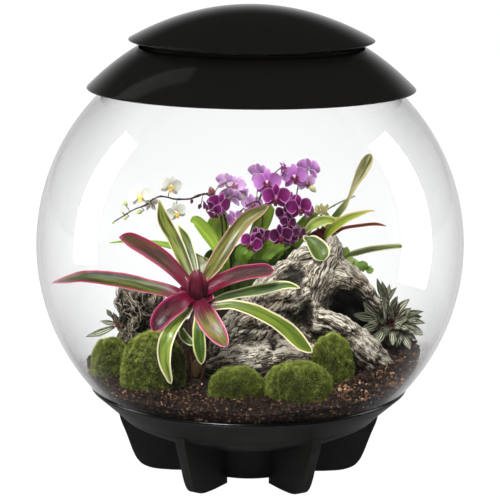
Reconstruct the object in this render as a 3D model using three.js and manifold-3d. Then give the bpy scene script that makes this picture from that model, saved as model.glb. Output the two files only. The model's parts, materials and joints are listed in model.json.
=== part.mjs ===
// A spherical glass plant terrarium: six-finned stand, glass globe, two-tier domed lid with lamp, fan and
// mist unit, and inside it soil, moss, driftwood, two bromeliads, orchids and trailing leaves.
// Millimetres, +Z up, origin on the floor under the globe's axis.
import * as THREE from "three";
import { mergeVertices } from "three/addons/utils/BufferGeometryUtils.js";
import Module from "manifold-3d";

const wasm = await Module();
wasm.setup();

// Driving dimensions
const SEGMENTS = 36; // facets around every turned piece, aligned so neighbours keep their gaps
const GLOBE_R = 250; // outside of the glass sphere
const GLOBE_Z = 275.6; // height of its centre
const GLOBE_INNER_R = 244;
const GLOBE_SEAT_R = 247; // the glass is stepped in below the joint, where it sits in the stand
const JOINT_Z = 110.7; // height of that step
const MOUTH_Z = 474; // the globe's open mouth
const GAP = 0.4; // clearance between pieces that touch
const STAND_TOP_Z = 107.6;
const STAND_TOP_R = 187.0;
const STAND_FLOOR_Z = 60.0;
const HUB_R = 60;
const HUB_BOTTOM_Z = 6.5;
const FIN_COUNT = 6;
const FIN_THICKNESS = 12.5;
const LID_RIM_R = 190.6; // lower dome, overhanging the globe
const LID_RIM_Z = 460.8;
const LID_TOP_R = 132;
const LID_WALL = 2.8;
const FLANGE_R = 108; // the lid's inner flange, on which everything inside the lid stands
const FLANGE_Z = 478.7;
const CAP_R = 142.64; // upper dome
const CAP_Z = 516.48;
const CAP_RISE = 39.66;
const TRAY_R = 121.6;

const BROMELIAD_A = {
  brom_a_leaf_01: { p: [[-75.6,-88.0,231.1],[-94.0,-84.0,237.1],[-114.8,-78.0,240.2],[-146.2,-68.0,244.7],[-186.9,-60.0,247.3],[-211.5,-56.0,242.7],[-227.8,-54.0,238.6]], w: [14.9,16.2,17.6,19.0,15.3,9.0,2.1], n: [[0.027,-0.788,0.615],[-0.05,-0.771,0.635],[-0.134,-0.75,0.648],[-0.126,-0.759,0.638],[-0.161,-0.769,0.618],[-0.238,-0.783,0.574],[-0.239,-0.791,0.563]] },
  brom_a_leaf_02: { p: [[-69.0,-80.0,242.2],[-83.0,-74.0,256.0],[-99.2,-68.0,269.8],[-116.6,-64.0,280.5],[-137.2,-62.0,291.5],[-149.8,-62.0,294.9]], w: [14.1,16.5,20.3,20.5,17.0,3.7], n: [[0.1,-0.871,0.481],[0.099,-0.868,0.487],[0.104,-0.862,0.496],[0.143,-0.862,0.486],[0.163,-0.855,0.492],[0.139,-0.846,0.515]] },
  brom_a_leaf_03: { p: [[-68.1,-74.0,252.6],[-77.6,-64.0,272.6],[-87.1,-56.0,292.0],[-99.4,-50.0,313.5],[-104.7,-47.0,336.8]], w: [11.4,14.9,14.9,14.9,1.8], n: [[-0.007,-0.896,0.444],[0.005,-0.909,0.418],[0.041,-0.938,0.343],[0.087,-0.97,0.229],[0.088,-0.985,0.147]] },
  brom_a_leaf_04: { p: [[-62.5,-70.0,257.6],[-68.7,-58.0,279.7],[-74.6,-52.0,293.6],[-83.9,-50.0,308.4]], w: [9.2,10.3,10.4,1.8], n: [[-0.005,-0.879,0.478],[-0.001,-0.895,0.447],[0.06,-0.953,0.297],[0.124,-0.97,0.21]] },
  brom_a_leaf_05: { p: [[-56.9,-66.0,251.0],[-58.2,-60.0,259.1],[-58.3,-56.0,267.6],[-55.0,-54.0,271.9]], w: [17.2,25.3,23.0,10.4], n: [[-0.019,-0.804,0.594],[0.007,-0.857,0.516],[0.05,-0.91,0.412],[0.073,-0.925,0.372]] },
  brom_a_leaf_06: { p: [[-48.7,-74.0,252.8],[-40.9,-66.0,262.8],[-29.7,-55.0,279.4],[-17.3,-46.0,297.6],[-3.6,-42.0,313.4],[11.3,-41.0,322.7],[21.6,-41.0,328.7]], w: [12.7,17.3,18.5,17.4,16.4,11.7,2.4], n: [[0.117,-0.819,0.561],[0.092,-0.84,0.534],[0.048,-0.88,0.473],[-0.023,-0.928,0.372],[-0.109,-0.944,0.312],[-0.155,-0.936,0.317],[-0.178,-0.934,0.309]] },
  brom_a_leaf_07: { p: [[-45.0,-84.0,241.0],[-31.4,-82.0,248.8],[-11.0,-78.0,255.7],[9.5,-76.0,259.0],[20.9,-76.0,259.7],[27.8,-76.0,260.3]], w: [14.7,17.3,18.8,17.6,15.1,5.0], n: [[-0.175,-0.838,0.517],[-0.101,-0.818,0.567],[-0.032,-0.799,0.6],[-0.025,-0.796,0.605],[-0.044,-0.795,0.605],[-0.057,-0.795,0.604]] },
  brom_a_leaf_08: { p: [[-41.5,-84.0,225.8],[-26.8,-80.0,229.7],[-10.8,-76.0,232.5],[14.3,-70.0,236.1],[40.7,-66.0,240.7],[58.0,-64.0,237.5]], w: [7.7,10.4,11.8,14.4,10.6,2.7], n: [[0.021,-0.736,0.677],[0.043,-0.731,0.682],[0.071,-0.725,0.685],[0.034,-0.734,0.679],[0.079,-0.732,0.677],[0.206,-0.734,0.647]] },
  brom_a_leaf_09: { p: [[-42.5,-92.0,221.8],[-18.6,-94.0,223.7],[5.3,-96.0,217.4],[28.1,-98.0,206.4],[45.3,-100.0,194.2],[59.0,-104.0,181.3],[71.5,-107.0,172.8]], w: [10.1,12.5,16.1,17.2,19.3,16.8,6.1], n: [[-0.113,-0.782,0.613],[-0.008,-0.786,0.619],[0.143,-0.807,0.573],[0.214,-0.832,0.512],[0.212,-0.859,0.466],[0.172,-0.854,0.491],[0.154,-0.838,0.524]] },
  brom_a_leaf_10: { p: [[-54.7,-102.0,224.1],[-49.9,-112.0,216.0],[-42.9,-122.0,206.9],[-33.7,-130.0,196.2],[-24.7,-134.0,185.8]], w: [17.2,24.0,25.2,20.7,8.0], n: [[-0.083,-0.649,0.756],[-0.086,-0.678,0.73],[-0.05,-0.759,0.649],[0.05,-0.849,0.525],[0.125,-0.886,0.447]] },
  brom_a_leaf_11: { p: [[-71.9,-98.0,231.1],[-82.8,-108.0,226.4],[-93.8,-116.0,218.9],[-101.4,-122.0,209.8],[-106.9,-125.0,200.1]], w: [15.6,23.7,23.3,19.5,9.1], n: [[0.286,-0.649,0.705],[0.207,-0.71,0.673],[0.073,-0.8,0.596],[-0.042,-0.889,0.456],[-0.098,-0.934,0.344]] },
  brom_a_leaf_12: { p: [[-69.5,-100.0,217.6],[-79.3,-112.0,209.9],[-88.9,-124.0,198.9],[-94.3,-130.0,184.1],[-94.2,-132.0,166.1],[-89.7,-131.0,149.6],[-87.0,-130.0,141.2]], w: [8.1,11.4,15.8,16.8,13.5,7.9,4.5], n: [[0.284,-0.671,0.685],[0.232,-0.709,0.666],[0.084,-0.84,0.536],[0.001,-0.971,0.237],[0.103,-0.994,0.042],[0.204,-0.979,-0.019],[0.236,-0.971,-0.037]] },
  brom_a_leaf_13: { p: [[-58.0,-104.0,210.5],[-57.2,-113.0,198.8],[-55.9,-117.0,181.2],[-54.2,-116.0,168.1],[-53.6,-114.0,159.4]], w: [9.1,13.5,14.7,10.2,3.4], n: [[0.007,-0.794,0.608],[0.019,-0.914,0.406],[0.049,-0.994,0.102],[0.08,-0.989,-0.128],[0.067,-0.973,-0.22]] },
  brom_a_leaf_14: { p: [[-77.7,-92.0,194.6],[-74.1,-97.0,187.7],[-68.3,-100.0,182.6],[-62.5,-101.0,178.2]], w: [6.9,10.3,9.2,3.5], n: [[-0.031,-0.819,0.573],[-0.035,-0.844,0.535],[0.046,-0.898,0.437],[0.129,-0.917,0.378]] },
  brom_a_leaf_15: { p: [[-59.6,-90.0,236.4],[-59.6,-92.0,249.6],[-58.6,-90.0,262.0]], w: [14.8,18.1,6.8], n: [[0.027,-0.988,-0.149],[0.017,-1.0,-0.001],[0.021,-0.987,0.158]] },
};
const BROMELIAD_B = {
  brom_b_leaf_01: { p: [[95.9,84.0,281.9],[104.2,86.0,293.9],[113.8,88.0,306.0],[120.9,89.0,318.2],[125.0,90.0,331.6],[131.5,91.0,343.8],[137.3,92.0,358.4],[141.3,92.0,371.3]], w: [7.3,7.9,7.9,4.1,7.3,14.5,16.9,3.6], n: [[-0.087,-0.971,0.221],[-0.087,-0.97,0.226],[-0.106,-0.975,0.194],[-0.115,-0.985,0.127],[-0.112,-0.986,0.123],[-0.118,-0.985,0.128],[-0.122,-0.989,0.079],[-0.126,-0.991,0.039]] },
  brom_b_leaf_02: { p: [[90.5,64.0,270.9],[101.0,60.0,284.1],[116.3,58.0,295.6],[131.8,58.0,301.9],[143.7,58.0,305.6],[149.7,58.0,305.7]], w: [8.0,12.1,10.9,6.8,2.8,1.7], n: [[-0.568,-0.796,0.211],[-0.507,-0.793,0.338],[-0.349,-0.782,0.517],[-0.219,-0.769,0.6],[-0.136,-0.76,0.636],[-0.006,-0.757,0.654]] },
  brom_b_leaf_03: { p: [[98.5,84.0,268.3],[113.1,88.0,277.6],[136.3,90.0,281.5],[153.3,90.0,283.2],[166.6,88.0,281.7]], w: [6.1,6.5,6.7,6.8,2.0], n: [[-0.265,-0.66,0.703],[-0.176,-0.602,0.779],[-0.086,-0.574,0.814],[-0.045,-0.57,0.82],[0.004,-0.577,0.817]] },
  brom_b_leaf_04: { p: [[101.2,78.0,238.5],[114.6,80.0,244.4],[130.3,80.0,249.0],[147.6,78.0,253.8],[168.6,74.0,257.8],[184.0,70.0,259.9],[192.4,68.0,259.4]], w: [6.0,7.6,9.3,9.5,7.9,6.3,1.9], n: [[-0.214,-0.671,0.71],[-0.217,-0.656,0.723],[-0.247,-0.634,0.733],[-0.266,-0.613,0.744],[-0.257,-0.6,0.757],[-0.202,-0.601,0.773],[-0.101,-0.62,0.778]] },
  brom_b_leaf_05: { p: [[85.4,58.0,277.0],[75.7,52.0,273.8],[64.8,46.0,269.4]], w: [11.5,11.5,3.8], n: [[0.234,-0.725,0.648],[0.198,-0.744,0.638],[0.166,-0.761,0.627]] },
  brom_b_leaf_06: { p: [[84.1,52.0,268.4],[82.1,42.0,264.3],[83.8,37.0,258.0],[85.1,36.0,252.1]], w: [14.5,16.7,14.3,4.8], n: [[0.129,-0.4,0.907],[-0.026,-0.569,0.822],[-0.035,-0.9,0.435],[0.023,-0.985,0.172]] },
  brom_b_leaf_07: { p: [[83.4,72.0,277.9],[73.7,74.0,281.1],[62.9,74.0,277.4]], w: [9.6,11.2,4.1], n: [[0.052,-0.771,0.634],[-0.091,-0.749,0.657],[-0.212,-0.768,0.604]] },
  brom_b_leaf_08: { p: [[92.1,78.0,278.1],[100.5,80.0,287.6],[110.1,80.0,293.9]], w: [7.5,7.6,2.6], n: [[-0.196,-0.911,0.363],[-0.231,-0.897,0.376],[-0.262,-0.877,0.402]] },
};
const ORCHID_LEAVES = {
  orchid_leaf_01: { p: [[-30.6,40.0,203.6],[-31.8,34.0,224.6],[-34.3,30.0,247.4],[-40.4,34.0,264.8],[-52.5,38.0,282.1],[-64.5,40.0,295.0],[-71.6,40.0,293.7]], w: [6.0,7.2,8.4,13.2,15.8,12.3,5.0], n: [[0.073,-0.96,-0.27],[0.089,-0.973,-0.215],[0.125,-0.992,0.027],[0.123,-0.951,0.284],[0.157,-0.937,0.311],[0.146,-0.905,0.398],[-0.081,-0.889,0.452]] },
  orchid_leaf_02: { p: [[-24.6,46.0,202.3],[-27.1,40.0,225.8],[-32.0,38.0,250.6],[-37.0,46.0,264.8],[-39.6,50.0,281.1],[-33.7,50.0,298.2],[-26.5,50.0,300.7]], w: [7.2,9.6,14.4,21.6,28.8,21.6,8.4], n: [[0.077,-0.968,-0.239],[0.089,-0.985,-0.149],[0.05,-0.985,0.164],[-0.002,-0.931,0.366],[-0.002,-0.993,0.119],[-0.128,-0.988,0.085],[-0.089,-0.963,0.254]] },
  orchid_leaf_03: { p: [[0.6,56.0,207.7],[-3.1,48.0,226.7],[-4.5,44.0,244.7],[4.9,58.0,268.9],[14.4,66.0,289.5],[21.4,70.0,306.0],[23.8,70.0,312.2]], w: [6.0,7.2,9.6,15.7,20.5,16.9,6.0], n: [[0.154,-0.921,-0.357],[0.095,-0.951,-0.295],[-0.013,-0.972,0.233],[0.049,-0.905,0.423],[0.002,-0.952,0.307],[-0.047,-0.98,0.193],[-0.106,-0.994,0.04]] },
  orchid_leaf_04: { p: [[10.3,46.0,207.5],[12.5,36.0,227.0],[14.7,34.0,242.1],[14.6,36.0,252.7],[24.1,40.0,260.5],[39.6,44.0,265.9],[48.1,46.0,263.1]], w: [7.2,9.6,14.3,21.7,19.8,16.3,6.3], n: [[-0.156,-0.885,-0.438],[-0.139,-0.941,-0.309],[-0.052,-0.999,0.004],[-0.078,-0.935,0.345],[0.018,-0.87,0.492],[0.157,-0.85,0.503],[0.332,-0.857,0.395]] },
  orchid_leaf_05: { p: [[37.0,66.0,208.2],[37.9,58.0,224.9],[38.9,56.0,242.6],[50.9,66.0,261.6],[64.0,72.0,280.2],[76.0,74.0,294.7],[82.0,74.0,298.4]], w: [7.3,9.7,12.1,18.2,20.6,15.8,4.9], n: [[-0.075,-0.9,-0.429],[-0.059,-0.959,-0.276],[-0.062,-0.97,0.234],[0.003,-0.921,0.39],[-0.073,-0.955,0.286],[-0.136,-0.961,0.239],[-0.165,-0.95,0.264]] },
  orchid_leaf_06: { p: [[-0.6,42.0,208.3],[-4.3,30.0,230.6],[-8.0,26.0,248.5],[-11.7,26.0,257.0],[-5.8,28.0,263.9],[7.3,30.0,267.2]], w: [4.9,7.2,9.6,13.1,12.5,5.1], n: [[0.263,-0.867,-0.423],[0.235,-0.917,-0.322],[0.224,-0.971,-0.085],[-0.063,-0.989,0.138],[-0.086,-0.865,0.495],[-0.009,-0.843,0.537]] },
  orchid_leaf_07: { p: [[-34.1,36.0,202.0],[-43.6,28.0,225.8],[-53.1,20.0,242.1],[-70.9,18.0,255.7],[-92.2,16.0,268.0],[-118.1,14.0,273.0],[-144.0,12.0,274.9],[-166.3,10.0,273.3]], w: [4.0,5.5,7.1,8.4,8.6,6.5,3.7,2.0], n: [[0.585,-0.81,-0.037],[0.662,-0.749,0.015],[0.619,-0.715,0.325],[0.429,-0.728,0.534],[0.298,-0.699,0.65],[0.149,-0.69,0.709],[0.063,-0.692,0.719],[0.011,-0.697,0.717]] },
};
const MOSS = {
  moss_left_small: { c: [-162.1,-42,128], r: [24.0,24.0,42.9] },
  moss_left_large: { c: [-111.0,-86,128], r: [35.6,34,60.2] },
  moss_centre: { c: [-13.3,-122,126], r: [32.3,27,32.4] },
  moss_front_right: { c: [61.1,-122,126], r: [37.4,34,38.9] },
  moss_right: { c: [97.6,-72,128], r: [24.3,24,59.8] },
};
const DRIFTWOOD = {
  body: [[-31.6,-30.0,154.6,15.2],[-10.6,-26.0,168.3,24.6],[15.0,-16.0,187.8,32.9],[45.5,-4.0,214.3,35.4],[73.9,6.0,226.8,30.8],[98.9,10.0,224.9,22.5]],
  ledge: [[-39.5,-44.0,142.4,5.8],[-16.2,-46.0,146.8,11.7],[15.3,-48.0,151.2,15.1],[47.8,-50.0,155.6,15.1],[73.4,-50.0,155.8,9.3]],
  branch: [[85.5,4.0,237.0,20.1],[110.1,0.0,236.9,14.1],[127.8,-4.0,227.1,10.6],[140.7,-8.0,216.1,7.1],[151.4,-10.0,205.7,3.5]],
  stub: [[98.7,12.0,242.7,10.7],[98.5,14.0,259.2,9.5],[97.1,15.0,271.1,8.9],[95.9,16.0,278.1,5.9]],
  leg: [[54.9,-22.0,187.2,17.6],[80.3,-34.0,192.7,12.8],[103.4,-40.0,188.4,10.5],[125.0,-36.0,168.4,11.7],[145.6,-28.0,152.0,10.6],[159.2,-22.0,140.9,7.1],[167.7,-19.0,134.1,2.9]],
  root: [[60.0,0.0,196.5,26.0],[79.1,-6.0,167.7,23.7],[86.5,-10.0,143.2,23.7]],
  back: [[59.9,12.0,218.1,26.1],[82.2,34.0,201.1,24.0],[87.9,46.0,167.4,21.7]],
};
const ROOT_CLUMP = {
  a: [[-117.8,6.0,205.7,16.6],[-131.9,4.0,193.9,22.5],[-136.5,0.0,176.5,17.8],[-139.8,-4.0,159.2,9.5],[-140.8,-8.0,148.0,4.7]],
  b: [[-129.7,8.0,199.0,20.2],[-143.8,6.0,207.9,15.4],[-146.2,6.0,216.4,9.5]],
  c: [[-136.9,8.0,174.6,15.5],[-130.2,14.0,152.3,17.9],[-123.2,18.0,139.1,16.8]],
};
const SPRAYS = {
  orchid_spray_white: {
    stem: [[-22.2,48.0,196.9,1.7],[-25.9,42.0,229.0,1.65],[-30.3,40.0,253.9,1.6],[-32.1,38.0,272.6,1.55],[-34.0,37.0,294.6,1.5],[-40.7,37.0,317.5,1.45],[-52.6,37.0,328.3,1.4],[-64.5,37.0,324.6,1.35],[-74.0,37.0,322.1,1.3],[-89.5,37.0,321.9,1.25],[-99.0,37.0,324.3,1.2],[-108.5,37.0,324.8,1.15],[-116.7,36.0,320.7,1.1],[-125.0,35.0,314.7,1.05],[-141.6,34.0,307.5,1.0],[-157.0,33.0,297.9,0.95],[-164.2,33.0,293.0,0.9]],
    flowers: [
      { c: [-130.7,30.0,326.4], s: 27, f: [-0.146,-0.97,0.194], roll: 10, kind: "w", tone: 0.5 },
      { c: [-94.5,30.0,338.8], s: 26, f: [0.241,-0.966,0.097], roll: -15, kind: "w", tone: 0.5 },
      { c: [-88.1,32.0,307.2], s: 24, f: [0.099,-0.99,-0.099], roll: 20, kind: "w", tone: 0.5 },
      { c: [-118.3,44.0,314.4], s: 20, f: [-0.598,0.717,0.359], roll: 0, kind: "w", tone: 0.5 },
    ],
    buds: [
      { c: [-148.6,33.0,316.7], s: 7.5, d: [-0.406,0.0,0.914], tone: 0.45 },
      { c: [-132.1,34.0,306.4], s: 8, d: [-0.949,0.0,-0.316], tone: 0.6 },
      { c: [-148.6,32.0,299.4], s: 6, d: [-0.848,0.0,-0.53], tone: 0.35 },
      { c: [-152.4,35.0,306.0], s: 4.5, d: [-0.53,0.0,0.848], tone: 0.5 },
      { c: [-163.0,33.0,293.6], s: 4, d: [-0.707,0.0,-0.707], tone: 0.2 },
    ],
  },
  orchid_spray_purple_left: {
    stem: [[-19.9,58.0,194.6,1.7],[-22.5,52.0,233.0,1.59],[-26.2,48.0,264.5,1.47],[-29.4,46.0,292.9,1.36],[-33.7,45.0,310.1,1.24],[-40.9,45.0,322.1,1.13],[-49.3,45.0,328.1,1.01],[-56.4,45.0,326.2,0.9]],
    flowers: [
      { c: [-37.1,36.0,316.5], s: 29, f: [0.329,-0.94,0.094], roll: -20, kind: "p", tone: 0.25 },
      { c: [-41.7,30.0,307.3], s: 22, f: [-0.259,-0.864,-0.432], roll: 40, kind: "p", tone: 0.2 },
      { c: [-23.1,50.0,322.6], s: 29, f: [0.289,0.867,0.405], roll: 0, kind: "l", tone: 0.9 },
      { c: [-50.1,34.0,314.4], s: 19, f: [-0.74,-0.647,-0.185], roll: 0, kind: "d", tone: 0.1 },
    ],
    buds: [
      { c: [-46.2,42.0,330.5], s: 13, d: [-0.351,0.0,0.936], tone: 0.3 },
      { c: [-70.0,42.0,318.2], s: 6, d: [-0.196,0.0,-0.981], tone: 0.1 },
      { c: [-60.4,42.0,312.2], s: 7, d: [-0.406,0.0,-0.914], tone: 0.1 },
    ],
  },
  orchid_spray_purple_mid: {
    stem: [[10.4,50.0,196.7,1.8],[7.7,44.0,222.7,1.69],[6.3,40.0,245.7,1.57],[9.7,38.0,265.6,1.46],[14.3,40.0,287.2,1.35],[14.1,44.0,305.9,1.24],[9.2,46.0,317.6,1.12],[-2.7,48.0,313.5,1.01],[-12.2,50.0,304.5,0.9]],
    flowers: [
      { c: [19.7,42.0,342.5], s: 33, f: [-0.098,-0.984,0.148], roll: 5, kind: "m", tone: 0.6 },
      { c: [2.1,52.0,314.0], s: 26, f: [0.192,-0.962,0.192], roll: 0, kind: "l", tone: 0.8 },
      { c: [-18.1,50.0,295.9], s: 25, f: [0.272,-0.908,0.318], roll: 20, kind: "l", tone: 0.55 },
      { c: [1.3,28.0,271.2], s: 27, f: [-0.148,-0.984,0.098], roll: -25, kind: "p", tone: 0.2 },
      { c: [15.5,31.0,278.6], s: 22, f: [0.195,-0.976,0.098], roll: 15, kind: "d", tone: 0.15 },
    ],
    buds: [
      { c: [38.5,44.0,361.0], s: 13, d: [0.1,0.0,0.995], tone: 0.5 },
      { c: [-9.9,52.0,323.6], s: 9, d: [-0.287,0.0,0.958], tone: 0.9 },
    ],
  },
  orchid_spray_purple_right: {
    stem: [[39.4,56.0,195.6,1.8],[41.4,50.0,221.7,1.67],[42.3,46.0,244.7,1.54],[42.0,42.0,265.1,1.41],[45.4,44.0,286.7,1.29],[50.0,50.0,305.1,1.16],[54.7,56.0,321.0,1.03],[57.0,60.0,334.9,0.9]],
    flowers: [
      { c: [51.9,50.0,348.1], s: 32, f: [0.097,-0.966,0.241], roll: 5, kind: "m", tone: 0.65 },
      { c: [69.2,58.0,356.6], s: 31, f: [0.466,0.828,0.311], roll: 0, kind: "l", tone: 0.6 },
      { c: [30.5,34.0,325.9], s: 33, f: [-0.05,-0.998,-0.05], roll: -3, kind: "p", tone: 0.45 },
      { c: [58.0,36.0,313.2], s: 31, f: [0.196,-0.979,-0.049], roll: 10, kind: "p", tone: 0.4 },
      { c: [41.5,40.0,304.4], s: 24, f: [-0.192,-0.962,-0.192], roll: -8, kind: "d", tone: 0.35 },
      { c: [36.9,27.0,280.2], s: 29, f: [-0.196,-0.981,0.0], roll: 10, kind: "d", tone: 0.2 },
      { c: [45.1,36.0,294.3], s: 21, f: [0.282,-0.941,0.188], roll: -10, kind: "d", tone: 0.2 },
      { c: [58.4,38.0,281.9], s: 20, f: [0.447,-0.894,0.0], roll: 0, kind: "d", tone: 0.1 },
    ],
    buds: [
      { c: [74.7,50.0,333.2], s: 11, d: [0.707,0.0,-0.707], tone: 0.85 },
      { c: [67.7,40.0,304.6], s: 10, d: [0.555,0.0,-0.832], tone: 0.2 },
    ],
  },
  orchid_spray_yellow: {
    stem: [[81.3,100.0,233.7,1.4],[83.2,98.0,261.7,1.32],[82.8,96.0,284.4,1.23],[88.7,95.0,295.8,1.15],[99.6,95.0,304.0,1.07],[114.0,95.0,311.5,0.98],[126.1,95.0,316.6,0.9]],
    flowers: [
      { c: [86.0,88.0,300.8], s: 17, f: [-0.286,-0.953,0.095], roll: 0, kind: "y", tone: 0.5 },
    ],
    buds: [
      { c: [93.5,92.0,295.2], s: 7, d: [0.857,0.0,-0.514], tone: 0.5 },
      { c: [93.5,95.0,304.5], s: 6.5, d: [0.351,0.0,0.936], tone: 0.5 },
      { c: [126.7,95.0,317.2], s: 3.2, d: [0.914,0.0,0.406], tone: 0.1 },
    ],
  },
};
const CREEPER = {
  stems: [
    [[106.2,40.0,212.2,1.2],[109.6,42.0,230.2,1.1],[113.0,44.0,245.8,1.0],[122.5,44.0,250.8,0.9],[132.1,42.0,245.1,0.8],[141.7,40.0,239.5,0.7]],
  ],
  leaves: [
    { p: [[113.5,44.0,253.1],[115.2,44.0,259.3],[116.3,44.0,262.9]], w: [3.0,7.8,3.0], n: [[-0.204,-0.977,0.056],[-0.209,-0.976,0.06],[-0.218,-0.974,0.067]] },
    { p: [[120.1,42.0,247.5],[123.6,40.0,244.3],[127.3,39.0,239.6]], w: [3.7,10.5,3.7], n: [[-0.013,-0.856,0.518],[0.08,-0.905,0.418],[0.152,-0.935,0.32]] },
    { p: [[122.3,40.0,252.2],[118.7,38.0,247.1],[114.0,38.0,244.6]], w: [3.7,8.7,3.8], n: [[-0.122,-0.892,0.435],[-0.178,-0.886,0.428],[-0.238,-0.859,0.454]] },
    { p: [[132.6,41.0,247.2],[134.3,38.0,243.6],[135.7,38.0,236.2]], w: [4.2,11.4,4.2], n: [[-0.078,-0.786,0.613],[0.035,-0.961,0.273],[0.061,-0.998,0.011]] },
    { p: [[139.3,40.0,240.1],[143.4,38.0,238.1],[147.6,38.0,239.4]], w: [3.8,9.0,3.8], n: [[-0.114,-0.808,0.578],[-0.149,-0.817,0.557],[-0.157,-0.842,0.517]] },
  ],
};
const PEPEROMIA_RIGHT = {
  stems: [
    [[162.4,30.0,138.6,2.4],[166.8,28.0,154.0,2.1],[173.4,26.0,171.8,1.8]],
    [[173.4,26.0,171.8,1.6],[161.1,24.0,182.0,1.3],[151.3,22.0,189.7,1.0]],
    [[173.4,26.0,171.8,1.6],[170.6,26.0,189.0,1.3],[163.3,28.0,203.2,1.0]],
    [[173.4,26.0,171.8,1.6],[185.1,24.0,177.3,1.3],[194.5,22.0,180.3,1.0]],
  ],
  leaves: [
    { p: [[163.2,26.0,201.2],[156.4,26.0,215.4],[151.8,26.0,230.4]], w: [3.3,7.2,1.2], n: [[0.202,-0.975,0.097],[0.165,-0.984,0.064],[0.123,-0.992,0.037]] },
    { p: [[165.6,26.5,203.5],[160.9,27.2,214.7],[158.0,28.0,226.4]], w: [3.5,7.8,1.2], n: [[0.148,-0.981,0.128],[0.112,-0.988,0.102],[0.072,-0.994,0.082]] },
    { p: [[165.7,27.0,198.5],[165.8,28.5,210.5],[167.8,30.0,222.4]], w: [3.2,7.2,1.1], n: [[-0.067,-0.99,0.122],[-0.105,-0.986,0.133],[-0.141,-0.979,0.15]] },
    { p: [[170.6,25.0,189.2],[173.1,23.5,199.7],[177.1,22.0,209.6]], w: [3.8,8.4,1.4], n: [[-0.266,-0.961,-0.073],[-0.315,-0.948,-0.039],[-0.358,-0.934,0.002]] },
    { p: [[175.5,26.0,184.1],[182.8,26.0,195.3],[191.8,26.0,205.1]], w: [4.4,9.8,1.6], n: [[-0.332,-0.918,0.216],[-0.338,-0.904,0.261],[-0.335,-0.891,0.306]] },
    { p: [[180.4,26.5,181.6],[195.0,27.2,186.4],[210.3,28.0,188.9]], w: [3.4,7.6,1.2], n: [[-0.137,-0.832,0.538],[-0.093,-0.828,0.553],[-0.048,-0.825,0.563]] },
    { p: [[185.2,25.0,177.1],[198.9,23.5,177.4],[212.5,22.0,175.6]], w: [4.0,8.9,1.4], n: [[-0.104,-0.821,0.562],[-0.06,-0.825,0.562],[-0.016,-0.831,0.556]] },
    { p: [[185.3,24.5,172.3],[198.1,22.3,169.0],[210.3,20.0,163.7]], w: [3.7,8.3,1.3], n: [[-0.006,-0.835,0.55],[0.03,-0.845,0.534],[0.063,-0.856,0.513]] },
    { p: [[180.6,24.0,167.4],[191.8,21.0,162.3],[201.9,18.0,155.5]], w: [3.7,8.2,1.3], n: [[0.016,-0.847,0.532],[0.042,-0.859,0.511],[0.065,-0.872,0.486]] },
    { p: [[175.8,23.5,165.0],[180.1,19.8,156.4],[182.9,16.0,147.3]], w: [3.8,8.4,1.3], n: [[0.025,-0.914,0.405],[0.012,-0.92,0.393],[-0.003,-0.924,0.382]] },
    { p: [[166.1,23.0,167.5],[167.5,18.6,157.6],[167.2,14.0,147.6]], w: [4.3,9.5,1.5], n: [[-0.034,-0.914,0.404],[-0.049,-0.911,0.409],[-0.063,-0.907,0.416]] },
    { p: [[153.9,25.5,186.5],[143.4,24.8,195.6],[134.3,24.0,206.3]], w: [5.1,11.2,1.8], n: [[0.321,-0.899,0.299],[0.323,-0.913,0.251],[0.317,-0.927,0.202]] },
    { p: [[151.6,25.0,184.1],[136.9,23.5,185.6],[122.6,22.0,189.5]], w: [4.6,10.2,1.6], n: [[0.139,-0.823,0.551],[0.184,-0.826,0.533],[0.226,-0.831,0.508]] },
    { p: [[161.1,24.0,182.0],[153.7,21.0,194.4],[148.3,18.0,207.8]], w: [4.4,9.8,1.6], n: [[0.373,-0.928,0.0],[0.334,-0.941,-0.053],[0.284,-0.953,-0.101]] },
    { p: [[156.4,23.5,177.2],[144.5,19.8,173.9],[132.2,16.0,172.6]], w: [4.6,10.2,1.6], n: [[0.08,-0.792,0.605],[0.129,-0.784,0.607],[0.177,-0.778,0.603]] },
    { p: [[168.3,22.5,175.0],[158.0,17.3,168.0],[146.5,12.0,162.7]], w: [4.5,10.0,1.6], n: [[-0.008,-0.802,0.598],[0.03,-0.787,0.616],[0.07,-0.775,0.628]] },
    { p: [[177.9,23.5,177.3],[185.1,19.8,187.6],[193.6,16.0,196.4]], w: [4.5,10.0,1.6], n: [[-0.541,-0.838,0.077],[-0.555,-0.821,0.134],[-0.559,-0.807,0.192]] },
    { p: [[170.6,22.5,182.4],[165.7,17.3,193.1],[162.3,12.0,204.4]], w: [3.9,8.6,1.4], n: [[0.448,-0.868,-0.214],[0.384,-0.881,-0.276],[0.305,-0.893,-0.33]] },
    { p: [[175.5,21.5,172.9],[183.6,14.8,172.8],[191.3,8.0,171.4]], w: [4.7,10.3,1.6], n: [[-0.483,-0.594,0.644],[-0.448,-0.597,0.666],[-0.412,-0.603,0.683]] },
    { p: [[149.1,27.5,193.3],[141.8,29.7,207.0],[136.8,32.0,221.6]], w: [3.8,8.5,1.3], n: [[0.144,-0.962,0.233],[0.12,-0.971,0.207],[0.092,-0.979,0.184]] },
    { p: [[158.7,28.0,195.8],[150.2,31.0,203.6],[143.1,34.0,212.7]], w: [3.9,8.6,1.4], n: [[0.089,-0.896,0.436],[0.094,-0.908,0.409],[0.095,-0.919,0.382]] },
  ],
};
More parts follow.
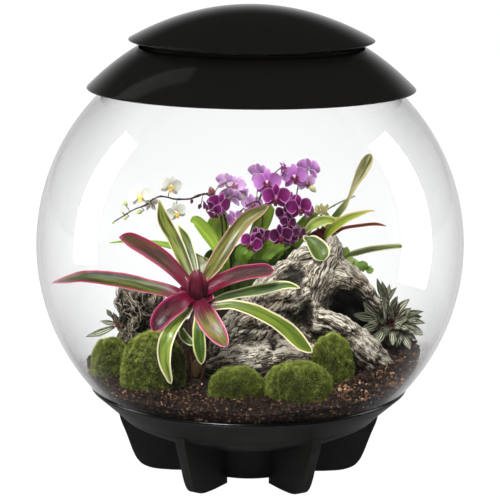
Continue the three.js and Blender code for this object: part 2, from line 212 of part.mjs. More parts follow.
const PEPEROMIA_LEFT = {
  stems: [
    [[-133.8,-6.0,145.1,1.8],[-143.0,-10.0,163.1,1.45],[-154.5,-14.0,179.7,1.1]],
    [[-154.5,-14.0,179.7,1.1],[-159.2,-14.0,184.5,0.95],[-164.0,-12.0,192.5,0.8]],
  ],
  leaves: [
    { p: [[-159.2,-15.0,177.5],[-175.7,-16.5,170.3],[-193.2,-18.0,165.8]], w: [3.9,8.8,1.4], n: [[-0.139,-0.86,0.492],[-0.103,-0.849,0.518],[-0.064,-0.84,0.54]] },
    { p: [[-156.9,-13.5,180.8],[-166.8,-12.8,181.6],[-176.4,-12.0,183.9]], w: [2.8,6.3,1.0], n: [[-0.018,-0.821,0.571],[0.027,-0.822,0.569],[0.071,-0.825,0.56]] },
    { p: [[-161.6,-13.5,189.2],[-165.5,-12.8,193.6],[-168.7,-12.0,198.5]], w: [2.5,5.4,0.9], n: [[0.246,-0.893,0.376],[0.251,-0.906,0.34],[0.249,-0.92,0.303]] },
    { p: [[-154.6,-13.0,179.5],[-158.2,-11.5,186.7],[-160.6,-10.0,194.5]], w: [3.2,7.1,1.1], n: [[0.208,-0.933,0.294],[0.192,-0.945,0.266],[0.171,-0.955,0.241]] },
    { p: [[-149.7,-15.5,174.1],[-152.6,-17.7,167.1],[-156.6,-20.0,160.6]], w: [2.7,6.0,1.0], n: [[-0.056,-0.946,0.321],[-0.068,-0.935,0.347],[-0.077,-0.924,0.374]] },
  ],
};

// ---------------------------------------------------------------- solids
const V = (x, y, z) => new THREE.Vector3(x, y, z);

// A closed three.js geometry as a solid with outward faces.
function solid(geometry) {
  const g = (geometry.index ? geometry.toNonIndexed() : geometry).clone();
  const bare = new THREE.BufferGeometry().setAttribute("position", g.getAttribute("position"));
  const merged = mergeVertices(bare, 1e-3);
  const source = merged.index.array;
  const keep = [];
  for (let i = 0; i < source.length; i += 3) {
    const [a, b, c] = [source[i], source[i + 1], source[i + 2]];
    if (a !== b && b !== c && a !== c) keep.push(a, b, c);
  }
  const p = merged.attributes.position;
  let volume = 0;
  const [a, b, c] = [V(), V(), V()];
  for (let i = 0; i < keep.length; i += 3) {
    a.fromBufferAttribute(p, keep[i]);
    b.fromBufferAttribute(p, keep[i + 1]);
    c.fromBufferAttribute(p, keep[i + 2]);
    volume += a.dot(b.clone().cross(c));
  }
  if (volume < 0) for (let i = 0; i < keep.length; i += 3) [keep[i + 1], keep[i + 2]] = [keep[i + 2], keep[i + 1]];
  return new wasm.Manifold(new wasm.Mesh({ numProp: 3, vertProperties: new Float32Array(p.array), triVerts: new Uint32Array(keep) }));
}

const union = (list) => list.reduce((sum, s) => sum.add(s));

// The biggest connected body of a solid.
function largest(s) {
  const bodies = s.decompose();
  if (!bodies.length) return s;
  return bodies.reduce((best, b) => (b.volume() > best.volume() ? b : best));
}

// A turned piece from [radius, height] pairs.
function turned(profile, segments = SEGMENTS) {
  const g = new THREE.LatheGeometry(profile.map(([r, z]) => new THREE.Vector2(r, z)), segments);
  g.rotateX(Math.PI / 2);
  return solid(g);
}

function box(x0, x1, y0, y1, z0, z1) {
  const g = new THREE.BoxGeometry(x1 - x0, y1 - y0, z1 - z0);
  g.translate((x0 + x1) / 2, (y0 + y1) / 2, (z0 + z1) / 2);
  return solid(g);
}

// An upright cylinder.
function rod(x, y, z0, z1, r, sides = 16) {
  const g = new THREE.CylinderGeometry(r, r, z1 - z0, sides);
  g.rotateX(Math.PI / 2);
  g.translate(x, y, (z0 + z1) / 2);
  return solid(g);
}

// A skin over rings of points, closed at both ends.
function skin(rings) {
  const n = rings[0].length;
  const verts = [];
  const tris = [];
  const at = (i, j) => i * n + (j % n);
  rings.forEach((ring) => ring.forEach((p) => verts.push(p.x, p.y, p.z)));
  for (let i = 0; i < rings.length - 1; i++)
    for (let j = 0; j < n; j++) tris.push(at(i, j), at(i, j + 1), at(i + 1, j + 1), at(i, j), at(i + 1, j + 1), at(i + 1, j));
  [0, rings.length - 1].forEach((i) => {
    const mid = rings[i].reduce((sum, p) => sum.add(p), V(0, 0, 0)).divideScalar(n);
    const k = verts.length / 3;
    verts.push(mid.x, mid.y, mid.z);
    for (let j = 0; j < n; j++) i ? tris.push(k, at(i, j), at(i, j + 1)) : tris.push(k, at(i, j + 1), at(i, j));
  });
  const g = new THREE.BufferGeometry();
  g.setAttribute("position", new THREE.Float32BufferAttribute(verts, 3));
  g.setIndex(tris);
  return solid(g);
}

// A tapering round limb along points [x, y, z, radius].
function limb(points, sides = 6, grow = 0, steps = 0) {
  const curve = new THREE.CatmullRomCurve3(points.map((p) => V(p[0], p[1], p[2])), false, "centripetal");
  const count = steps || points.length - 1;
  const frames = curve.computeFrenetFrames(count, false);
  const rings = [];
  for (let i = 0; i <= count; i++) {
    const t = i / count;
    const c = curve.getPointAt(t);
    const f = t * (points.length - 1);
    const k = Math.min(points.length - 2, Math.floor(f));
    const r = points[k][3] + (points[k + 1][3] - points[k][3]) * (f - k) + grow;
    const ring = [];
    for (let j = 0; j < sides; j++) {
      const a = (2 * Math.PI * j) / sides;
      ring.push(
        c
          .clone()
          .addScaledVector(frames.normals[i], r * Math.cos(a))
          .addScaledVector(frames.binormals[i], r * Math.sin(a)),
      );
    }
    rings.push(ring);
  }
  return skin(rings);
}

// A leaf blade: a channelled strip along p, w wide, whose upper face looks along n.
function blade(leaf, { thick = 1.5, cup = 0.16, grow = 0, steps = 0, flat = false } = {}) {
  const points = leaf.p.map((p) => V(...p));
  const curve = new THREE.CatmullRomCurve3(points, false, "centripetal");
  const count = steps || Math.max(4, points.length - 1);
  const rings = [];
  for (let i = 0; i <= count; i++) {
    const t = i / count;
    const f = t * (points.length - 1);
    const k = Math.min(points.length - 2, Math.floor(f));
    const u = f - k;
    const c = curve.getPoint(t);
    const tangent = curve.getTangent(t);
    if (grow && (i === 0 || i === count)) c.addScaledVector(tangent, i ? grow : -grow);
    const w = leaf.w[k] + (leaf.w[k + 1] - leaf.w[k]) * u + 2 * grow;
    const n = V(...leaf.n[k]).lerp(V(...leaf.n[k + 1]), u);
    n.addScaledVector(tangent, -n.dot(tangent)).normalize();
    const side = tangent.clone().cross(n);
    const h = thick / 2 + grow;
    const e = thick / 3 + grow;
    const rise = cup * w;
    const put = (a, b) => c.clone().addScaledVector(side, a).addScaledVector(n, b);
    rings.push(
      flat
        ? [put(w / 2, rise), put(0, h), put(-w / 2, rise), put(0, -h)]
        : [put(w / 2, rise - e), put(w / 2, rise + e), put(0, h), put(-w / 2, rise + e), put(-w / 2, rise - e), put(0, -h)],
    );
  }
  return skin(rings);
}

// A bud.
function ball(c, r, detail = 0) {
  const g = new THREE.OctahedronGeometry(r, detail);
  g.translate(c[0], c[1], c[2]);
  return solid(g);
}

// An open orchid flower: one five-lobed plate, facing f.
const FLOWER_OUTLINE = [
  [0.1, 0.17], [0.1, 0.46], [-0.1, 0.46], [-0.1, 0.17], [-0.36, 0.3], [-0.5, 0.04], [-0.16, -0.14],
  [-0.28, -0.42], [0, -0.3], [0.28, -0.42], [0.16, -0.14], [0.5, 0.04], [0.36, 0.3],
];
function flower(fl, grow = 0) {
  const shape = new THREE.Shape(FLOWER_OUTLINE.map(([x, y]) => new THREE.Vector2(x * fl.s, y * fl.s)));
  const plate = new THREE.ExtrudeGeometry(shape, { depth: 2.2 + 2 * grow, bevelEnabled: false });
  plate.translate(0, 0, -1.1 - grow);
  const z = V(...fl.f).normalize();
  const x = V(0, 0, 1).cross(z).normalize();
  const y = z.clone().cross(x);
  const turn = new THREE.Matrix4().makeRotationZ((fl.roll * Math.PI) / 180);
  const m = new THREE.Matrix4().makeBasis(x, y, z).multiply(turn).setPosition(V(...fl.c));
  return solid(plate.applyMatrix4(m));
}

// ---------------------------------------------------------------- made pieces
const r3 = (v) => Math.round(v * 1000) / 1000;
const sphereR = (R, z) => Math.sqrt(R * R - (z - GLOBE_Z) * (z - GLOBE_Z));

// Globe: outer and inner wall as height lists, so neighbours can follow the same facets.
const OUTER_Z = [JOINT_Z, 147, 188, 231, GLOBE_Z, 320, 363, 405, 441, MOUTH_Z];
const SEAT_Z = [JOINT_Z, 92, 74, 60.3];
const INNER_Z = [64.8, 82, 104, 130, 166, 208, 252, 296, 340, 383, 430, MOUTH_Z];
function along(table, z) {
  for (let i = 0; i < table.length - 1; i++) {
    const [r0, z0] = table[i];
    const [r1, z1] = table[i + 1];
    if ((z >= z0 && z <= z1) || (z <= z0 && z >= z1)) return r0 + ((r1 - r0) * (z - z0)) / (z1 - z0 || 1);
  }
  return table[table.length - 1][0];
}
const globeOuter = OUTER_Z.map((z) => [sphereR(GLOBE_R, z), z]);
const globeSeat = SEAT_Z.map((z) => [sphereR(GLOBE_SEAT_R, z), z]);
const globeInner = INNER_Z.map((z) => [sphereR(GLOBE_INNER_R, z), z]);
const globe = turned([[0, 60.3], ...[...globeSeat].reverse(), ...globeOuter, ...[...globeInner].reverse(), [0, 64.8]]);

// Stand: a bowl that cups the globe, a hub under it and six radial fins to the floor.
const cradle = [
  [along(globeSeat, STAND_TOP_Z) + 0.6, STAND_TOP_Z],
  [along(globeSeat, 92) + 0.6, 92],
  [along(globeSeat, 74) + 0.6, 74],
  [along(globeSeat, 60.3) + 0.8, STAND_FLOOR_Z],
];
const bowl = turned([
  [0, STAND_FLOOR_Z], ...[...cradle].reverse(),
  [STAND_TOP_R, STAND_TOP_Z], [156.9, 79.7], [153.2, 75.2], [147, 70.8],
  [128, 61.2], [116, 55.8], [HUB_R + 2.5, 54.5], [HUB_R, HUB_BOTTOM_Z], [0, HUB_BOTTOM_Z],
]);
const finShape = new THREE.Shape(
  [
    [HUB_R - 6, 0], [94, 0], [108, 1], [118, 3], [126.5, 6.7], [130.6, 10.5], [133.5, 14.2], [135.6, 18], [138.9, 25.5],
    [141.6, 33], [144.2, 40.4], [147, 47.9], [151.1, 57.9], [153.5, 65.3], [156, 78.4], [150, 73.9], [128, 62.4], [121, 58.8], [112, 57.4], [HUB_R - 6, 57],
  ].map(([r, z]) => new THREE.Vector2(r, Math.max(z, 0))),
);
function fin(angle) {
  const g = new THREE.ExtrudeGeometry(finShape, { depth: FIN_THICKNESS, bevelEnabled: false });
  g.translate(0, 0, -FIN_THICKNESS / 2);
  g.rotateX(Math.PI / 2);
  g.rotateZ(angle);
  return solid(g);
}
// each fin's foot is stepped up to the hub, inside radius 60
const finFeet = turned([[0, -1], [HUB_R, -1], [HUB_R, HUB_BOTTOM_Z + 0.01], [0, HUB_BOTTOM_Z + 0.01]]);
let stand = bowl;
for (let i = 0; i < FIN_COUNT; i++) stand = stand.add(fin((i * 2 * Math.PI) / FIN_COUNT).subtract(finFeet));

const baseSeal = turned([
  [along(globeSeat, 108) + 0.5, 108.0], [187.3, 108.0], [187.9, 109.1], [187.2, 110.25], [along(globeSeat, 110.25) + 0.5, 110.25],
  [along(globeSeat, 108) + 0.5, 108.0],
]);

const mouthR = sphereR(GLOBE_R, MOUTH_Z);
const mouthInner = sphereR(GLOBE_INNER_R, MOUTH_Z);
const globeSeal = turned([
  [mouthInner - 2, 474.4], [mouthR + 2.5, 474.4], [mouthR + 1.5, 478.2], [mouthInner - 1, 478.2], [mouthInner - 2, 474.4],
]);

// Lid, lower tier: a thin dome with an inner flange that rests on the mouth seal.
const ringAt = (t) => [LID_RIM_R + (LID_TOP_R - LID_RIM_R) * t, LID_RIM_Z + 46.82 * t + 12.12 * t * (1 - t)];
function ringInner(t) {
  const [r0, z0] = ringAt(t - 0.02);
  const [r1, z1] = ringAt(t + 0.02);
  const l = Math.hypot(r1 - r0, z1 - z0);
  const [r, z] = ringAt(t);
  return [r - (LID_WALL * (z1 - z0)) / l, z + (LID_WALL * (r1 - r0)) / l];
}
const lidRing = turned([
  ...[0, 0.18, 0.38, 0.6, 0.8, 1].map(ringAt),
  ...[0.96, 0.72].map(ringInner),
  [150.5, 481.8], [FLANGE_R, 481.8], [FLANGE_R, FLANGE_Z], [164, FLANGE_Z],
  ...[0.34, 0.14].map(ringInner),
  [LID_RIM_R - 3.0, LID_RIM_Z - 0.6], ringAt(0),
]);
// power inlet bore, through the back of the lower tier
const inletBore = new THREE.CylinderGeometry(4.8, 4.8, 40, 16);
inletBore.translate(0, 150, 0);
const lidRingBored = lidRing.subtract(solid(inletBore.translate(0, 0, 490)));
function barrel(r0, r1, y0, y1, z, sides = 16) {
  const outer = new THREE.CylinderGeometry(r1, r1, y1 - y0, sides).translate(0, (y0 + y1) / 2, z);
  if (!r0) return solid(outer);
  const bore = new THREE.CylinderGeometry(r0, r0, (y1 - y0) * 0.8, sides).translate(0, y1 - (y1 - y0) * 0.38, z);
  return solid(outer).subtract(solid(bore));
}
const inlet = barrel(2.8, 4.3, 131, 157.4, 490).add(barrel(0, 1, 134, 153, 490, 8));

// Lid, upper tier: a shallow dome whose skirt stands on the flange.
const capAt = (t) => [CAP_R * t, CAP_Z + CAP_RISE * (1 - t * t) + 1.22 * t * t * (1 - t * t)];
const cap = turned([
  ...[0, 0.2, 0.42, 0.62, 0.82, 1].map(capAt),
  [133, 511.9], [126.7, 510.4], [126.7, 482.2], [123.7, 482.2],
  [123.7, capAt(0.867)[1] - 3],
  ...[0.62, 0.32, 0].map((t) => [capAt(t)[0], capAt(t)[1] - 2.9]),
]);

// Inside the lid: a tray on the flange, lamp below it, fan, filter and mist unit on it.
const trayZ = 482.2;
const FAN_X = -32;
const MIST_X = 36;
let tray = turned([[0, trayZ], [TRAY_R, trayZ], [TRAY_R, trayZ + 7], [TRAY_R - 2.2, trayZ + 7], [TRAY_R - 2.2, trayZ + 2.4], [0, trayZ + 2.4]]);
tray = tray.subtract(rod(FAN_X, 0, 470, 490, 24, 16)).subtract(rod(MIST_X, 0, 470, 490, 8, 12));
for (const y of [-47, 47]) tray = tray.subtract(rod(5, y, 470, 490, 6, 12));
// lamp ring and its lens, around the fan's and the mister's ways
const lampBoard = (() => {
  let board = turned([[64, 478.6], [95, 478.6], [95, 480.4], [64, 480.4], [64, 478.6]], 24);
  for (let i = 0; i < 12; i++) {
    const a = ((i + 0.5) * Math.PI) / 6;
    const chip = new THREE.BoxGeometry(7, 7, 1.8).translate(80, 0, 478).rotateZ(a);
    board = board.add(solid(chip));
  }
  return board;
})();
const lens = turned([
  [60, 481.8], [60, 470], [100, 470], [100, 481.8], [98, 481.8], [98, 472], [62, 472], [62, 481.8], [60, 481.8],
], 32);
const fanFrame = box(FAN_X - 30, FAN_X + 30, -30, 30, 485, 505).subtract(rod(FAN_X, 0, 480, 510, 26.5, 20));
const fanRotor = (() => {
  let rotor = rod(FAN_X, 0, 486.5, 503, 10, 16);
  for (let i = 0; i < 7; i++) {
    const b = new THREE.BoxGeometry(16, 1.4, 13).rotateX(0.7).translate(16.5, 0, 0).rotateZ((i * 2 * Math.PI) / 7).translate(FAN_X, 0, 494.5);
    rotor = rotor.add(solid(b));
  }
  return rotor;
})();
// three struts carry the rotor's motor under the frame
let fan = fanFrame.add(rod(FAN_X, 0, 485, 486.1, 9, 16));
for (let i = 0; i < 3; i++) fan = fan.add(solid(new THREE.BoxGeometry(20, 2.4, 1.1).translate(17.5, 0, 0).rotateZ((i * 2 * Math.PI) / 3 + 0.5).translate(FAN_X, 0, 485.55)));
const filter = rod(FAN_X, 0, 505.4, 519, 27, 24);
// water tank over the mister, on two side walls
const TANK = [3, 88, -40, 40];
const mistTank = box(...TANK, 498, 520).subtract(box(6, 85, -37, 37, 501, 521)).subtract(rod(MIST_X, 0, 490, 503, 8, 12))
  .add(box(...TANK.slice(0, 2), -40, -37, 485, 499)).add(box(...TANK.slice(0, 2), 37, 40, 485, 499));
const mistTankLid = box(2, 89, -41, 41, 520.4, 523);
const mistUnit = rod(MIST_X, 0, 488.2, 497.6, 12.5, 16).add(rod(MIST_X, 0, 485, 489, 15, 16)).subtract(rod(MIST_X, 0, 480, 499, 5.5, 12));

// ---------------------------------------------------------------- ground
// Height of the soil over the floor: low at the front and left, banked up behind the driftwood.
function soilHeight(x, y) {
  const slope = 0.055 + 0.035 * (x / 180);
  let z = 126 + slope * (y + 190);
  z += 60 * Math.exp(-((x / 62) ** 2) - (((y - 68) / 46) ** 2));
  z += 55 * Math.exp(-(((x - 85) / 50) ** 2) - (((y - 78) / 48) ** 2));
  z += 1.6 * Math.sin(x / 17 + 1.3) * Math.cos(y / 21) + 1.1 * Math.sin(y / 9 + x / 31);
  return z;
}
function soilMass(raise) {
  const rings = 8;
  const spokes = 36;
  const R = 262;
  const verts = [0, 0, soilHeight(0, 0) + raise];
  const tris = [];
  for (let i = 1; i <= rings; i++)
    for (let j = 0; j < spokes; j++) {
      const a = (2 * Math.PI * j) / spokes;
      const r = (R * i) / rings;
      const [x, y] = [r * Math.cos(a), r * Math.sin(a)];
      verts.push(x, y, soilHeight(x, y) + raise);
    }
  const at = (i, j) => 1 + (i - 1) * spokes + (j % spokes);
  for (let j = 0; j < spokes; j++) tris.push(0, at(1, j), at(1, j + 1));
  for (let i = 1; i < rings; i++)
    for (let j = 0; j < spokes; j++) tris.push(at(i, j), at(i + 1, j), at(i + 1, j + 1), at(i, j), at(i + 1, j + 1), at(i, j + 1));
  const base = verts.length / 3;
  for (let j = 0; j < spokes; j++) {
    const a = (2 * Math.PI * j) / spokes;
    verts.push(R * Math.cos(a), R * Math.sin(a), 20);
  }
  const mid = verts.length / 3;
  verts.push(0, 0, 20);
  for (let j = 0; j < spokes; j++) {
    const k = (j + 1) % spokes;
    tris.push(at(rings, j), base + j, base + k, at(rings, j), base + k, at(rings, k), mid, base + k, base + j);
  }
  const g = new THREE.BufferGeometry();
  g.setAttribute("position", new THREE.Float32BufferAttribute(verts, 3));
  g.setIndex(tris);
  return solid(g);
}
const plateTop = 79.4;
let plantingPlate = turned([[0, 76.4], [137, 76.4], [137, plateTop], [0, plateTop]]);
for (let i = 0; i < 6; i++) {
  const a = (i * Math.PI) / 3;
  plantingPlate = plantingPlate.add(rod(95 * Math.cos(a), 95 * Math.sin(a), 65.2, 77, 6, 8));
  plantingPlate = plantingPlate.subtract(rod(60 * Math.cos(a + 0.5), 60 * Math.sin(a + 0.5), 70, 85, 4, 8));
}
const soilZ = [plateTop + GAP, 104, 130, 166, 208, 240];
const soilSide = soilZ.map((z) => [along(globeInner, z) - 0.6, z]);
const soilMould = turned([[0, soilSide[0][1]], ...soilSide, [0, 240]]);
const soil = soilMould.intersect(soilMass(0));
const soilRaised = soilMass(0.35);

// ---------------------------------------------------------------- what grows and lies in it
// Pieces made so far, each with a slightly swollen copy that later ones are cut clear of.
const made = [];
function meets(a, b) {
  const [p, q] = [a.boundingBox(), b.boundingBox()];
  for (let i = 0; i < 3; i++) if (p.max[i] < q.min[i] || q.max[i] < p.min[i]) return false;
  return true;
}
function place(name, body, swollen, colour, roughness) {
  let s = body.subtract(soilRaised);
  for (const m of made) if (meets(s, m.swollen)) s = s.subtract(m.swollen);
  s = largest(s);
  made.push({ name, solid: s, swollen, colour, roughness });
  return s;
}

const GROW = 0.36;
// Driftwood: one gnarled piece, its trunk, ledge, broken stub, branch and arching leg grown together.
const wood = (grow) => union([
  limb(DRIFTWOOD.body, 9, grow, 6), limb(DRIFTWOOD.ledge, 6, grow, 3), limb(DRIFTWOOD.branch, 6, grow, 4), limb(DRIFTWOOD.stub, 6, grow, 2),
  limb(DRIFTWOOD.leg, 6, grow, 7), limb(DRIFTWOOD.root, 7, grow, 2), limb(DRIFTWOOD.back, 7, grow, 2),
]);
place("driftwood", wood(0), wood(GROW), "#8d857a", 0.9);
const bark = (grow) => union([limb(ROOT_CLUMP.a, 7, grow, 4), limb(ROOT_CLUMP.b, 6, grow, 2), limb(ROOT_CLUMP.c, 6, grow, 2)]);
place("root_clump", bark(0), bark(GROW), "#75695a", 0.95);

// Moss cushions: low domes pressed on to the soil.
function cushion({ c, r }, grow) {
  const g = new THREE.SphereGeometry(1, 12, 8);
  g.rotateX(Math.PI / 2);
  g.scale(r[0] + grow, r[1] + grow, r[2] + grow);
  g.translate(c[0], c[1], c[2]);
  return solid(g);
}
for (const [name, m] of Object.entries(MOSS)) place(name, cushion(m, 0), cushion(m, GROW), "#5f7327", 1);

// Bromeliad A: a short stem and cup with its young inner leaves, the grown leaves in a rosette around it.
const LEAF_A = { thick: 1.5, cup: 0.14 };
const young = (leaf, grow) => blade(leaf, { ...LEAF_A, grow });
const cupA = (g) => union([
  limb([[-59.8, -82, 122, 8], [-59.8, -84, 170, 8.5], [-59.8, -86, 205, 10], [-59.8, -89, 240, 12]], 10, g, 3),
  young(BROMELIAD_A.brom_a_leaf_15, g), young(BROMELIAD_A.brom_a_leaf_14, g),
]);
place("bromeliad_a_crown", cupA(0), cupA(GROW), "#5a1226", 0.5);
const A_ORDER = ["05", "07", "01", "06", "02", "03", "04", "09", "08", "10", "11", "12", "13"];
for (const k of A_ORDER) {
  const leaf = BROMELIAD_A["brom_a_leaf_" + k];
  place("bromeliad_a_leaf_" + k, blade(leaf, LEAF_A), blade(leaf, { ...LEAF_A, grow: GROW }), "#7a1f45", 0.4);
}
// Bromeliad B, behind the driftwood.
const YOUNG_B = ["brom_b_leaf_05", "brom_b_leaf_07", "brom_b_leaf_08"];
const cupB = (g) => union([limb([[91, 74, 190, 7], [91, 73, 225, 7], [90, 71, 255, 8.5], [88, 70, 280, 9]], 10, g, 3), ...YOUNG_B.map((k) => young(BROMELIAD_B[k], g))]);
place("bromeliad_b_crown", cupB(0), cupB(GROW), "#4a5a1e", 0.5);
for (const [k, leaf] of Object.entries(BROMELIAD_B).filter(([k]) => !YOUNG_B.includes(k)))
  place("bromeliad_b_" + k.slice(7), blade(leaf, LEAF_A), blade(leaf, { ...LEAF_A, grow: GROW }), "#7d8c33", 0.4);

// Orchid sprays: a stem with its pedicels, buds and open flowers, one grown piece each.
function spray({ stem, flowers, buds }, grow) {
  const path = stem.map((p) => [...p]);
  const [x0, y0] = path[0];
  const ground = soilHeight(x0, y0);
  if (path[0][2] > ground) path.unshift([x0, y0, ground - 5, path[0][3]]);
  const parts = [limb(path, 4, grow, Math.ceil(path.length * 0.75))];
  const curve = path.map((p) => V(p[0], p[1], p[2]));
  const join = (c, r) => {
    let best = curve[curve.length - 1];
    let reach = Infinity;
    for (let i = 0; i < curve.length - 1; i++) {
      const d = curve[i + 1].clone().sub(curve[i]);
      const t = Math.min(1, Math.max(0, V(...c).sub(curve[i]).dot(d) / d.lengthSq()));
      const q = curve[i].clone().addScaledVector(d, t);
      const l = q.distanceTo(V(...c));
      if (l < reach) [reach, best] = [l, q];
    }
    if (reach > 1.5) parts.push(limb([[best.x, best.y, best.z, r], [...c, r * 0.9]], 3, grow, 1));
  };
  for (const f of flowers) {
    parts.push(flower(f, grow));
    join(f.c, 1.0);
  }
  for (const b of buds) {
    parts.push(ball(b.c, b.s / 2 + grow));
    join(b.c, 0.9);
  }
  return union(parts);
}
for (const [name, s] of Object.entries(SPRAYS)) place(name, spray(s, 0), spray(s, GROW), name.includes("white") || name.includes("yellow") ? "#f2eee0" : "#8a2c86", 0.6);
const LEAF_O = { thick: 2, cup: 0.1 };
for (const [name, leaf] of Object.entries(ORCHID_LEAVES)) place(name, blade(leaf, LEAF_O), blade(leaf, { ...LEAF_O, grow: GROW }), "#8db52f", 0.45);

// Small trailing plants: thin stems with their leaves, one grown piece each.
function bush({ stems, leaves }, grow, thick) {
  const parts = stems.map((s) => limb(s, 4, grow, s.length - 1));
  const lines = stems.map((s) => s.map((p) => V(p[0], p[1], p[2])));
  for (const leaf of leaves) {
    const c = V(...leaf.p[0]);
    let best = null;
    let reach = Infinity;
    for (const line of lines)
      for (let i = 0; i < line.length - 1; i++) {
        const d = line[i + 1].clone().sub(line[i]);
        const t = Math.min(1, Math.max(0, c.clone().sub(line[i]).dot(d) / d.lengthSq()));
        const q = line[i].clone().addScaledVector(d, t);
        if (q.distanceTo(c) < reach) [reach, best] = [q.distanceTo(c), q];
      }
    // the leaf starts as a petiole on its stem
    const whole = reach > 1 ? { p: [best.toArray(), ...leaf.p], w: [1.6, ...leaf.w], n: [leaf.n[0], ...leaf.n] } : leaf;
    parts.push(blade(whole, { thick, cup: 0.1, grow, steps: whole.p.length - 1, flat: true }));
  }
  return union(parts);
}
const fewer = (b) => ({ stems: b.stems, leaves: b.leaves.filter((_, i) => i % 5 !== 1 && i % 5 !== 3) });
place("peperomia_right", bush(fewer(PEPEROMIA_RIGHT), 0, 1.6), bush(fewer(PEPEROMIA_RIGHT), GROW, 1.6), "#31422c", 0.5);
place("peperomia_left", bush(PEPEROMIA_LEFT, 0, 1.4), bush(PEPEROMIA_LEFT, GROW, 1.4), "#31422c", 0.5);
place("creeper", bush(CREEPER, 0, 1.2), bush(CREEPER, GROW, 1.2), "#5c9326", 0.5);

// ---------------------------------------------------------------- the group
const root = new THREE.Group();
root.name = "terrarium";
function add(name, s, color, roughness, metalness = 0, more = {}) {
  const m = s.getMesh();
  const positions = new Float32Array(m.numVert * 3);
  for (let i = 0; i < m.numVert; i++) positions.set(m.vertProperties.subarray(i * m.numProp, i * m.numProp + 3), i * 3);
  const g = new THREE.BufferGeometry();
  g.setAttribute("position", new THREE.BufferAttribute(positions, 3));
  g.setIndex(new THREE.BufferAttribute(m.triVerts, 1));
  g.computeVertexNormals();
  const mesh = new THREE.Mesh(g, new THREE.MeshStandardMaterial({ color, roughness, metalness, ...more }));
  mesh.name = name;
  root.add(mesh);
}
add("stand", stand, "#242525", 0.45);
add("base_seal", baseSeal, "#0a0a0a", 0.25);
add("globe", globe, "#eef1f0", 0.02, 0, { transparent: true, opacity: 0.2 });
add("globe_seal", globeSeal, "#141414", 0.6);
add("lid_ring", lidRingBored, "#161615", 0.15);
add("lid_cap", cap, "#161615", 0.15);
add("lid_tray", tray, "#d9dad8", 0.4);
add("lamp_board", lampBoard, "#f2f2ee", 0.5);
add("lamp_lens", lens, "#f4f4f2", 0.3);
add("fan_frame", fan, "#1c1c1c", 0.5);
add("fan_rotor", fanRotor, "#1c1c1c", 0.4);
add("air_filter", filter, "#2a2a2a", 0.95);
add("mist_tank", mistTank, "#cfd6d8", 0.2);
add("mist_tank_lid", mistTankLid, "#cfd6d8", 0.3);
add("mist_unit", mistUnit, "#b8b8b8", 0.3, 0.8);
add("power_inlet", inlet, "#101010", 0.35);
add("planting_plate", plantingPlate, "#2b2b2b", 0.6);
add("soil", soil, "#3a2618", 1);
for (const m of made) add(m.name, m.solid, m.colour, m.roughness);

export default root;
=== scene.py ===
import json
import math

import bmesh
import bpy
import numpy as np
from mathutils import Matrix, Vector
from mathutils.kdtree import KDTree

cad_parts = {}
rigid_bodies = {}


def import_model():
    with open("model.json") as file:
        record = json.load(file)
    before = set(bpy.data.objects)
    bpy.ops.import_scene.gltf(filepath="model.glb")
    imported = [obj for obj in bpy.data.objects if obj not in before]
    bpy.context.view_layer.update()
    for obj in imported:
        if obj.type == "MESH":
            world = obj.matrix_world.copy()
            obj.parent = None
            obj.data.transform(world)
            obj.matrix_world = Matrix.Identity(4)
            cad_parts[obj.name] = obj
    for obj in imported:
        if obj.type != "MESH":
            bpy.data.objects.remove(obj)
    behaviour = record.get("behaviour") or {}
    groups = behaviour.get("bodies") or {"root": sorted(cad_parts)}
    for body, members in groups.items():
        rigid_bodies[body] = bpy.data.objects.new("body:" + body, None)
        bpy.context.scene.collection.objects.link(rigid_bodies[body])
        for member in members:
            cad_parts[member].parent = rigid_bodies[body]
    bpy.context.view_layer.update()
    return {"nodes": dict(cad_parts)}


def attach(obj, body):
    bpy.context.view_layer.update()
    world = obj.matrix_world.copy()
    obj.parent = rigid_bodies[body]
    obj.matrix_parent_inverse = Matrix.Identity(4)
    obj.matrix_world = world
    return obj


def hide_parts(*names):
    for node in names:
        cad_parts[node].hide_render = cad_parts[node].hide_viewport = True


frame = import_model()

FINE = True

GLOBE_R, GLOBE_Z, INNER_R, SEAT_R = 250.0, 275.6, 244.0, 247.0
JOINT_Z, MOUTH_Z = 110.7, 474.0
FOCAL, PITCH, ROLL = 149.47, 0.20136, 0.00875
CAMERA = (0.0, -2.39192, 0.75669)

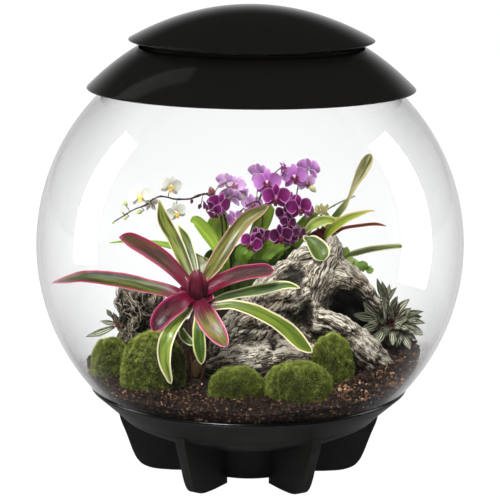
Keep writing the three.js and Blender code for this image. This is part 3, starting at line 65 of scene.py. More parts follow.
# ---------------------------------------------------------------- where everything grows
LEAVES_A = {
    "01": {"p": [[-75.6,-88.0,231.1],[-94.0,-84.0,237.1],[-114.8,-78.0,240.2],[-146.2,-68.0,244.7],[-186.9,-60.0,247.3],[-211.5,-56.0,242.7],[-227.8,-54.0,238.6]], "w": [14.9,16.2,17.6,19.0,15.3,9.0,2.1], "n": [[0.027,-0.788,0.615],[-0.05,-0.771,0.635],[-0.134,-0.75,0.648],[-0.126,-0.759,0.638],[-0.161,-0.769,0.618],[-0.238,-0.783,0.574],[-0.239,-0.791,0.563]]},
    "02": {"p": [[-69.0,-80.0,242.2],[-83.0,-74.0,256.0],[-99.2,-68.0,269.8],[-116.6,-64.0,280.5],[-137.2,-62.0,291.5],[-149.8,-62.0,294.9]], "w": [14.1,16.5,20.3,20.5,17.0,3.7], "n": [[0.1,-0.871,0.481],[0.099,-0.868,0.487],[0.104,-0.862,0.496],[0.143,-0.862,0.486],[0.163,-0.855,0.492],[0.139,-0.846,0.515]]},
    "03": {"p": [[-68.1,-74.0,252.6],[-77.6,-64.0,272.6],[-87.1,-56.0,292.0],[-99.4,-50.0,313.5],[-104.7,-47.0,336.8]], "w": [11.4,14.9,14.9,14.9,1.8], "n": [[-0.007,-0.896,0.444],[0.005,-0.909,0.418],[0.041,-0.938,0.343],[0.087,-0.97,0.229],[0.088,-0.985,0.147]]},
    "04": {"p": [[-62.5,-70.0,257.6],[-68.7,-58.0,279.7],[-74.6,-52.0,293.6],[-83.9,-50.0,308.4]], "w": [9.2,10.3,10.4,1.8], "n": [[-0.005,-0.879,0.478],[-0.001,-0.895,0.447],[0.06,-0.953,0.297],[0.124,-0.97,0.21]]},
    "05": {"p": [[-56.9,-66.0,251.0],[-58.2,-60.0,259.1],[-58.3,-56.0,267.6],[-55.0,-54.0,271.9]], "w": [17.2,25.3,23.0,10.4], "n": [[-0.019,-0.804,0.594],[0.007,-0.857,0.516],[0.05,-0.91,0.412],[0.073,-0.925,0.372]]},
    "06": {"p": [[-48.7,-74.0,252.8],[-40.9,-66.0,262.8],[-29.7,-55.0,279.4],[-17.3,-46.0,297.6],[-3.6,-42.0,313.4],[11.3,-41.0,322.7],[21.6,-41.0,328.7]], "w": [12.7,17.3,18.5,17.4,16.4,11.7,2.4], "n": [[0.117,-0.819,0.561],[0.092,-0.84,0.534],[0.048,-0.88,0.473],[-0.023,-0.928,0.372],[-0.109,-0.944,0.312],[-0.155,-0.936,0.317],[-0.178,-0.934,0.309]]},
    "07": {"p": [[-45.0,-84.0,241.0],[-31.4,-82.0,248.8],[-11.0,-78.0,255.7],[9.5,-76.0,259.0],[20.9,-76.0,259.7],[27.8,-76.0,260.3]], "w": [14.7,17.3,18.8,17.6,15.1,5.0], "n": [[-0.175,-0.838,0.517],[-0.101,-0.818,0.567],[-0.032,-0.799,0.6],[-0.025,-0.796,0.605],[-0.044,-0.795,0.605],[-0.057,-0.795,0.604]]},
    "08": {"p": [[-41.5,-84.0,225.8],[-26.8,-80.0,229.7],[-10.8,-76.0,232.5],[14.3,-70.0,236.1],[40.7,-66.0,240.7],[58.0,-64.0,237.5]], "w": [7.7,10.4,11.8,14.4,10.6,2.7], "n": [[0.021,-0.736,0.677],[0.043,-0.731,0.682],[0.071,-0.725,0.685],[0.034,-0.734,0.679],[0.079,-0.732,0.677],[0.206,-0.734,0.647]]},
    "09": {"p": [[-42.5,-92.0,221.8],[-18.6,-94.0,223.7],[5.3,-96.0,217.4],[28.1,-98.0,206.4],[45.3,-100.0,194.2],[59.0,-104.0,181.3],[71.5,-107.0,172.8]], "w": [10.1,12.5,16.1,17.2,19.3,16.8,6.1], "n": [[-0.113,-0.782,0.613],[-0.008,-0.786,0.619],[0.143,-0.807,0.573],[0.214,-0.832,0.512],[0.212,-0.859,0.466],[0.172,-0.854,0.491],[0.154,-0.838,0.524]]},
    "10": {"p": [[-54.7,-102.0,224.1],[-49.9,-112.0,216.0],[-42.9,-122.0,206.9],[-33.7,-130.0,196.2],[-24.7,-134.0,185.8]], "w": [17.2,24.0,25.2,20.7,8.0], "n": [[-0.083,-0.649,0.756],[-0.086,-0.678,0.73],[-0.05,-0.759,0.649],[0.05,-0.849,0.525],[0.125,-0.886,0.447]]},
    "11": {"p": [[-71.9,-98.0,231.1],[-82.8,-108.0,226.4],[-93.8,-116.0,218.9],[-101.4,-122.0,209.8],[-106.9,-125.0,200.1]], "w": [15.6,23.7,23.3,19.5,9.1], "n": [[0.286,-0.649,0.705],[0.207,-0.71,0.673],[0.073,-0.8,0.596],[-0.042,-0.889,0.456],[-0.098,-0.934,0.344]]},
    "12": {"p": [[-69.5,-100.0,217.6],[-79.3,-112.0,209.9],[-88.9,-124.0,198.9],[-94.3,-130.0,184.1],[-94.2,-132.0,166.1],[-89.7,-131.0,149.6],[-87.0,-130.0,141.2]], "w": [8.1,11.4,15.8,16.8,13.5,7.9,4.5], "n": [[0.284,-0.671,0.685],[0.232,-0.709,0.666],[0.084,-0.84,0.536],[0.001,-0.971,0.237],[0.103,-0.994,0.042],[0.204,-0.979,-0.019],[0.236,-0.971,-0.037]]},
    "13": {"p": [[-58.0,-104.0,210.5],[-57.2,-113.0,198.8],[-55.9,-117.0,181.2],[-54.2,-116.0,168.1],[-53.6,-114.0,159.4]], "w": [9.1,13.5,14.7,10.2,3.4], "n": [[0.007,-0.794,0.608],[0.019,-0.914,0.406],[0.049,-0.994,0.102],[0.08,-0.989,-0.128],[0.067,-0.973,-0.22]]},
    "14": {"p": [[-77.7,-92.0,194.6],[-74.1,-97.0,187.7],[-68.3,-100.0,182.6],[-62.5,-101.0,178.2]], "w": [6.9,10.3,9.2,3.5], "n": [[-0.031,-0.819,0.573],[-0.035,-0.844,0.535],[0.046,-0.898,0.437],[0.129,-0.917,0.378]]},
    "15": {"p": [[-59.6,-90.0,236.4],[-59.6,-92.0,249.6],[-58.6,-90.0,262.0]], "w": [14.8,18.1,6.8], "n": [[0.027,-0.988,-0.149],[0.017,-1.0,-0.001],[0.021,-0.987,0.158]]},
}
LEAVES_B = {
    "01": {"p": [[95.9,84.0,281.9],[104.2,86.0,293.9],[113.8,88.0,306.0],[120.9,89.0,318.2],[125.0,90.0,331.6],[131.5,91.0,343.8],[137.3,92.0,358.4],[141.3,92.0,371.3]], "w": [7.3,7.9,7.9,4.1,7.3,14.5,16.9,3.6], "n": [[-0.087,-0.971,0.221],[-0.087,-0.97,0.226],[-0.106,-0.975,0.194],[-0.115,-0.985,0.127],[-0.112,-0.986,0.123],[-0.118,-0.985,0.128],[-0.122,-0.989,0.079],[-0.126,-0.991,0.039]]},
    "02": {"p": [[90.5,64.0,270.9],[101.0,60.0,284.1],[116.3,58.0,295.6],[131.8,58.0,301.9],[143.7,58.0,305.6],[149.7,58.0,305.7]], "w": [8.0,12.1,10.9,6.8,2.8,1.7], "n": [[-0.568,-0.796,0.211],[-0.507,-0.793,0.338],[-0.349,-0.782,0.517],[-0.219,-0.769,0.6],[-0.136,-0.76,0.636],[-0.006,-0.757,0.654]]},
    "03": {"p": [[98.5,84.0,268.3],[113.1,88.0,277.6],[136.3,90.0,281.5],[153.3,90.0,283.2],[166.6,88.0,281.7]], "w": [6.1,6.5,6.7,6.8,2.0], "n": [[-0.265,-0.66,0.703],[-0.176,-0.602,0.779],[-0.086,-0.574,0.814],[-0.045,-0.57,0.82],[0.004,-0.577,0.817]]},
    "04": {"p": [[101.2,78.0,238.5],[114.6,80.0,244.4],[130.3,80.0,249.0],[147.6,78.0,253.8],[168.6,74.0,257.8],[184.0,70.0,259.9],[192.4,68.0,259.4]], "w": [6.0,7.6,9.3,9.5,7.9,6.3,1.9], "n": [[-0.214,-0.671,0.71],[-0.217,-0.656,0.723],[-0.247,-0.634,0.733],[-0.266,-0.613,0.744],[-0.257,-0.6,0.757],[-0.202,-0.601,0.773],[-0.101,-0.62,0.778]]},
    "05": {"p": [[85.4,58.0,277.0],[75.7,52.0,273.8],[64.8,46.0,269.4]], "w": [11.5,11.5,3.8], "n": [[0.234,-0.725,0.648],[0.198,-0.744,0.638],[0.166,-0.761,0.627]]},
    "06": {"p": [[84.1,52.0,268.4],[82.1,42.0,264.3],[83.8,37.0,258.0],[85.1,36.0,252.1]], "w": [14.5,16.7,14.3,4.8], "n": [[0.129,-0.4,0.907],[-0.026,-0.569,0.822],[-0.035,-0.9,0.435],[0.023,-0.985,0.172]]},
    "07": {"p": [[83.4,72.0,277.9],[73.7,74.0,281.1],[62.9,74.0,277.4]], "w": [9.6,11.2,4.1], "n": [[0.052,-0.771,0.634],[-0.091,-0.749,0.657],[-0.212,-0.768,0.604]]},
    "08": {"p": [[92.1,78.0,278.1],[100.5,80.0,287.6],[110.1,80.0,293.9]], "w": [7.5,7.6,2.6], "n": [[-0.196,-0.911,0.363],[-0.231,-0.897,0.376],[-0.262,-0.877,0.402]]},
}
LEAVES_ORCHID = {
    "01": {"p": [[-30.6,40.0,203.6],[-31.8,34.0,224.6],[-34.3,30.0,247.4],[-40.4,34.0,264.8],[-52.5,38.0,282.1],[-64.5,40.0,295.0],[-71.6,40.0,293.7]], "w": [6.0,7.2,8.4,13.2,15.8,12.3,5.0], "n": [[0.073,-0.96,-0.27],[0.089,-0.973,-0.215],[0.125,-0.992,0.027],[0.123,-0.951,0.284],[0.157,-0.937,0.311],[0.146,-0.905,0.398],[-0.081,-0.889,0.452]]},
    "02": {"p": [[-24.6,46.0,202.3],[-27.1,40.0,225.8],[-32.0,38.0,250.6],[-37.0,46.0,264.8],[-39.6,50.0,281.1],[-33.7,50.0,298.2],[-26.5,50.0,300.7]], "w": [7.2,9.6,14.4,21.6,28.8,21.6,8.4], "n": [[0.077,-0.968,-0.239],[0.089,-0.985,-0.149],[0.05,-0.985,0.164],[-0.002,-0.931,0.366],[-0.002,-0.993,0.119],[-0.128,-0.988,0.085],[-0.089,-0.963,0.254]]},
    "03": {"p": [[0.6,56.0,207.7],[-3.1,48.0,226.7],[-4.5,44.0,244.7],[4.9,58.0,268.9],[14.4,66.0,289.5],[21.4,70.0,306.0],[23.8,70.0,312.2]], "w": [6.0,7.2,9.6,15.7,20.5,16.9,6.0], "n": [[0.154,-0.921,-0.357],[0.095,-0.951,-0.295],[-0.013,-0.972,0.233],[0.049,-0.905,0.423],[0.002,-0.952,0.307],[-0.047,-0.98,0.193],[-0.106,-0.994,0.04]]},
    "04": {"p": [[10.3,46.0,207.5],[12.5,36.0,227.0],[14.7,34.0,242.1],[14.6,36.0,252.7],[24.1,40.0,260.5],[39.6,44.0,265.9],[48.1,46.0,263.1]], "w": [7.2,9.6,14.3,21.7,19.8,16.3,6.3], "n": [[-0.156,-0.885,-0.438],[-0.139,-0.941,-0.309],[-0.052,-0.999,0.004],[-0.078,-0.935,0.345],[0.018,-0.87,0.492],[0.157,-0.85,0.503],[0.332,-0.857,0.395]]},
    "05": {"p": [[37.0,66.0,208.2],[37.9,58.0,224.9],[38.9,56.0,242.6],[50.9,66.0,261.6],[64.0,72.0,280.2],[76.0,74.0,294.7],[82.0,74.0,298.4]], "w": [7.3,9.7,12.1,18.2,20.6,15.8,4.9], "n": [[-0.075,-0.9,-0.429],[-0.059,-0.959,-0.276],[-0.062,-0.97,0.234],[0.003,-0.921,0.39],[-0.073,-0.955,0.286],[-0.136,-0.961,0.239],[-0.165,-0.95,0.264]]},
    "06": {"p": [[-0.6,42.0,208.3],[-4.3,30.0,230.6],[-8.0,26.0,248.5],[-11.7,26.0,257.0],[-5.8,28.0,263.9],[7.3,30.0,267.2]], "w": [4.9,7.2,9.6,13.1,12.5,5.1], "n": [[0.263,-0.867,-0.423],[0.235,-0.917,-0.322],[0.224,-0.971,-0.085],[-0.063,-0.989,0.138],[-0.086,-0.865,0.495],[-0.009,-0.843,0.537]]},
    "07": {"p": [[-34.1,36.0,202.0],[-43.6,28.0,225.8],[-53.1,20.0,242.1],[-70.9,18.0,255.7],[-92.2,16.0,268.0],[-118.1,14.0,273.0],[-144.0,12.0,274.9],[-166.3,10.0,273.3]], "w": [4.0,5.5,7.1,8.4,8.6,6.5,3.7,2.0], "n": [[0.585,-0.81,-0.037],[0.662,-0.749,0.015],[0.619,-0.715,0.325],[0.429,-0.728,0.534],[0.298,-0.699,0.65],[0.149,-0.69,0.709],[0.063,-0.692,0.719],[0.011,-0.697,0.717]]},
}
MOSS = {
    "moss_left_small": ([-162.1,-42,128], [24.0,24.0,42.9]),
    "moss_left_large": ([-111.0,-86,128], [35.6,34,60.2]),
    "moss_centre": ([-13.3,-122,126], [32.3,27,32.4]),
    "moss_front_right": ([61.1,-122,126], [37.4,34,38.9]),
    "moss_right": ([97.6,-72,128], [24.3,24,59.8]),
}
DRIFTWOOD = {
    "body": [[-31.6,-30.0,154.6,15.2],[-10.6,-26.0,168.3,24.6],[15.0,-16.0,187.8,32.9],[45.5,-4.0,214.3,35.4],[73.9,6.0,226.8,30.8],[98.9,10.0,224.9,22.5]],
    "ledge": [[-39.5,-44.0,142.4,5.8],[-16.2,-46.0,146.8,11.7],[15.3,-48.0,151.2,15.1],[47.8,-50.0,155.6,15.1],[73.4,-50.0,155.8,9.3]],
    "branch": [[85.5,4.0,237.0,20.1],[110.1,0.0,236.9,14.1],[127.8,-4.0,227.1,10.6],[140.7,-8.0,216.1,7.1],[151.4,-10.0,205.7,3.5]],
    "stub": [[98.7,12.0,242.7,10.7],[98.5,14.0,259.2,9.5],[97.1,15.0,271.1,8.9],[95.9,16.0,278.1,5.9]],
    "leg": [[54.9,-22.0,187.2,17.6],[80.3,-34.0,192.7,12.8],[103.4,-40.0,188.4,10.5],[125.0,-36.0,168.4,11.7],[145.6,-28.0,152.0,10.6],[159.2,-22.0,140.9,7.1],[167.7,-19.0,134.1,2.9]],
    "root": [[60.0,0.0,196.5,26.0],[79.1,-6.0,167.7,23.7],[86.5,-10.0,143.2,23.7]],
    "back": [[59.9,12.0,218.1,26.1],[82.2,34.0,201.1,24.0],[87.9,46.0,167.4,21.7]],
}
ROOT_CLUMP = {
    "a": [[-117.8,6.0,205.7,16.6],[-131.9,4.0,193.9,22.5],[-136.5,0.0,176.5,17.8],[-139.8,-4.0,159.2,9.5],[-140.8,-8.0,148.0,4.7]],
    "b": [[-129.7,8.0,199.0,20.2],[-143.8,6.0,207.9,15.4],[-146.2,6.0,216.4,9.5]],
    "c": [[-136.9,8.0,174.6,15.5],[-130.2,14.0,152.3,17.9],[-123.2,18.0,139.1,16.8]],
}
SPRAYS = {
    "orchid_spray_white": {
        "stem": [[-22.2,48.0,196.9,1.7],[-25.9,42.0,229.0,1.65],[-30.3,40.0,253.9,1.6],[-32.1,38.0,272.6,1.55],[-34.0,37.0,294.6,1.5],[-40.7,37.0,317.5,1.45],[-52.6,37.0,328.3,1.4],[-64.5,37.0,324.6,1.35],[-74.0,37.0,322.1,1.3],[-89.5,37.0,321.9,1.25],[-99.0,37.0,324.3,1.2],[-108.5,37.0,324.8,1.15],[-116.7,36.0,320.7,1.1],[-125.0,35.0,314.7,1.05],[-141.6,34.0,307.5,1.0],[-157.0,33.0,297.9,0.95],[-164.2,33.0,293.0,0.9]],
        # centre, size, facing, roll, kind, tone
        "flowers": [
            ([-130.7,30.0,326.4], 27, [-0.146,-0.97,0.194], 10, "w", 0.5),
            ([-94.5,30.0,338.8], 26, [0.241,-0.966,0.097], -15, "w", 0.5),
            ([-88.1,32.0,307.2], 24, [0.099,-0.99,-0.099], 20, "w", 0.5),
            ([-118.3,44.0,314.4], 20, [-0.598,0.717,0.359], 0, "w", 0.5),
        ],
        "buds": [
            ([-148.6,33.0,316.7], 7.5, [-0.406,0.0,0.914], 0.45),
            ([-132.1,34.0,306.4], 8, [-0.949,0.0,-0.316], 0.6),
            ([-148.6,32.0,299.4], 6, [-0.848,0.0,-0.53], 0.35),
            ([-152.4,35.0,306.0], 4.5, [-0.53,0.0,0.848], 0.5),
            ([-163.0,33.0,293.6], 4, [-0.707,0.0,-0.707], 0.2),
        ],
    },
    "orchid_spray_purple_left": {
        "stem": [[-19.9,58.0,194.6,1.7],[-22.5,52.0,233.0,1.59],[-26.2,48.0,264.5,1.47],[-29.4,46.0,292.9,1.36],[-33.7,45.0,310.1,1.24],[-40.9,45.0,322.1,1.13],[-49.3,45.0,328.1,1.01],[-56.4,45.0,326.2,0.9]],
        # centre, size, facing, roll, kind, tone
        "flowers": [
            ([-37.1,36.0,316.5], 29, [0.329,-0.94,0.094], -20, "p", 0.25),
            ([-41.7,30.0,307.3], 22, [-0.259,-0.864,-0.432], 40, "p", 0.2),
            ([-23.1,50.0,322.6], 29, [0.289,0.867,0.405], 0, "l", 0.9),
            ([-50.1,34.0,314.4], 19, [-0.74,-0.647,-0.185], 0, "d", 0.1),
        ],
        "buds": [
            ([-46.2,42.0,330.5], 13, [-0.351,0.0,0.936], 0.3),
            ([-70.0,42.0,318.2], 6, [-0.196,0.0,-0.981], 0.1),
            ([-60.4,42.0,312.2], 7, [-0.406,0.0,-0.914], 0.1),
        ],
    },
    "orchid_spray_purple_mid": {
        "stem": [[10.4,50.0,196.7,1.8],[7.7,44.0,222.7,1.69],[6.3,40.0,245.7,1.57],[9.7,38.0,265.6,1.46],[14.3,40.0,287.2,1.35],[14.1,44.0,305.9,1.24],[9.2,46.0,317.6,1.12],[-2.7,48.0,313.5,1.01],[-12.2,50.0,304.5,0.9]],
        # centre, size, facing, roll, kind, tone
        "flowers": [
            ([19.7,42.0,342.5], 33, [-0.098,-0.984,0.148], 5, "m", 0.6),
            ([2.1,52.0,314.0], 26, [0.192,-0.962,0.192], 0, "l", 0.8),
            ([-18.1,50.0,295.9], 25, [0.272,-0.908,0.318], 20, "l", 0.55),
            ([1.3,28.0,271.2], 27, [-0.148,-0.984,0.098], -25, "p", 0.2),
            ([15.5,31.0,278.6], 22, [0.195,-0.976,0.098], 15, "d", 0.15),
        ],
        "buds": [
            ([38.5,44.0,361.0], 13, [0.1,0.0,0.995], 0.5),
            ([-9.9,52.0,323.6], 9, [-0.287,0.0,0.958], 0.9),
        ],
    },
    "orchid_spray_purple_right": {
        "stem": [[39.4,56.0,195.6,1.8],[41.4,50.0,221.7,1.67],[42.3,46.0,244.7,1.54],[42.0,42.0,265.1,1.41],[45.4,44.0,286.7,1.29],[50.0,50.0,305.1,1.16],[54.7,56.0,321.0,1.03],[57.0,60.0,334.9,0.9]],
        # centre, size, facing, roll, kind, tone
        "flowers": [
            ([51.9,50.0,348.1], 32, [0.097,-0.966,0.241], 5, "m", 0.65),
            ([69.2,58.0,356.6], 31, [0.466,0.828,0.311], 0, "l", 0.6),
            ([30.5,34.0,325.9], 33, [-0.05,-0.998,-0.05], -3, "p", 0.45),
            ([58.0,36.0,313.2], 31, [0.196,-0.979,-0.049], 10, "p", 0.4),
            ([41.5,40.0,304.4], 24, [-0.192,-0.962,-0.192], -8, "d", 0.35),
            ([36.9,27.0,280.2], 29, [-0.196,-0.981,0.0], 10, "d", 0.2),
            ([45.1,36.0,294.3], 21, [0.282,-0.941,0.188], -10, "d", 0.2),
            ([58.4,38.0,281.9], 20, [0.447,-0.894,0.0], 0, "d", 0.1),
        ],
        "buds": [
            ([74.7,50.0,333.2], 11, [0.707,0.0,-0.707], 0.85),
            ([67.7,40.0,304.6], 10, [0.555,0.0,-0.832], 0.2),
        ],
    },
    "orchid_spray_yellow": {
        "stem": [[81.3,100.0,233.7,1.4],[83.2,98.0,261.7,1.32],[82.8,96.0,284.4,1.23],[88.7,95.0,295.8,1.15],[99.6,95.0,304.0,1.07],[114.0,95.0,311.5,0.98],[126.1,95.0,316.6,0.9]],
        # centre, size, facing, roll, kind, tone
        "flowers": [
            ([86.0,88.0,300.8], 17, [-0.286,-0.953,0.095], 0, "y", 0.5),
        ],
        "buds": [
            ([93.5,92.0,295.2], 7, [0.857,0.0,-0.514], 0.5),
            ([93.5,95.0,304.5], 6.5, [0.351,0.0,0.936], 0.5),
            ([126.7,95.0,317.2], 3.2, [0.914,0.0,0.406], 0.1),
        ],
    },
}
CREEPER = {
    "stems": [
        [[106.2,40.0,212.2,1.2],[109.6,42.0,230.2,1.1],[113.0,44.0,245.8,1.0],[122.5,44.0,250.8,0.9],[132.1,42.0,245.1,0.8],[141.7,40.0,239.5,0.7]],
    ],
    "leaves": [
        {"p": [[113.5,44.0,253.1],[115.2,44.0,259.3],[116.3,44.0,262.9]], "w": [3.0,7.8,3.0], "n": [[-0.204,-0.977,0.056],[-0.209,-0.976,0.06],[-0.218,-0.974,0.067]]},
        {"p": [[120.1,42.0,247.5],[123.6,40.0,244.3],[127.3,39.0,239.6]], "w": [3.7,10.5,3.7], "n": [[-0.013,-0.856,0.518],[0.08,-0.905,0.418],[0.152,-0.935,0.32]]},
        {"p": [[122.3,40.0,252.2],[118.7,38.0,247.1],[114.0,38.0,244.6]], "w": [3.7,8.7,3.8], "n": [[-0.122,-0.892,0.435],[-0.178,-0.886,0.428],[-0.238,-0.859,0.454]]},
        {"p": [[132.6,41.0,247.2],[134.3,38.0,243.6],[135.7,38.0,236.2]], "w": [4.2,11.4,4.2], "n": [[-0.078,-0.786,0.613],[0.035,-0.961,0.273],[0.061,-0.998,0.011]]},
        {"p": [[139.3,40.0,240.1],[143.4,38.0,238.1],[147.6,38.0,239.4]], "w": [3.8,9.0,3.8], "n": [[-0.114,-0.808,0.578],[-0.149,-0.817,0.557],[-0.157,-0.842,0.517]]},
    ],
}
PEPEROMIA_RIGHT = {
    "stems": [
        [[162.4,30.0,138.6,2.4],[166.8,28.0,154.0,2.1],[173.4,26.0,171.8,1.8]],
        [[173.4,26.0,171.8,1.6],[161.1,24.0,182.0,1.3],[151.3,22.0,189.7,1.0]],
        [[173.4,26.0,171.8,1.6],[170.6,26.0,189.0,1.3],[163.3,28.0,203.2,1.0]],
        [[173.4,26.0,171.8,1.6],[185.1,24.0,177.3,1.3],[194.5,22.0,180.3,1.0]],
    ],
    "leaves": [
        {"p": [[163.2,26.0,201.2],[156.4,26.0,215.4],[151.8,26.0,230.4]], "w": [3.3,7.2,1.2], "n": [[0.202,-0.975,0.097],[0.165,-0.984,0.064],[0.123,-0.992,0.037]]},
        {"p": [[165.6,26.5,203.5],[160.9,27.2,214.7],[158.0,28.0,226.4]], "w": [3.5,7.8,1.2], "n": [[0.148,-0.981,0.128],[0.112,-0.988,0.102],[0.072,-0.994,0.082]]},
        {"p": [[165.7,27.0,198.5],[165.8,28.5,210.5],[167.8,30.0,222.4]], "w": [3.2,7.2,1.1], "n": [[-0.067,-0.99,0.122],[-0.105,-0.986,0.133],[-0.141,-0.979,0.15]]},
        {"p": [[170.6,25.0,189.2],[173.1,23.5,199.7],[177.1,22.0,209.6]], "w": [3.8,8.4,1.4], "n": [[-0.266,-0.961,-0.073],[-0.315,-0.948,-0.039],[-0.358,-0.934,0.002]]},
        {"p": [[175.5,26.0,184.1],[182.8,26.0,195.3],[191.8,26.0,205.1]], "w": [4.4,9.8,1.6], "n": [[-0.332,-0.918,0.216],[-0.338,-0.904,0.261],[-0.335,-0.891,0.306]]},
        {"p": [[180.4,26.5,181.6],[195.0,27.2,186.4],[210.3,28.0,188.9]], "w": [3.4,7.6,1.2], "n": [[-0.137,-0.832,0.538],[-0.093,-0.828,0.553],[-0.048,-0.825,0.563]]},
        {"p": [[185.2,25.0,177.1],[198.9,23.5,177.4],[212.5,22.0,175.6]], "w": [4.0,8.9,1.4], "n": [[-0.104,-0.821,0.562],[-0.06,-0.825,0.562],[-0.016,-0.831,0.556]]},
        {"p": [[185.3,24.5,172.3],[198.1,22.3,169.0],[210.3,20.0,163.7]], "w": [3.7,8.3,1.3], "n": [[-0.006,-0.835,0.55],[0.03,-0.845,0.534],[0.063,-0.856,0.513]]},
        {"p": [[180.6,24.0,167.4],[191.8,21.0,162.3],[201.9,18.0,155.5]], "w": [3.7,8.2,1.3], "n": [[0.016,-0.847,0.532],[0.042,-0.859,0.511],[0.065,-0.872,0.486]]},
        {"p": [[175.8,23.5,165.0],[180.1,19.8,156.4],[182.9,16.0,147.3]], "w": [3.8,8.4,1.3], "n": [[0.025,-0.914,0.405],[0.012,-0.92,0.393],[-0.003,-0.924,0.382]]},
        {"p": [[166.1,23.0,167.5],[167.5,18.6,157.6],[167.2,14.0,147.6]], "w": [4.3,9.5,1.5], "n": [[-0.034,-0.914,0.404],[-0.049,-0.911,0.409],[-0.063,-0.907,0.416]]},
        {"p": [[153.9,25.5,186.5],[143.4,24.8,195.6],[134.3,24.0,206.3]], "w": [5.1,11.2,1.8], "n": [[0.321,-0.899,0.299],[0.323,-0.913,0.251],[0.317,-0.927,0.202]]},
        {"p": [[151.6,25.0,184.1],[136.9,23.5,185.6],[122.6,22.0,189.5]], "w": [4.6,10.2,1.6], "n": [[0.139,-0.823,0.551],[0.184,-0.826,0.533],[0.226,-0.831,0.508]]},
        {"p": [[161.1,24.0,182.0],[153.7,21.0,194.4],[148.3,18.0,207.8]], "w": [4.4,9.8,1.6], "n": [[0.373,-0.928,0.0],[0.334,-0.941,-0.053],[0.284,-0.953,-0.101]]},
        {"p": [[156.4,23.5,177.2],[144.5,19.8,173.9],[132.2,16.0,172.6]], "w": [4.6,10.2,1.6], "n": [[0.08,-0.792,0.605],[0.129,-0.784,0.607],[0.177,-0.778,0.603]]},
        {"p": [[168.3,22.5,175.0],[158.0,17.3,168.0],[146.5,12.0,162.7]], "w": [4.5,10.0,1.6], "n": [[-0.008,-0.802,0.598],[0.03,-0.787,0.616],[0.07,-0.775,0.628]]},
        {"p": [[177.9,23.5,177.3],[185.1,19.8,187.6],[193.6,16.0,196.4]], "w": [4.5,10.0,1.6], "n": [[-0.541,-0.838,0.077],[-0.555,-0.821,0.134],[-0.559,-0.807,0.192]]},
        {"p": [[170.6,22.5,182.4],[165.7,17.3,193.1],[162.3,12.0,204.4]], "w": [3.9,8.6,1.4], "n": [[0.448,-0.868,-0.214],[0.384,-0.881,-0.276],[0.305,-0.893,-0.33]]},
        {"p": [[175.5,21.5,172.9],[183.6,14.8,172.8],[191.3,8.0,171.4]], "w": [4.7,10.3,1.6], "n": [[-0.483,-0.594,0.644],[-0.448,-0.597,0.666],[-0.412,-0.603,0.683]]},
        {"p": [[149.1,27.5,193.3],[141.8,29.7,207.0],[136.8,32.0,221.6]], "w": [3.8,8.5,1.3], "n": [[0.144,-0.962,0.233],[0.12,-0.971,0.207],[0.092,-0.979,0.184]]},
        {"p": [[158.7,28.0,195.8],[150.2,31.0,203.6],[143.1,34.0,212.7]], "w": [3.9,8.6,1.4], "n": [[0.089,-0.896,0.436],[0.094,-0.908,0.409],[0.095,-0.919,0.382]]},
    ],
}
PEPEROMIA_LEFT = {
    "stems": [
        [[-133.8,-6.0,145.1,1.8],[-143.0,-10.0,163.1,1.45],[-154.5,-14.0,179.7,1.1]],
        [[-154.5,-14.0,179.7,1.1],[-159.2,-14.0,184.5,0.95],[-164.0,-12.0,192.5,0.8]],
    ],
    "leaves": [
        {"p": [[-159.2,-15.0,177.5],[-175.7,-16.5,170.3],[-193.2,-18.0,165.8]], "w": [3.9,8.8,1.4], "n": [[-0.139,-0.86,0.492],[-0.103,-0.849,0.518],[-0.064,-0.84,0.54]]},
        {"p": [[-156.9,-13.5,180.8],[-166.8,-12.8,181.6],[-176.4,-12.0,183.9]], "w": [2.8,6.3,1.0], "n": [[-0.018,-0.821,0.571],[0.027,-0.822,0.569],[0.071,-0.825,0.56]]},
        {"p": [[-161.6,-13.5,189.2],[-165.5,-12.8,193.6],[-168.7,-12.0,198.5]], "w": [2.5,5.4,0.9], "n": [[0.246,-0.893,0.376],[0.251,-0.906,0.34],[0.249,-0.92,0.303]]},
        {"p": [[-154.6,-13.0,179.5],[-158.2,-11.5,186.7],[-160.6,-10.0,194.5]], "w": [3.2,7.1,1.1], "n": [[0.208,-0.933,0.294],[0.192,-0.945,0.266],[0.171,-0.955,0.241]]},
        {"p": [[-149.7,-15.5,174.1],[-152.6,-17.7,167.1],[-156.6,-20.0,160.6]], "w": [2.7,6.0,1.0], "n": [[-0.056,-0.946,0.321],[-0.068,-0.935,0.347],[-0.077,-0.924,0.374]]},
    ],
}

# ---------------------------------------------------------------- noise
_grad = np.random.default_rng(7).normal(size=(256, 3))
_grad /= np.linalg.norm(_grad, axis=1)[:, None]


def _lattice(i, seed):
    n = (i[..., 0] * 374761393 + i[..., 1] * 668265263 + i[..., 2] * 1274126177 + seed * 974634777) & 0xFFFFFFFF
    n = ((n ^ (n >> 13)) * 1274126177) & 0xFFFFFFFF
    return _grad[(n ^ (n >> 16)) & 255]


def noise(p, seed=0):
    """Smooth noise from about -1 to 1 at points p (n, 3)."""
    p = np.asarray(p, float)
    i = np.floor(p).astype(np.int64)
    f = p - i
    s = f * f * f * (f * (f * 6 - 15) + 10)
    total = 0
    for dx in (0, 1):
        for dy in (0, 1):
            for dz in (0, 1):
                d = np.array([dx, dy, dz])
                w = np.prod(np.where(d, s, 1 - s), axis=-1)
                total = total + w * np.sum(_lattice(i + d, seed) * (f - d), axis=-1)
    return total * 1.5


def fbm(p, octaves=4, gain=0.5, seed=0):
    total, amp = 0, 1.0
    for k in range(octaves):
        total = total + amp * noise(np.asarray(p) * (2.03**k), seed + 17 * k)
        amp *= gain
    return total


def ridged(p, octaves=3, seed=0):
    total, amp = 0, 1.0
    for k in range(octaves):
        total = total + amp * (1 - 2 * np.abs(noise(np.asarray(p) * (2.1**k), seed + 29 * k)))
        amp *= 0.5
    return total / 1.75


def smooth(a, b, x):
    t = np.clip((x - a) / (b - a), 0, 1)
    return t * t * (3 - 2 * t)


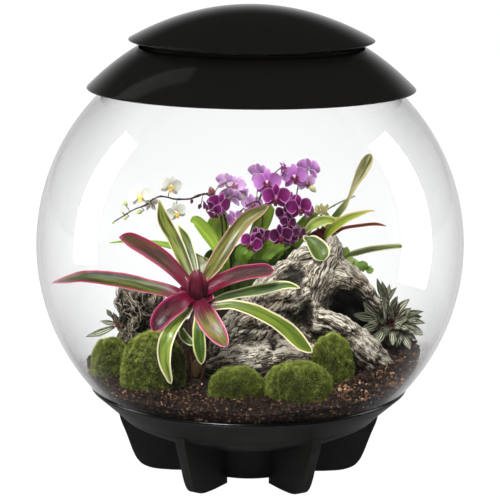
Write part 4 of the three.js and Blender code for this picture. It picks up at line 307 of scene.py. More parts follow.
def unit(v):
    v = np.asarray(v, float)
    return v / np.maximum(np.linalg.norm(v, axis=-1, keepdims=True), 1e-9)


def catmull(points, count, closed=False):
    """count + 1 points along a smooth curve through the given rows, of any width."""
    p = np.asarray(points, float)
    if len(p) == 2:
        t = np.linspace(0, 1, count + 1)[:, None]
        return p[0] * (1 - t) + p[1] * t
    ext = np.vstack([2 * p[0] - p[1], p, 2 * p[-1] - p[-2]])
    f = np.linspace(0, len(p) - 1, count + 1)
    k = np.minimum(f.astype(int), len(p) - 2)
    t = (f - k)[:, None]
    a, b, c, d = ext[k], ext[k + 1], ext[k + 2], ext[k + 3]
    return 0.5 * (2 * b + (c - a) * t + (2 * a - 5 * b + 4 * c - d) * t**2 + (3 * b - a - 3 * c + d) * t**3)


def even(points, count):
    """The same curve with its rows spread evenly by length of the first three columns."""
    q = catmull(points, max(60, count * 4))
    s = np.concatenate([[0], np.cumsum(np.linalg.norm(np.diff(q[:, :3], axis=0), axis=1))])
    want = np.linspace(0, s[-1], count + 1)
    return np.stack([np.interp(want, s, q[:, i]) for i in range(q.shape[1])], axis=1)


# ---------------------------------------------------------------- meshes
class Soup:
    """Vertices, faces, material numbers and point attributes of one piece, gathered part by part."""

    def __init__(self):
        self.v, self.f, self.m, self.a, self.n, self.count = [], [], [], {}, 0, []

    def add(self, v, f, m=0, **attrs):
        v = np.asarray(v, float).reshape(-1, 3)
        groups = f if isinstance(f, list) else [f]
        for g in groups:
            g = np.asarray(g, np.int64)
            if len(g):
                self.f.append(g + self.n)
                self.m.append(np.full(len(g), m))
        self.v.append(v)
        self.count.append(len(v))
        for k, x in attrs.items():
            self.a.setdefault(k, {})[len(self.v) - 1] = np.broadcast_to(np.asarray(x, float), (len(v),))
        self.n += len(v)

    def piece(self, name, mats, flat=False, crease=None):
        me = bpy.data.meshes.new(name)
        co = np.vstack(self.v) * 0.001
        me.vertices.add(len(co))
        me.vertices.foreach_set("co", co.astype(np.float32).ravel())
        sizes = np.concatenate([np.full(len(g), g.shape[1]) for g in self.f])
        loops = np.concatenate([g.ravel() for g in self.f])
        starts = np.concatenate([[0], np.cumsum(sizes)[:-1]])
        me.loops.add(len(loops))
        me.loops.foreach_set("vertex_index", loops.astype(np.int32))
        me.polygons.add(len(sizes))
        me.polygons.foreach_set("loop_start", starts.astype(np.int32))
        me.polygons.foreach_set("material_index", np.concatenate(self.m).astype(np.int32))
        me.polygons.foreach_set("use_smooth", np.full(len(sizes), not flat))
        for k, parts in self.a.items():
            values = np.concatenate([parts.get(i, np.zeros(c)) for i, c in enumerate(self.count)])
            at = me.attributes.new(k, "FLOAT", "POINT")
            at.data.foreach_set("value", values.astype(np.float32))
        for m in mats:
            me.materials.append(getattr(m, "m", m))
        me.update(calc_edges=True)
        me.validate()
        if crease is not None:
            me.set_sharp_from_angle(angle=math.radians(crease))
        ob = bpy.data.objects.new(name, me)
        bpy.context.scene.collection.objects.link(ob)
        return ob


SEATED = {}


def seat(ob, slot_name, *nodes):
    """The piece stands for these nodes and rides with the part."""
    SEATED.setdefault(slot_name, []).append(ob)
    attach(ob, "root")
    if nodes:
        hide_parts(*nodes)
    return ob


def grid(rows, cols, wrap=False, flip=False):
    """Quads over a rows by cols array of points, joined round the columns if wrap."""
    i, j = np.meshgrid(np.arange(rows - 1), np.arange(cols if wrap else cols - 1), indexing="ij")
    a = i * cols + j
    b = i * cols + (j + 1) % cols
    q = np.stack([a, b, b + cols, a + cols], axis=-1).reshape(-1, 4)
    return q[:, ::-1] if flip else q


def turned(profile, segments=192):
    """A turned closed body from [radius, height] pairs that start and end on the axis, or form a loop."""
    p = np.asarray(profile, float)
    loop = np.allclose(p[0], p[-1])
    if loop:
        p = p[:-1]
    th = np.linspace(0, 2 * np.pi, segments, endpoint=False)
    on_axis = p[:, 0] < 1e-6
    ids, verts = [], []
    for r, z in p:
        if r < 1e-6:
            ids.append(np.full(segments, sum(len(x) for x in verts)))
            verts.append(np.array([[0, 0, z]]))
        else:
            ids.append(sum(len(x) for x in verts) + np.arange(segments))
            verts.append(np.stack([r * np.cos(th), r * np.sin(th), np.full(segments, z)], 1))
    quads, tris = [], []
    pairs = [(k, k + 1) for k in range(len(p) - 1)] + ([(len(p) - 1, 0)] if loop else [])
    for a, b in pairs:
        if on_axis[a] and on_axis[b]:
            continue
        A, B = ids[a], ids[b]
        A1, B1 = np.roll(A, -1), np.roll(B, -1)
        if on_axis[a]:
            tris.append(np.stack([A, B1, B], 1))
        elif on_axis[b]:
            tris.append(np.stack([A, A1, B], 1))
        else:
            quads.append(np.stack([A, A1, B1, B], 1))
    v = np.vstack(verts)
    faces = ([np.vstack(quads)] if quads else []) + ([np.vstack(tris)] if tris else [])
    return v, faces, volume(v, faces)


def volume(v, faces):
    total = 0
    for g in faces:
        for k in range(1, g.shape[1] - 1):
            total += np.einsum("ij,ij->i", v[g[:, 0]], np.cross(v[g[:, k]], v[g[:, k + 1]])).sum()
    return total


def outward(v, faces):
    return [g[:, ::-1] for g in faces] if volume(v, faces) < 0 else faces


def fillet(points, radii, steps=6):
    """A profile with its corners rounded by the given radii."""
    out = [np.array(points[0], float)]
    for k in range(1, len(points) - 1):
        a, b, c = (np.array(x, float) for x in points[k - 1 : k + 2])
        r = radii[k]
        if r <= 0:
            out.append(b)
            continue
        u, w = unit(a - b), unit(c - b)
        cut = min(r, 0.45 * np.linalg.norm(a - b), 0.45 * np.linalg.norm(c - b))
        for t in np.linspace(0, 1, steps + 1):
            out.append((1 - t) ** 2 * (b + u * cut) + 2 * t * (1 - t) * b + t * t * (b + w * cut))
    out.append(np.array(points[-1], float))
    return out


def tube(path, radius, sides=8, jitter=0.0, seed=0, cap=True):
    """A closed tube along path (n, 3) with a radius at each point."""
    p = np.asarray(path, float)
    n = len(p)
    r = np.broadcast_to(np.asarray(radius, float), (n,))
    t = unit(np.gradient(p, axis=0))
    side = np.zeros((n, 3))
    ref = np.array([0, 0, 1.0]) if abs(t[0, 2]) < 0.9 else np.array([1.0, 0, 0])
    side[0] = unit(np.cross(t[0], ref))
    for i in range(1, n):
        side[i] = unit(side[i - 1] - t[i] * np.dot(side[i - 1], t[i]))
    up = np.cross(t, side)
    a = np.linspace(0, 2 * np.pi, sides, endpoint=False)
    ring = side[:, None] * np.cos(a)[None, :, None] + up[:, None] * np.sin(a)[None, :, None]
    rr = r[:, None, None]
    v = (p[:, None] + ring * rr).reshape(-1, 3)
    f = [grid(n, sides, wrap=True)]
    along = np.repeat(np.linspace(0, 1, n), sides)
    if cap:
        v = np.vstack([v, p[0] - t[0] * r[0] * 0.5, p[-1] + t[-1] * r[-1] * 0.5])
        k = np.arange(sides)
        k1 = (k + 1) % sides
        last = (n - 1) * sides
        f.append(np.stack([np.full(sides, n * sides), k1, k], 1))
        f.append(np.stack([np.full(sides, n * sides + 1), last + k, last + k1], 1))
        along = np.concatenate([along, [0, 1]])
    return v, outward(v, f), along


def blade(leaf, along=40, across=12, thick=1.1, cup=0.14, cup_power=2.0, wave=0.0, seed=0, tip=1.0, edge_thin=0.35, widths=None, twist=0.0, even_steps=True):
    """A closed leaf or petal along leaf["p"], leaf["w"] wide, whose upper face looks along leaf["n"].
    Returns vertices, faces and the point attributes across (-1 to 1), along (0 to 1), edge (mm to the margin) and top."""
    rows = np.hstack([np.array(leaf["p"], float), np.array(leaf["w"], float)[:, None], np.array(leaf["n"], float)])
    q = even(rows, along) if even_steps else catmull(rows, along)
    c, w, n = q[:, :3], np.maximum(q[:, 3], 0.25), unit(q[:, 4:7])
    t = unit(np.gradient(c, axis=0))
    n = unit(n - t * np.sum(n * t, 1)[:, None])
    side = np.cross(t, n)
    s = np.linspace(0, 1, along + 1)
    length = np.linalg.norm(np.diff(c, axis=0), axis=1).sum()
    if tip > 0:  # rounds the last few millimetres to the tip
        w = w * np.sqrt(np.clip((1 - s) / max(1e-3, tip * 4.0 / max(length, 1)), 0, 1) * 0.98 + 0.02)
    if widths is not None:
        w = widths(s)
    if twist:
        a = twist * s
        side, n = side * np.cos(a)[:, None] + n * np.sin(a)[:, None], n * np.cos(a)[:, None] - side * np.sin(a)[:, None]
    u = np.sin(np.linspace(-1, 1, across + 1) * np.pi / 2)
    half = (w / 2)[:, None]
    rise = (cup * w)[:, None] * np.abs(u)[None, :] ** cup_power
    if wave:
        ww = noise(np.stack([s * length / 14.0, np.full_like(s, 3.7 + seed), np.zeros_like(s)], 1), seed)
        wx = noise(np.stack([s * length / 14.0, np.full_like(s, 9.1 + seed), np.zeros_like(s)], 1), seed + 1)
        rise = rise + wave * half * (np.where(u > 0, ww[:, None], wx[:, None]) * np.abs(u)[None, :] ** 3)
    mid = c[:, None] + side[:, None] * (half * u[None, :])[..., None] + n[:, None] * rise[..., None]
    h = thick / 2 * (edge_thin + (1 - edge_thin) * (1 - np.abs(u) ** 2.5))[None, :] * np.clip(w / 6, 0.35, 1)[:, None]
    top = mid + n[:, None] * h[..., None]
    low = mid - n[:, None] * h[..., None]
    ring = np.concatenate([top, low[:, ::-1]], axis=1)
    k = ring.shape[1]
    v = ring.reshape(-1, 3)
    uu = np.tile(np.concatenate([u, u[::-1]]), along + 1)
    ss = np.repeat(s, k)
    ee = (np.repeat(w / 2, k)) * (1 - np.abs(uu))
    tt = np.tile(np.concatenate([np.ones(across + 1), np.zeros(across + 1)]), along + 1)
    f = [grid(along + 1, k, wrap=True)]
    ends = np.vstack([c[0] - t[0] * 0.3, c[-1] + t[-1] * 0.4])
    v = np.vstack([v, ends])
    a = np.arange(k)
    a1 = (a + 1) % k
    last = along * k
    f.append(np.stack([np.full(k, len(v) - 2), a1, a], 1))
    f.append(np.stack([np.full(k, len(v) - 1), last + a, last + a1], 1))
    f = outward(v, f)
    add = lambda x, e: np.concatenate([x, e])
    return v, f, dict(across=add(uu, [0, 0]), along=add(ss, [0, 1]), edge=add(ee, [w[0] / 2, 0.1]), top=add(tt, [1, 1]))


_ico_v = unit(np.array([[-1, 1.618, 0], [1, 1.618, 0], [-1, -1.618, 0], [1, -1.618, 0], [0, -1, 1.618], [0, 1, 1.618],
                        [0, -1, -1.618], [0, 1, -1.618], [1.618, 0, -1], [1.618, 0, 1], [-1.618, 0, -1], [-1.618, 0, 1]]))
_ico_f = np.array([[0, 11, 5], [0, 5, 1], [0, 1, 7], [0, 7, 10], [0, 10, 11], [1, 5, 9], [5, 11, 4], [11, 10, 2], [10, 7, 6], [7, 1, 8],
                   [3, 9, 4], [3, 4, 2], [3, 2, 6], [3, 6, 8], [3, 8, 9], [4, 9, 5], [2, 4, 11], [6, 2, 10], [8, 6, 7], [9, 8, 1]])


def turns(rng, n):
    """n random rotation matrices."""
    q = unit(rng.normal(size=(n, 4)))
    w, x, y, z = q.T
    return np.stack([1 - 2 * (y * y + z * z), 2 * (x * y - z * w), 2 * (x * z + y * w), 2 * (x * y + z * w), 1 - 2 * (x * x + z * z),
                     2 * (y * z - x * w), 2 * (x * z - y * w), 2 * (y * z + x * w), 1 - 2 * (x * x + y * y)], 1).reshape(n, 3, 3)


def crumbs(rng, at, size, squash=(0.45, 1.0)):
    """Angular grains of the given sizes at points: vertices, faces."""
    n = len(at)
    v = _ico_v[None] * (1 + rng.uniform(-0.3, 0.3, (n, 12, 1)))
    v = v * np.stack([np.ones(n), rng.uniform(*squash, n), rng.uniform(squash[0] * 0.7, squash[1] * 0.8, n)], 1)[:, None]
    v = np.einsum("nij,nkj->nki", turns(rng, n), v * (np.asarray(size) / 2)[:, None, None]) + at[:, None]
    f = _ico_f[None] + (np.arange(n) * 12)[:, None, None]
    return v.reshape(-1, 3), f.reshape(-1, 3)


def surface_nets(field, origin, step):
    """The closed surface where field crosses zero, inside below it."""
    inside = field < 0
    nx, ny, nz = field.shape
    corner = [(i, j, k) for i in (0, 1) for j in (0, 1) for k in (0, 1)]
    cut = lambda a, o: a[o[0] : nx - 1 + o[0], o[1] : ny - 1 + o[1], o[2] : nz - 1 + o[2]]
    count = sum(cut(inside, o).astype(np.int8) for o in corner)
    active = (count > 0) & (count < 8)
    idx = np.full(active.shape, -1)
    idx[active] = np.arange(active.sum())
    ids = np.argwhere(active)
    pos, hits = np.zeros((len(ids), 3)), np.zeros(len(ids))
    for axis in range(3):
        for o in corner:
            if o[axis]:
                continue
            e = list(o)
            e[axis] = 1
            a = field[ids[:, 0] + o[0], ids[:, 1] + o[1], ids[:, 2] + o[2]]
            b = field[ids[:, 0] + e[0], ids[:, 1] + e[1], ids[:, 2] + e[2]]
            cross = (a < 0) != (b < 0)
            t = np.where(cross, a / np.where(a == b, 1, a - b), 0)
            p = np.tile(np.array(o, float), (len(ids), 1))
            p[:, axis] += t
            pos[cross] += p[cross]
            hits[cross] += 1
    v = origin + step * (ids + pos / hits[:, None])
    faces = []
    for axis in range(3):
        a, b = [(1, 2), (2, 0), (0, 1)][axis]
        lo = [slice(1, -1)] * 3
        lo[axis] = slice(0, -1)
        hi = list(lo)
        hi[axis] = slice(1, None)
        s0, s1 = inside[tuple(lo)], inside[tuple(hi)]
        e = np.argwhere(s0 != s1)
        first = s0[tuple(e.T)]
        e = e + np.array([0 if i == axis else 1 for i in range(3)])
        da, db = np.eye(3, dtype=int)[a], np.eye(3, dtype=int)[b]
        get = lambda q: idx[q[:, 0], q[:, 1], q[:, 2]]
        q = np.stack([get(e - da - db), get(e - db), get(e), get(e - da)], 1)
        q[~first] = q[~first][:, ::-1]
        faces.append(q)
    return v, outward(v, [np.vstack(faces)])[0]


def blend_limbs(limbs, step, pad=10.0, k=6.0, squeeze=None):
    """A field around several limbs [x, y, z, r], grown smoothly together, and its grid."""
    lines = {n: even(p, max(3, int(np.linalg.norm(np.diff(np.array(p)[:, :3], axis=0), axis=1).sum() / 7))) for n, p in limbs.items()}
    allp = np.vstack(list(lines.values()))
    lo = (allp[:, :3] - allp[:, 3:4]).min(0) - pad
    hi = (allp[:, :3] + allp[:, 3:4]).max(0) + pad
    n = np.ceil((hi - lo) / step).astype(int) + 1
    field = np.full(n, 30.0, np.float32)
    axes = [lo[i] + step * np.arange(n[i]) for i in range(3)]
    for name, line in lines.items():
        for a, b in zip(line[:-1], line[1:]):
            reach = max(a[3], b[3]) + 14
            s = [slice(max(0, int((min(a[i], b[i]) - reach - lo[i]) / step)), int((max(a[i], b[i]) + reach - lo[i]) / step) + 2) for i in range(3)]
            g = np.stack(np.meshgrid(*[axes[i][s[i]] for i in range(3)], indexing="ij"), -1)
            d = b[:3] - a[:3]
            t = np.clip(((g - a[:3]) @ d) / max(d @ d, 1e-9), 0, 1)
            dist = np.linalg.norm(g - a[:3] - t[..., None] * d, axis=-1) - (a[3] + (b[3] - a[3]) * t)
            old = field[s[0], s[1], s[2]]
            h = np.clip(k - np.abs(old - dist), 0, None) / k
            field[s[0], s[1], s[2]] = np.minimum(old, dist) - h * h * k / 4
    return field, lo, axes, lines


def normals(v, quads):
    d = np.cross(v[quads[:, 2]] - v[quads[:, 0]], v[quads[:, 3]] - v[quads[:, 1]])
    n = np.zeros_like(v)
    for k in range(4):
        np.add.at(n, quads[:, k], d)
    return unit(n)


def relax(v, quads, times=1, share=0.5):
    for _ in range(times):
        total, count = np.zeros_like(v), np.zeros(len(v))
        for a, b in ((0, 1), (1, 2), (2, 3), (3, 0)):
            np.add.at(total, quads[:, a], v[quads[:, b]])
            np.add.at(count, quads[:, a], 1)
            np.add.at(total, quads[:, b], v[quads[:, a]])
            np.add.at(count, quads[:, b], 1)
        v = v * (1 - share) + share * total / count[:, None]
    return v


def in_glass(v, gap=0.5):
    """Points pulled inside the globe's inner wall."""
    c = np.array([0, 0, GLOBE_Z])
    d = v - c
    r = np.linalg.norm(d, axis=1)
    lim = INNER_R - gap
    return np.where((r > lim)[:, None], c + d * (lim / r)[:, None], v)


# ---------------------------------------------------------------- materials
def srgb(r, g, b):
    return tuple((x / 255 / 12.92) if x / 255 <= 0.04045 else ((x / 255 + 0.055) / 1.055) ** 2.4 for x in (r, g, b)) + (1.0,)


class Mat:
    """A procedural material around one Principled node."""

    def __init__(self, name, **sockets):
        self.m = bpy.data.materials.new(name)
        self.m.use_nodes = True
        self.t = self.m.node_tree
        self.t.nodes.clear()
        self.out = self.t.nodes.new("ShaderNodeOutputMaterial")
        self.b = self.t.nodes.new("ShaderNodeBsdfPrincipled")
        self.t.links.new(self.b.outputs[0], self.out.inputs[0])
        self.put(**sockets)

    def put(self, **sockets):
        for k, x in sockets.items():
            self.into(self.b.inputs[k.replace("_", " ")], x)
        return self

    def into(self, socket, x):
        if isinstance(x, bpy.types.NodeSocket):
            self.t.links.new(x, socket)
        elif x is not None:
            socket.default_value = x

    def node(self, kind, inputs=(), **props):
        n = self.t.nodes.new("ShaderNode" + kind)
        for k, x in props.items():
            setattr(n, k, x)
        for k, x in dict(inputs).items():
            self.into(n.inputs[k], x)
        return n

    def attr(self, name):
        return self.node("Attribute", attribute_name=name).outputs["Fac"]

    def where(self):
        return self.node("TexCoord").outputs["Object"]

    def scaled(self, vec, s):
        return self.node("VectorMath", {0: vec, 1: s}, operation="MULTIPLY").outputs[0]

    def join(self, x=0.0, y=0.0, z=0.0):
        return self.node("CombineXYZ", {0: x, 1: y, 2: z}).outputs[0]

    def noise(self, vec=None, scale=1.0, detail=3.0, rough=0.55, warp=0.0, color=False):
        n = self.node("TexNoise", {"Vector": vec if vec is not None else self.where(), "Scale": scale, "Detail": detail, "Roughness": rough, "Distortion": warp})
        return n.outputs["Color" if color else "Fac"]

    def cells(self, vec=None, scale=1.0, feature="F1", output="Distance"):
        return self.node("TexVoronoi", {"Vector": vec if vec is not None else self.where(), "Scale": scale}, feature=feature).outputs[output]

    def math(self, op, a, b=None, c=None, clamp=False):
        n = self.node("Math", {0: a}, operation=op, use_clamp=clamp)
        self.into(n.inputs[1], b)
        self.into(n.inputs[2], c)
        return n.outputs[0]

    def step(self, x, lo, hi, a=0.0, b=1.0):
        return self.node("MapRange", {"Value": x, "From Min": lo, "From Max": hi, "To Min": a, "To Max": b}, interpolation_type="SMOOTHSTEP").outputs[0]

    def mix(self, fac, a, b, kind="MIX"):
        n = self.node("Mix", data_type="RGBA", blend_type=kind)
        self.into(n.inputs["Factor"], fac)
        self.into(n.inputs[6], a)
        self.into(n.inputs[7], b)
        return n.outputs[2]

    def ramp(self, fac, stops):
        n = self.node("ValToRGB", {0: fac})
        el = n.color_ramp.elements
        while len(el) < len(stops):
            el.new(0.5)
        for e, (p, c) in zip(el, stops):
            e.position, e.color = p, c
        return n.outputs[0]

    def bump(self, height, distance=0.001, strength=1.0, normal=None):
        n = self.node("Bump", {"Height": height, "Distance": distance, "Strength": strength})
        if normal is not None:
            self.into(n.inputs["Normal"], normal)
        return n.outputs[0]

# ---------------------------------------------------------------- materials of the made parts
def plastic(name, colour, rough, gloss=0.5, coat=0.0, grain=900.0, depth=0.00002, mottled=0.15):
    """A moulded plastic: faint mottling in colour and gloss, and a fine moulding grain."""
    m = Mat(name)
    c = srgb(*colour)
    big = m.noise(scale=14.0, detail=4)
    dark = tuple(x * (1 - mottled) for x in c[:3]) + (1,)
    light = tuple(min(1, x * (1 + mottled)) for x in c[:3]) + (1,)
    m.put(Base_Color=m.ramp(big, [(0.3, dark), (0.7, light)]))
    m.put(Roughness=m.math("MULTIPLY_ADD", m.noise(scale=60.0, detail=5), rough * 0.35, rough * 0.82))
    m.put(Normal=m.bump(m.noise(scale=grain, detail=2), depth, 0.5))
    m.b.inputs["Specular IOR Level"].default_value = gloss
    m.b.inputs["Coat Weight"].default_value = coat
    m.b.inputs["Coat Roughness"].default_value = 0.04
    return m


stand_mat = plastic("stand_satin", (36, 36, 35), 0.34, 0.45)
lid_mat = plastic("lid_gloss", (47, 46, 43), 0.09, 0.2, grain=300.0, depth=0.000004, mottled=0.06)
seal_mat = plastic("seal_rubber", (10, 10, 10), 0.22, 0.4, grain=2000.0)
inner_mat = plastic("inner_pale", (215, 216, 213), 0.4, 0.4)
lens_mat = plastic("lamp_opal", (240, 240, 236), 0.28, 0.5, mottled=0.02)
fan_mat = plastic("fan_black", (24, 24, 25), 0.45, 0.4)
plate_mat = plastic("planting_plate_black", (34, 34, 35), 0.5, 0.4)
tank_mat = plastic("tank_smoke", (190, 200, 204), 0.2, 0.5, mottled=0.05)


def board_material():
    m = Mat("lamp_board_white")
    p = m.where()
    tracks = m.step(m.cells(p, 260.0, feature="DISTANCE_TO_EDGE"), 0.02, 0.05)
    m.put(Base_Color=m.mix(tracks, srgb(206, 206, 190), srgb(240, 240, 234)), Roughness=m.math("MULTIPLY_ADD", m.noise(p, 120), 0.2, 0.35))
    m.put(Normal=m.bump(tracks, 0.00006, 0.5))
    return m


def foam_material():
    m = Mat("filter_foam")
    p = m.where()
    cell = m.cells(p, 420.0)
    m.put(Base_Color=m.ramp(cell, [(0.1, srgb(8, 8, 8)), (0.6, srgb(58, 58, 60))]), Roughness=m.math("MULTIPLY_ADD", cell, 0.1, 0.85))
    m.put(Normal=m.bump(cell, 0.0008, 1.0))
    return m


def brushed_material():
    m = Mat("mist_metal")
    p = m.scaled(m.where(), (40.0, 40.0, 2600.0))
    line = m.noise(p, 1.0, 3)
    m.put(Base_Color=m.ramp(line, [(0.3, srgb(150, 151, 153)), (0.7, srgb(196, 197, 198))]), Roughness=m.math("MULTIPLY_ADD", line, 0.25, 0.2))
    m.b.inputs["Metallic"].default_value = 1.0
    m.put(Normal=m.bump(line, 0.00003, 0.6))
    return m


def glass_material():
    m = Mat("globe_glass")
    # the wall's tint darkens where it is seen edge on: painted shade for the grey rim, partly the longer path through
    # the glass
    facing = m.node("LayerWeight", {"Blend": 0.5}).outputs["Facing"]
    m.put(Base_Color=m.ramp(facing, [(0.28, (0.985, 0.99, 0.99, 1)), (0.38, (0.955, 0.958, 0.958, 1)), (0.51, (0.885, 0.888, 0.888, 1)), (0.67, (0.83, 0.833, 0.833, 1)), (1.0, (0.8, 0.8, 0.8, 1))]))
    m.b.inputs["Transmission Weight"].default_value = 1.0
    m.b.inputs["IOR"].default_value = 1.45
    # faint handling marks, only in the gloss
    m.put(Roughness=m.step(m.noise(scale=5.0, detail=6), 0.45, 0.8, 0.0, 0.004))
    clear = m.node("BsdfTransparent", {"Color": (0.97, 0.975, 0.975, 1)}).outputs[0]
    path = m.node("LightPath").outputs
    lamp = m.math("MAXIMUM", path["Is Shadow Ray"], path["Is Diffuse Ray"])
    both = m.node("MixShader", {0: lamp, 1: m.b.outputs[0], 2: clear}).outputs[0]
    m.t.links.new(both, m.out.inputs[0])
    return m


# ---------------------------------------------------------------- globe, stand and lid
def arc(radius, z0, z1, steps):
    z = np.linspace(z0, z1, steps + 1)
    return [(math.sqrt(max(0, radius * radius - (h - GLOBE_Z) ** 2)), h) for h in z]


def by_angle(radius, z0, z1, steps):
    a0, a1 = math.acos((GLOBE_Z - z0) / radius), math.acos((GLOBE_Z - z1) / radius)
    return [(radius * math.sin(a), GLOBE_Z - radius * math.cos(a)) for a in np.linspace(a0, a1, steps + 1)]


def make_globe():
    low_in, low_out = GLOBE_Z - INNER_R + 33.4, GLOBE_Z - SEAT_R + 31.8
    inner = by_angle(INNER_R, 66.5, MOUTH_Z - 1.5, 90)
    outer = by_angle(GLOBE_R, JOINT_Z + 1.5, MOUTH_Z - 2.5, 96)
    seat_arc = by_angle(SEAT_R, 62.0, JOINT_Z - 0.6, 14)
    mouth_out = math.sqrt(GLOBE_R**2 - (MOUTH_Z - GLOBE_Z) ** 2)
    mouth_in = math.sqrt(INNER_R**2 - (MOUTH_Z - GLOBE_Z) ** 2)
    lip = [(mouth_out - 1.0, MOUTH_Z - 0.5), (mouth_out - 2.2, MOUTH_Z - 0.05), (mouth_in + 2.2, MOUTH_Z - 0.05), (mouth_in + 0.8, MOUTH_Z - 0.5)]
    profile = [(0, 60.5), (100, 60.6)] + seat_arc + [(SEAT_R * math.sin(math.acos((GLOBE_Z - JOINT_Z) / SEAT_R)) + 1.2, JOINT_Z + 0.1)] + outer + lip + inner[::-1] + [(100, 65.0), (0, 64.9)]
    v, f, vol = turned(profile, 256)
    s = Soup()
    s.add(v, outward(v, f))
    ob = s.piece("globe_glass", [glass_material()], crease=50)
    return seat(ob, "globe_glass", "globe")


make_globe()


def plain_turn(name, profile, mat, slot_name, node, segments=192, crease=35):
    v, f, vol = turned(profile, segments)
    s = Soup()
    s.add(v, outward(v, f))
    return seat(s.piece(name, [mat], crease=crease), slot_name, node)


# black ring of the joint, with a rounded outer lip
plain_turn("joint_ring", fillet([(184.6, 108.0), (184.6, 107.9), (187.2, 107.9), (188.3, 109.0), (187.3, 110.35), (184.9, 110.35), (184.6, 108.0)], [0, 0, 0.5, 0.8, 0.5, 0, 0], 4),
           seal_mat, "seal_rubber", "base_seal", 256)
plain_turn("mouth_gasket", fillet([(140.6, 474.4), (154.2, 474.4), (153.4, 478.2), (141.6, 478.2), (140.6, 474.4)], [0, 0.8, 0.8, 0.8, 0], 4), seal_mat, "seal_rubber", "globe_seal")


def hide(ob):
    ob.hide_render = True
    bpy.data.objects.remove(ob)


def boolean(ob, other, how):
    mod = ob.modifiers.new("b", "BOOLEAN")
    mod.object, mod.operation, mod.solver = other, how, "EXACT"
    bpy.context.view_layer.update()
    graph = bpy.context.evaluated_depsgraph_get()
    me = bpy.data.meshes.new_from_object(ob.evaluated_get(graph))
    ob.modifiers.clear()
    ob.data = me
    bpy.data.objects.remove(other)
    return ob


def make_stand():
    cradle = by_angle(SEAT_R, 61.2, 107.4, 16)
    cradle = [(r + 0.7, z - 0.2) for r, z in cradle]
    outer = fillet([(186.2, 107.6), (187.35, 107.0), (156.9, 79.7), (150.5, 72.6), (128, 61.2), (112, 55.6), (HUB + 1.5, 54.6), (HUB, 7.0), (HUB - 1.5, 6.5), (0, 6.5)],
                   [0, 1.0, 9, 12, 14, 14, 3, 1.0, 0, 0], 8)
    v, f, vol = turned([(0, 60.0), (100, 60.2)] + cradle + outer, 192)
    s = Soup()
    s.add(v, outward(v, f))
    ob = s.piece("stand_body", [stand_mat])
    # fins: a plate with its outer edge and foot rounded over
    edge = [(94, 0), (108, 1), (118, 3), (126.5, 6.7), (130.6, 10.5), (133.5, 14.2), (135.6, 18), (138.9, 25.5), (141.6, 33), (144.2, 40.4), (147, 47.9), (151.1, 57.9), (153.5, 65.3), (156, 78.4)]
    edge = [tuple(p) for p in even(np.hstack([np.array(edge), np.zeros((len(edge), 1))]), 40)[:, :2]]
    outline = [(56.5, 0.0)] + edge + [(150, 74.6), (128, 63.0), (112, 57.8), (56.5, 57.0)]
    half = 6.25
    for i in range(6):
        a = i * math.pi / 3
        bm = bmesh.new()
        low = [bm.verts.new((r, -half, max(z, 0))) for r, z in outline]
        face = bm.faces.new(low)
        up = bmesh.ops.extrude_face_region(bm, geom=[face])
        for x in up["geom"]:
            if isinstance(x, bmesh.types.BMVert):
                x.co.y = half
        bm.normal_update()
        bmesh.ops.recalc_face_normals(bm, faces=bm.faces)
        # the long outline edges on both sides, from the foot to the bowl
        rim = [e for e in bm.edges if abs(e.verts[0].co.y - e.verts[1].co.y) < 1e-6 and min(x.co.x for x in e.verts) > 93.9 and max(x.co.x for x in e.verts) > 95
               and not (min(x.co.z for x in e.verts) > 56 and max(x.co.x for x in e.verts) < 156.5 and min(x.co.x for x in e.verts) < 150.5)]
        bmesh.ops.bevel(bm, geom=rim, offset=1.1, offset_type="OFFSET", segments=3, profile=0.5, affect="EDGES", clamp_overlap=True)
        hub_cut = Matrix.Rotation(a, 4, "Z")
        for x in bm.verts:
            x.co = hub_cut @ x.co
            x.co *= 0.001
        me = bpy.data.meshes.new("fin")
        bm.to_mesh(me)
        bm.free()
        fin = bpy.data.objects.new("fin", me)
        bpy.context.scene.collection.objects.link(fin)
        boolean(ob, fin, "UNION")
    v, f, vol = turned([(0, -2), (HUB - 0.2, -2), (HUB - 0.2, 6.6), (0, 6.6)], 96)
    s = Soup()
    s.add(v, outward(v, f))
    foot = s.piece("foot", [])
    boolean(ob, foot, "DIFFERENCE")
    ob.data.materials.clear()
    ob.data.materials.append(stand_mat.m)
    ob.data.polygons.foreach_set("material_index", np.zeros(len(ob.data.polygons), np.int32))
    ob.data.polygons.foreach_set("use_smooth", np.ones(len(ob.data.polygons), bool))
    ob.data.set_sharp_from_angle(angle=math.radians(32))
    return seat(ob, "stand_plastic", "stand")


HUB = 60.0
make_stand()


def ring_at(t):
    return (190.6 - 58.6 * t, 460.8 + 46.82 * t + 12.12 * t * (1 - t))


def offset(fn, t, d):
    r0, z0 = fn(t - 0.01)
    r1, z1 = fn(t + 0.01)
    l = math.hypot(r1 - r0, z1 - z0)
    r, z = fn(t)
    return (r - d * (z1 - z0) / l, z + d * (r1 - r0) / l)


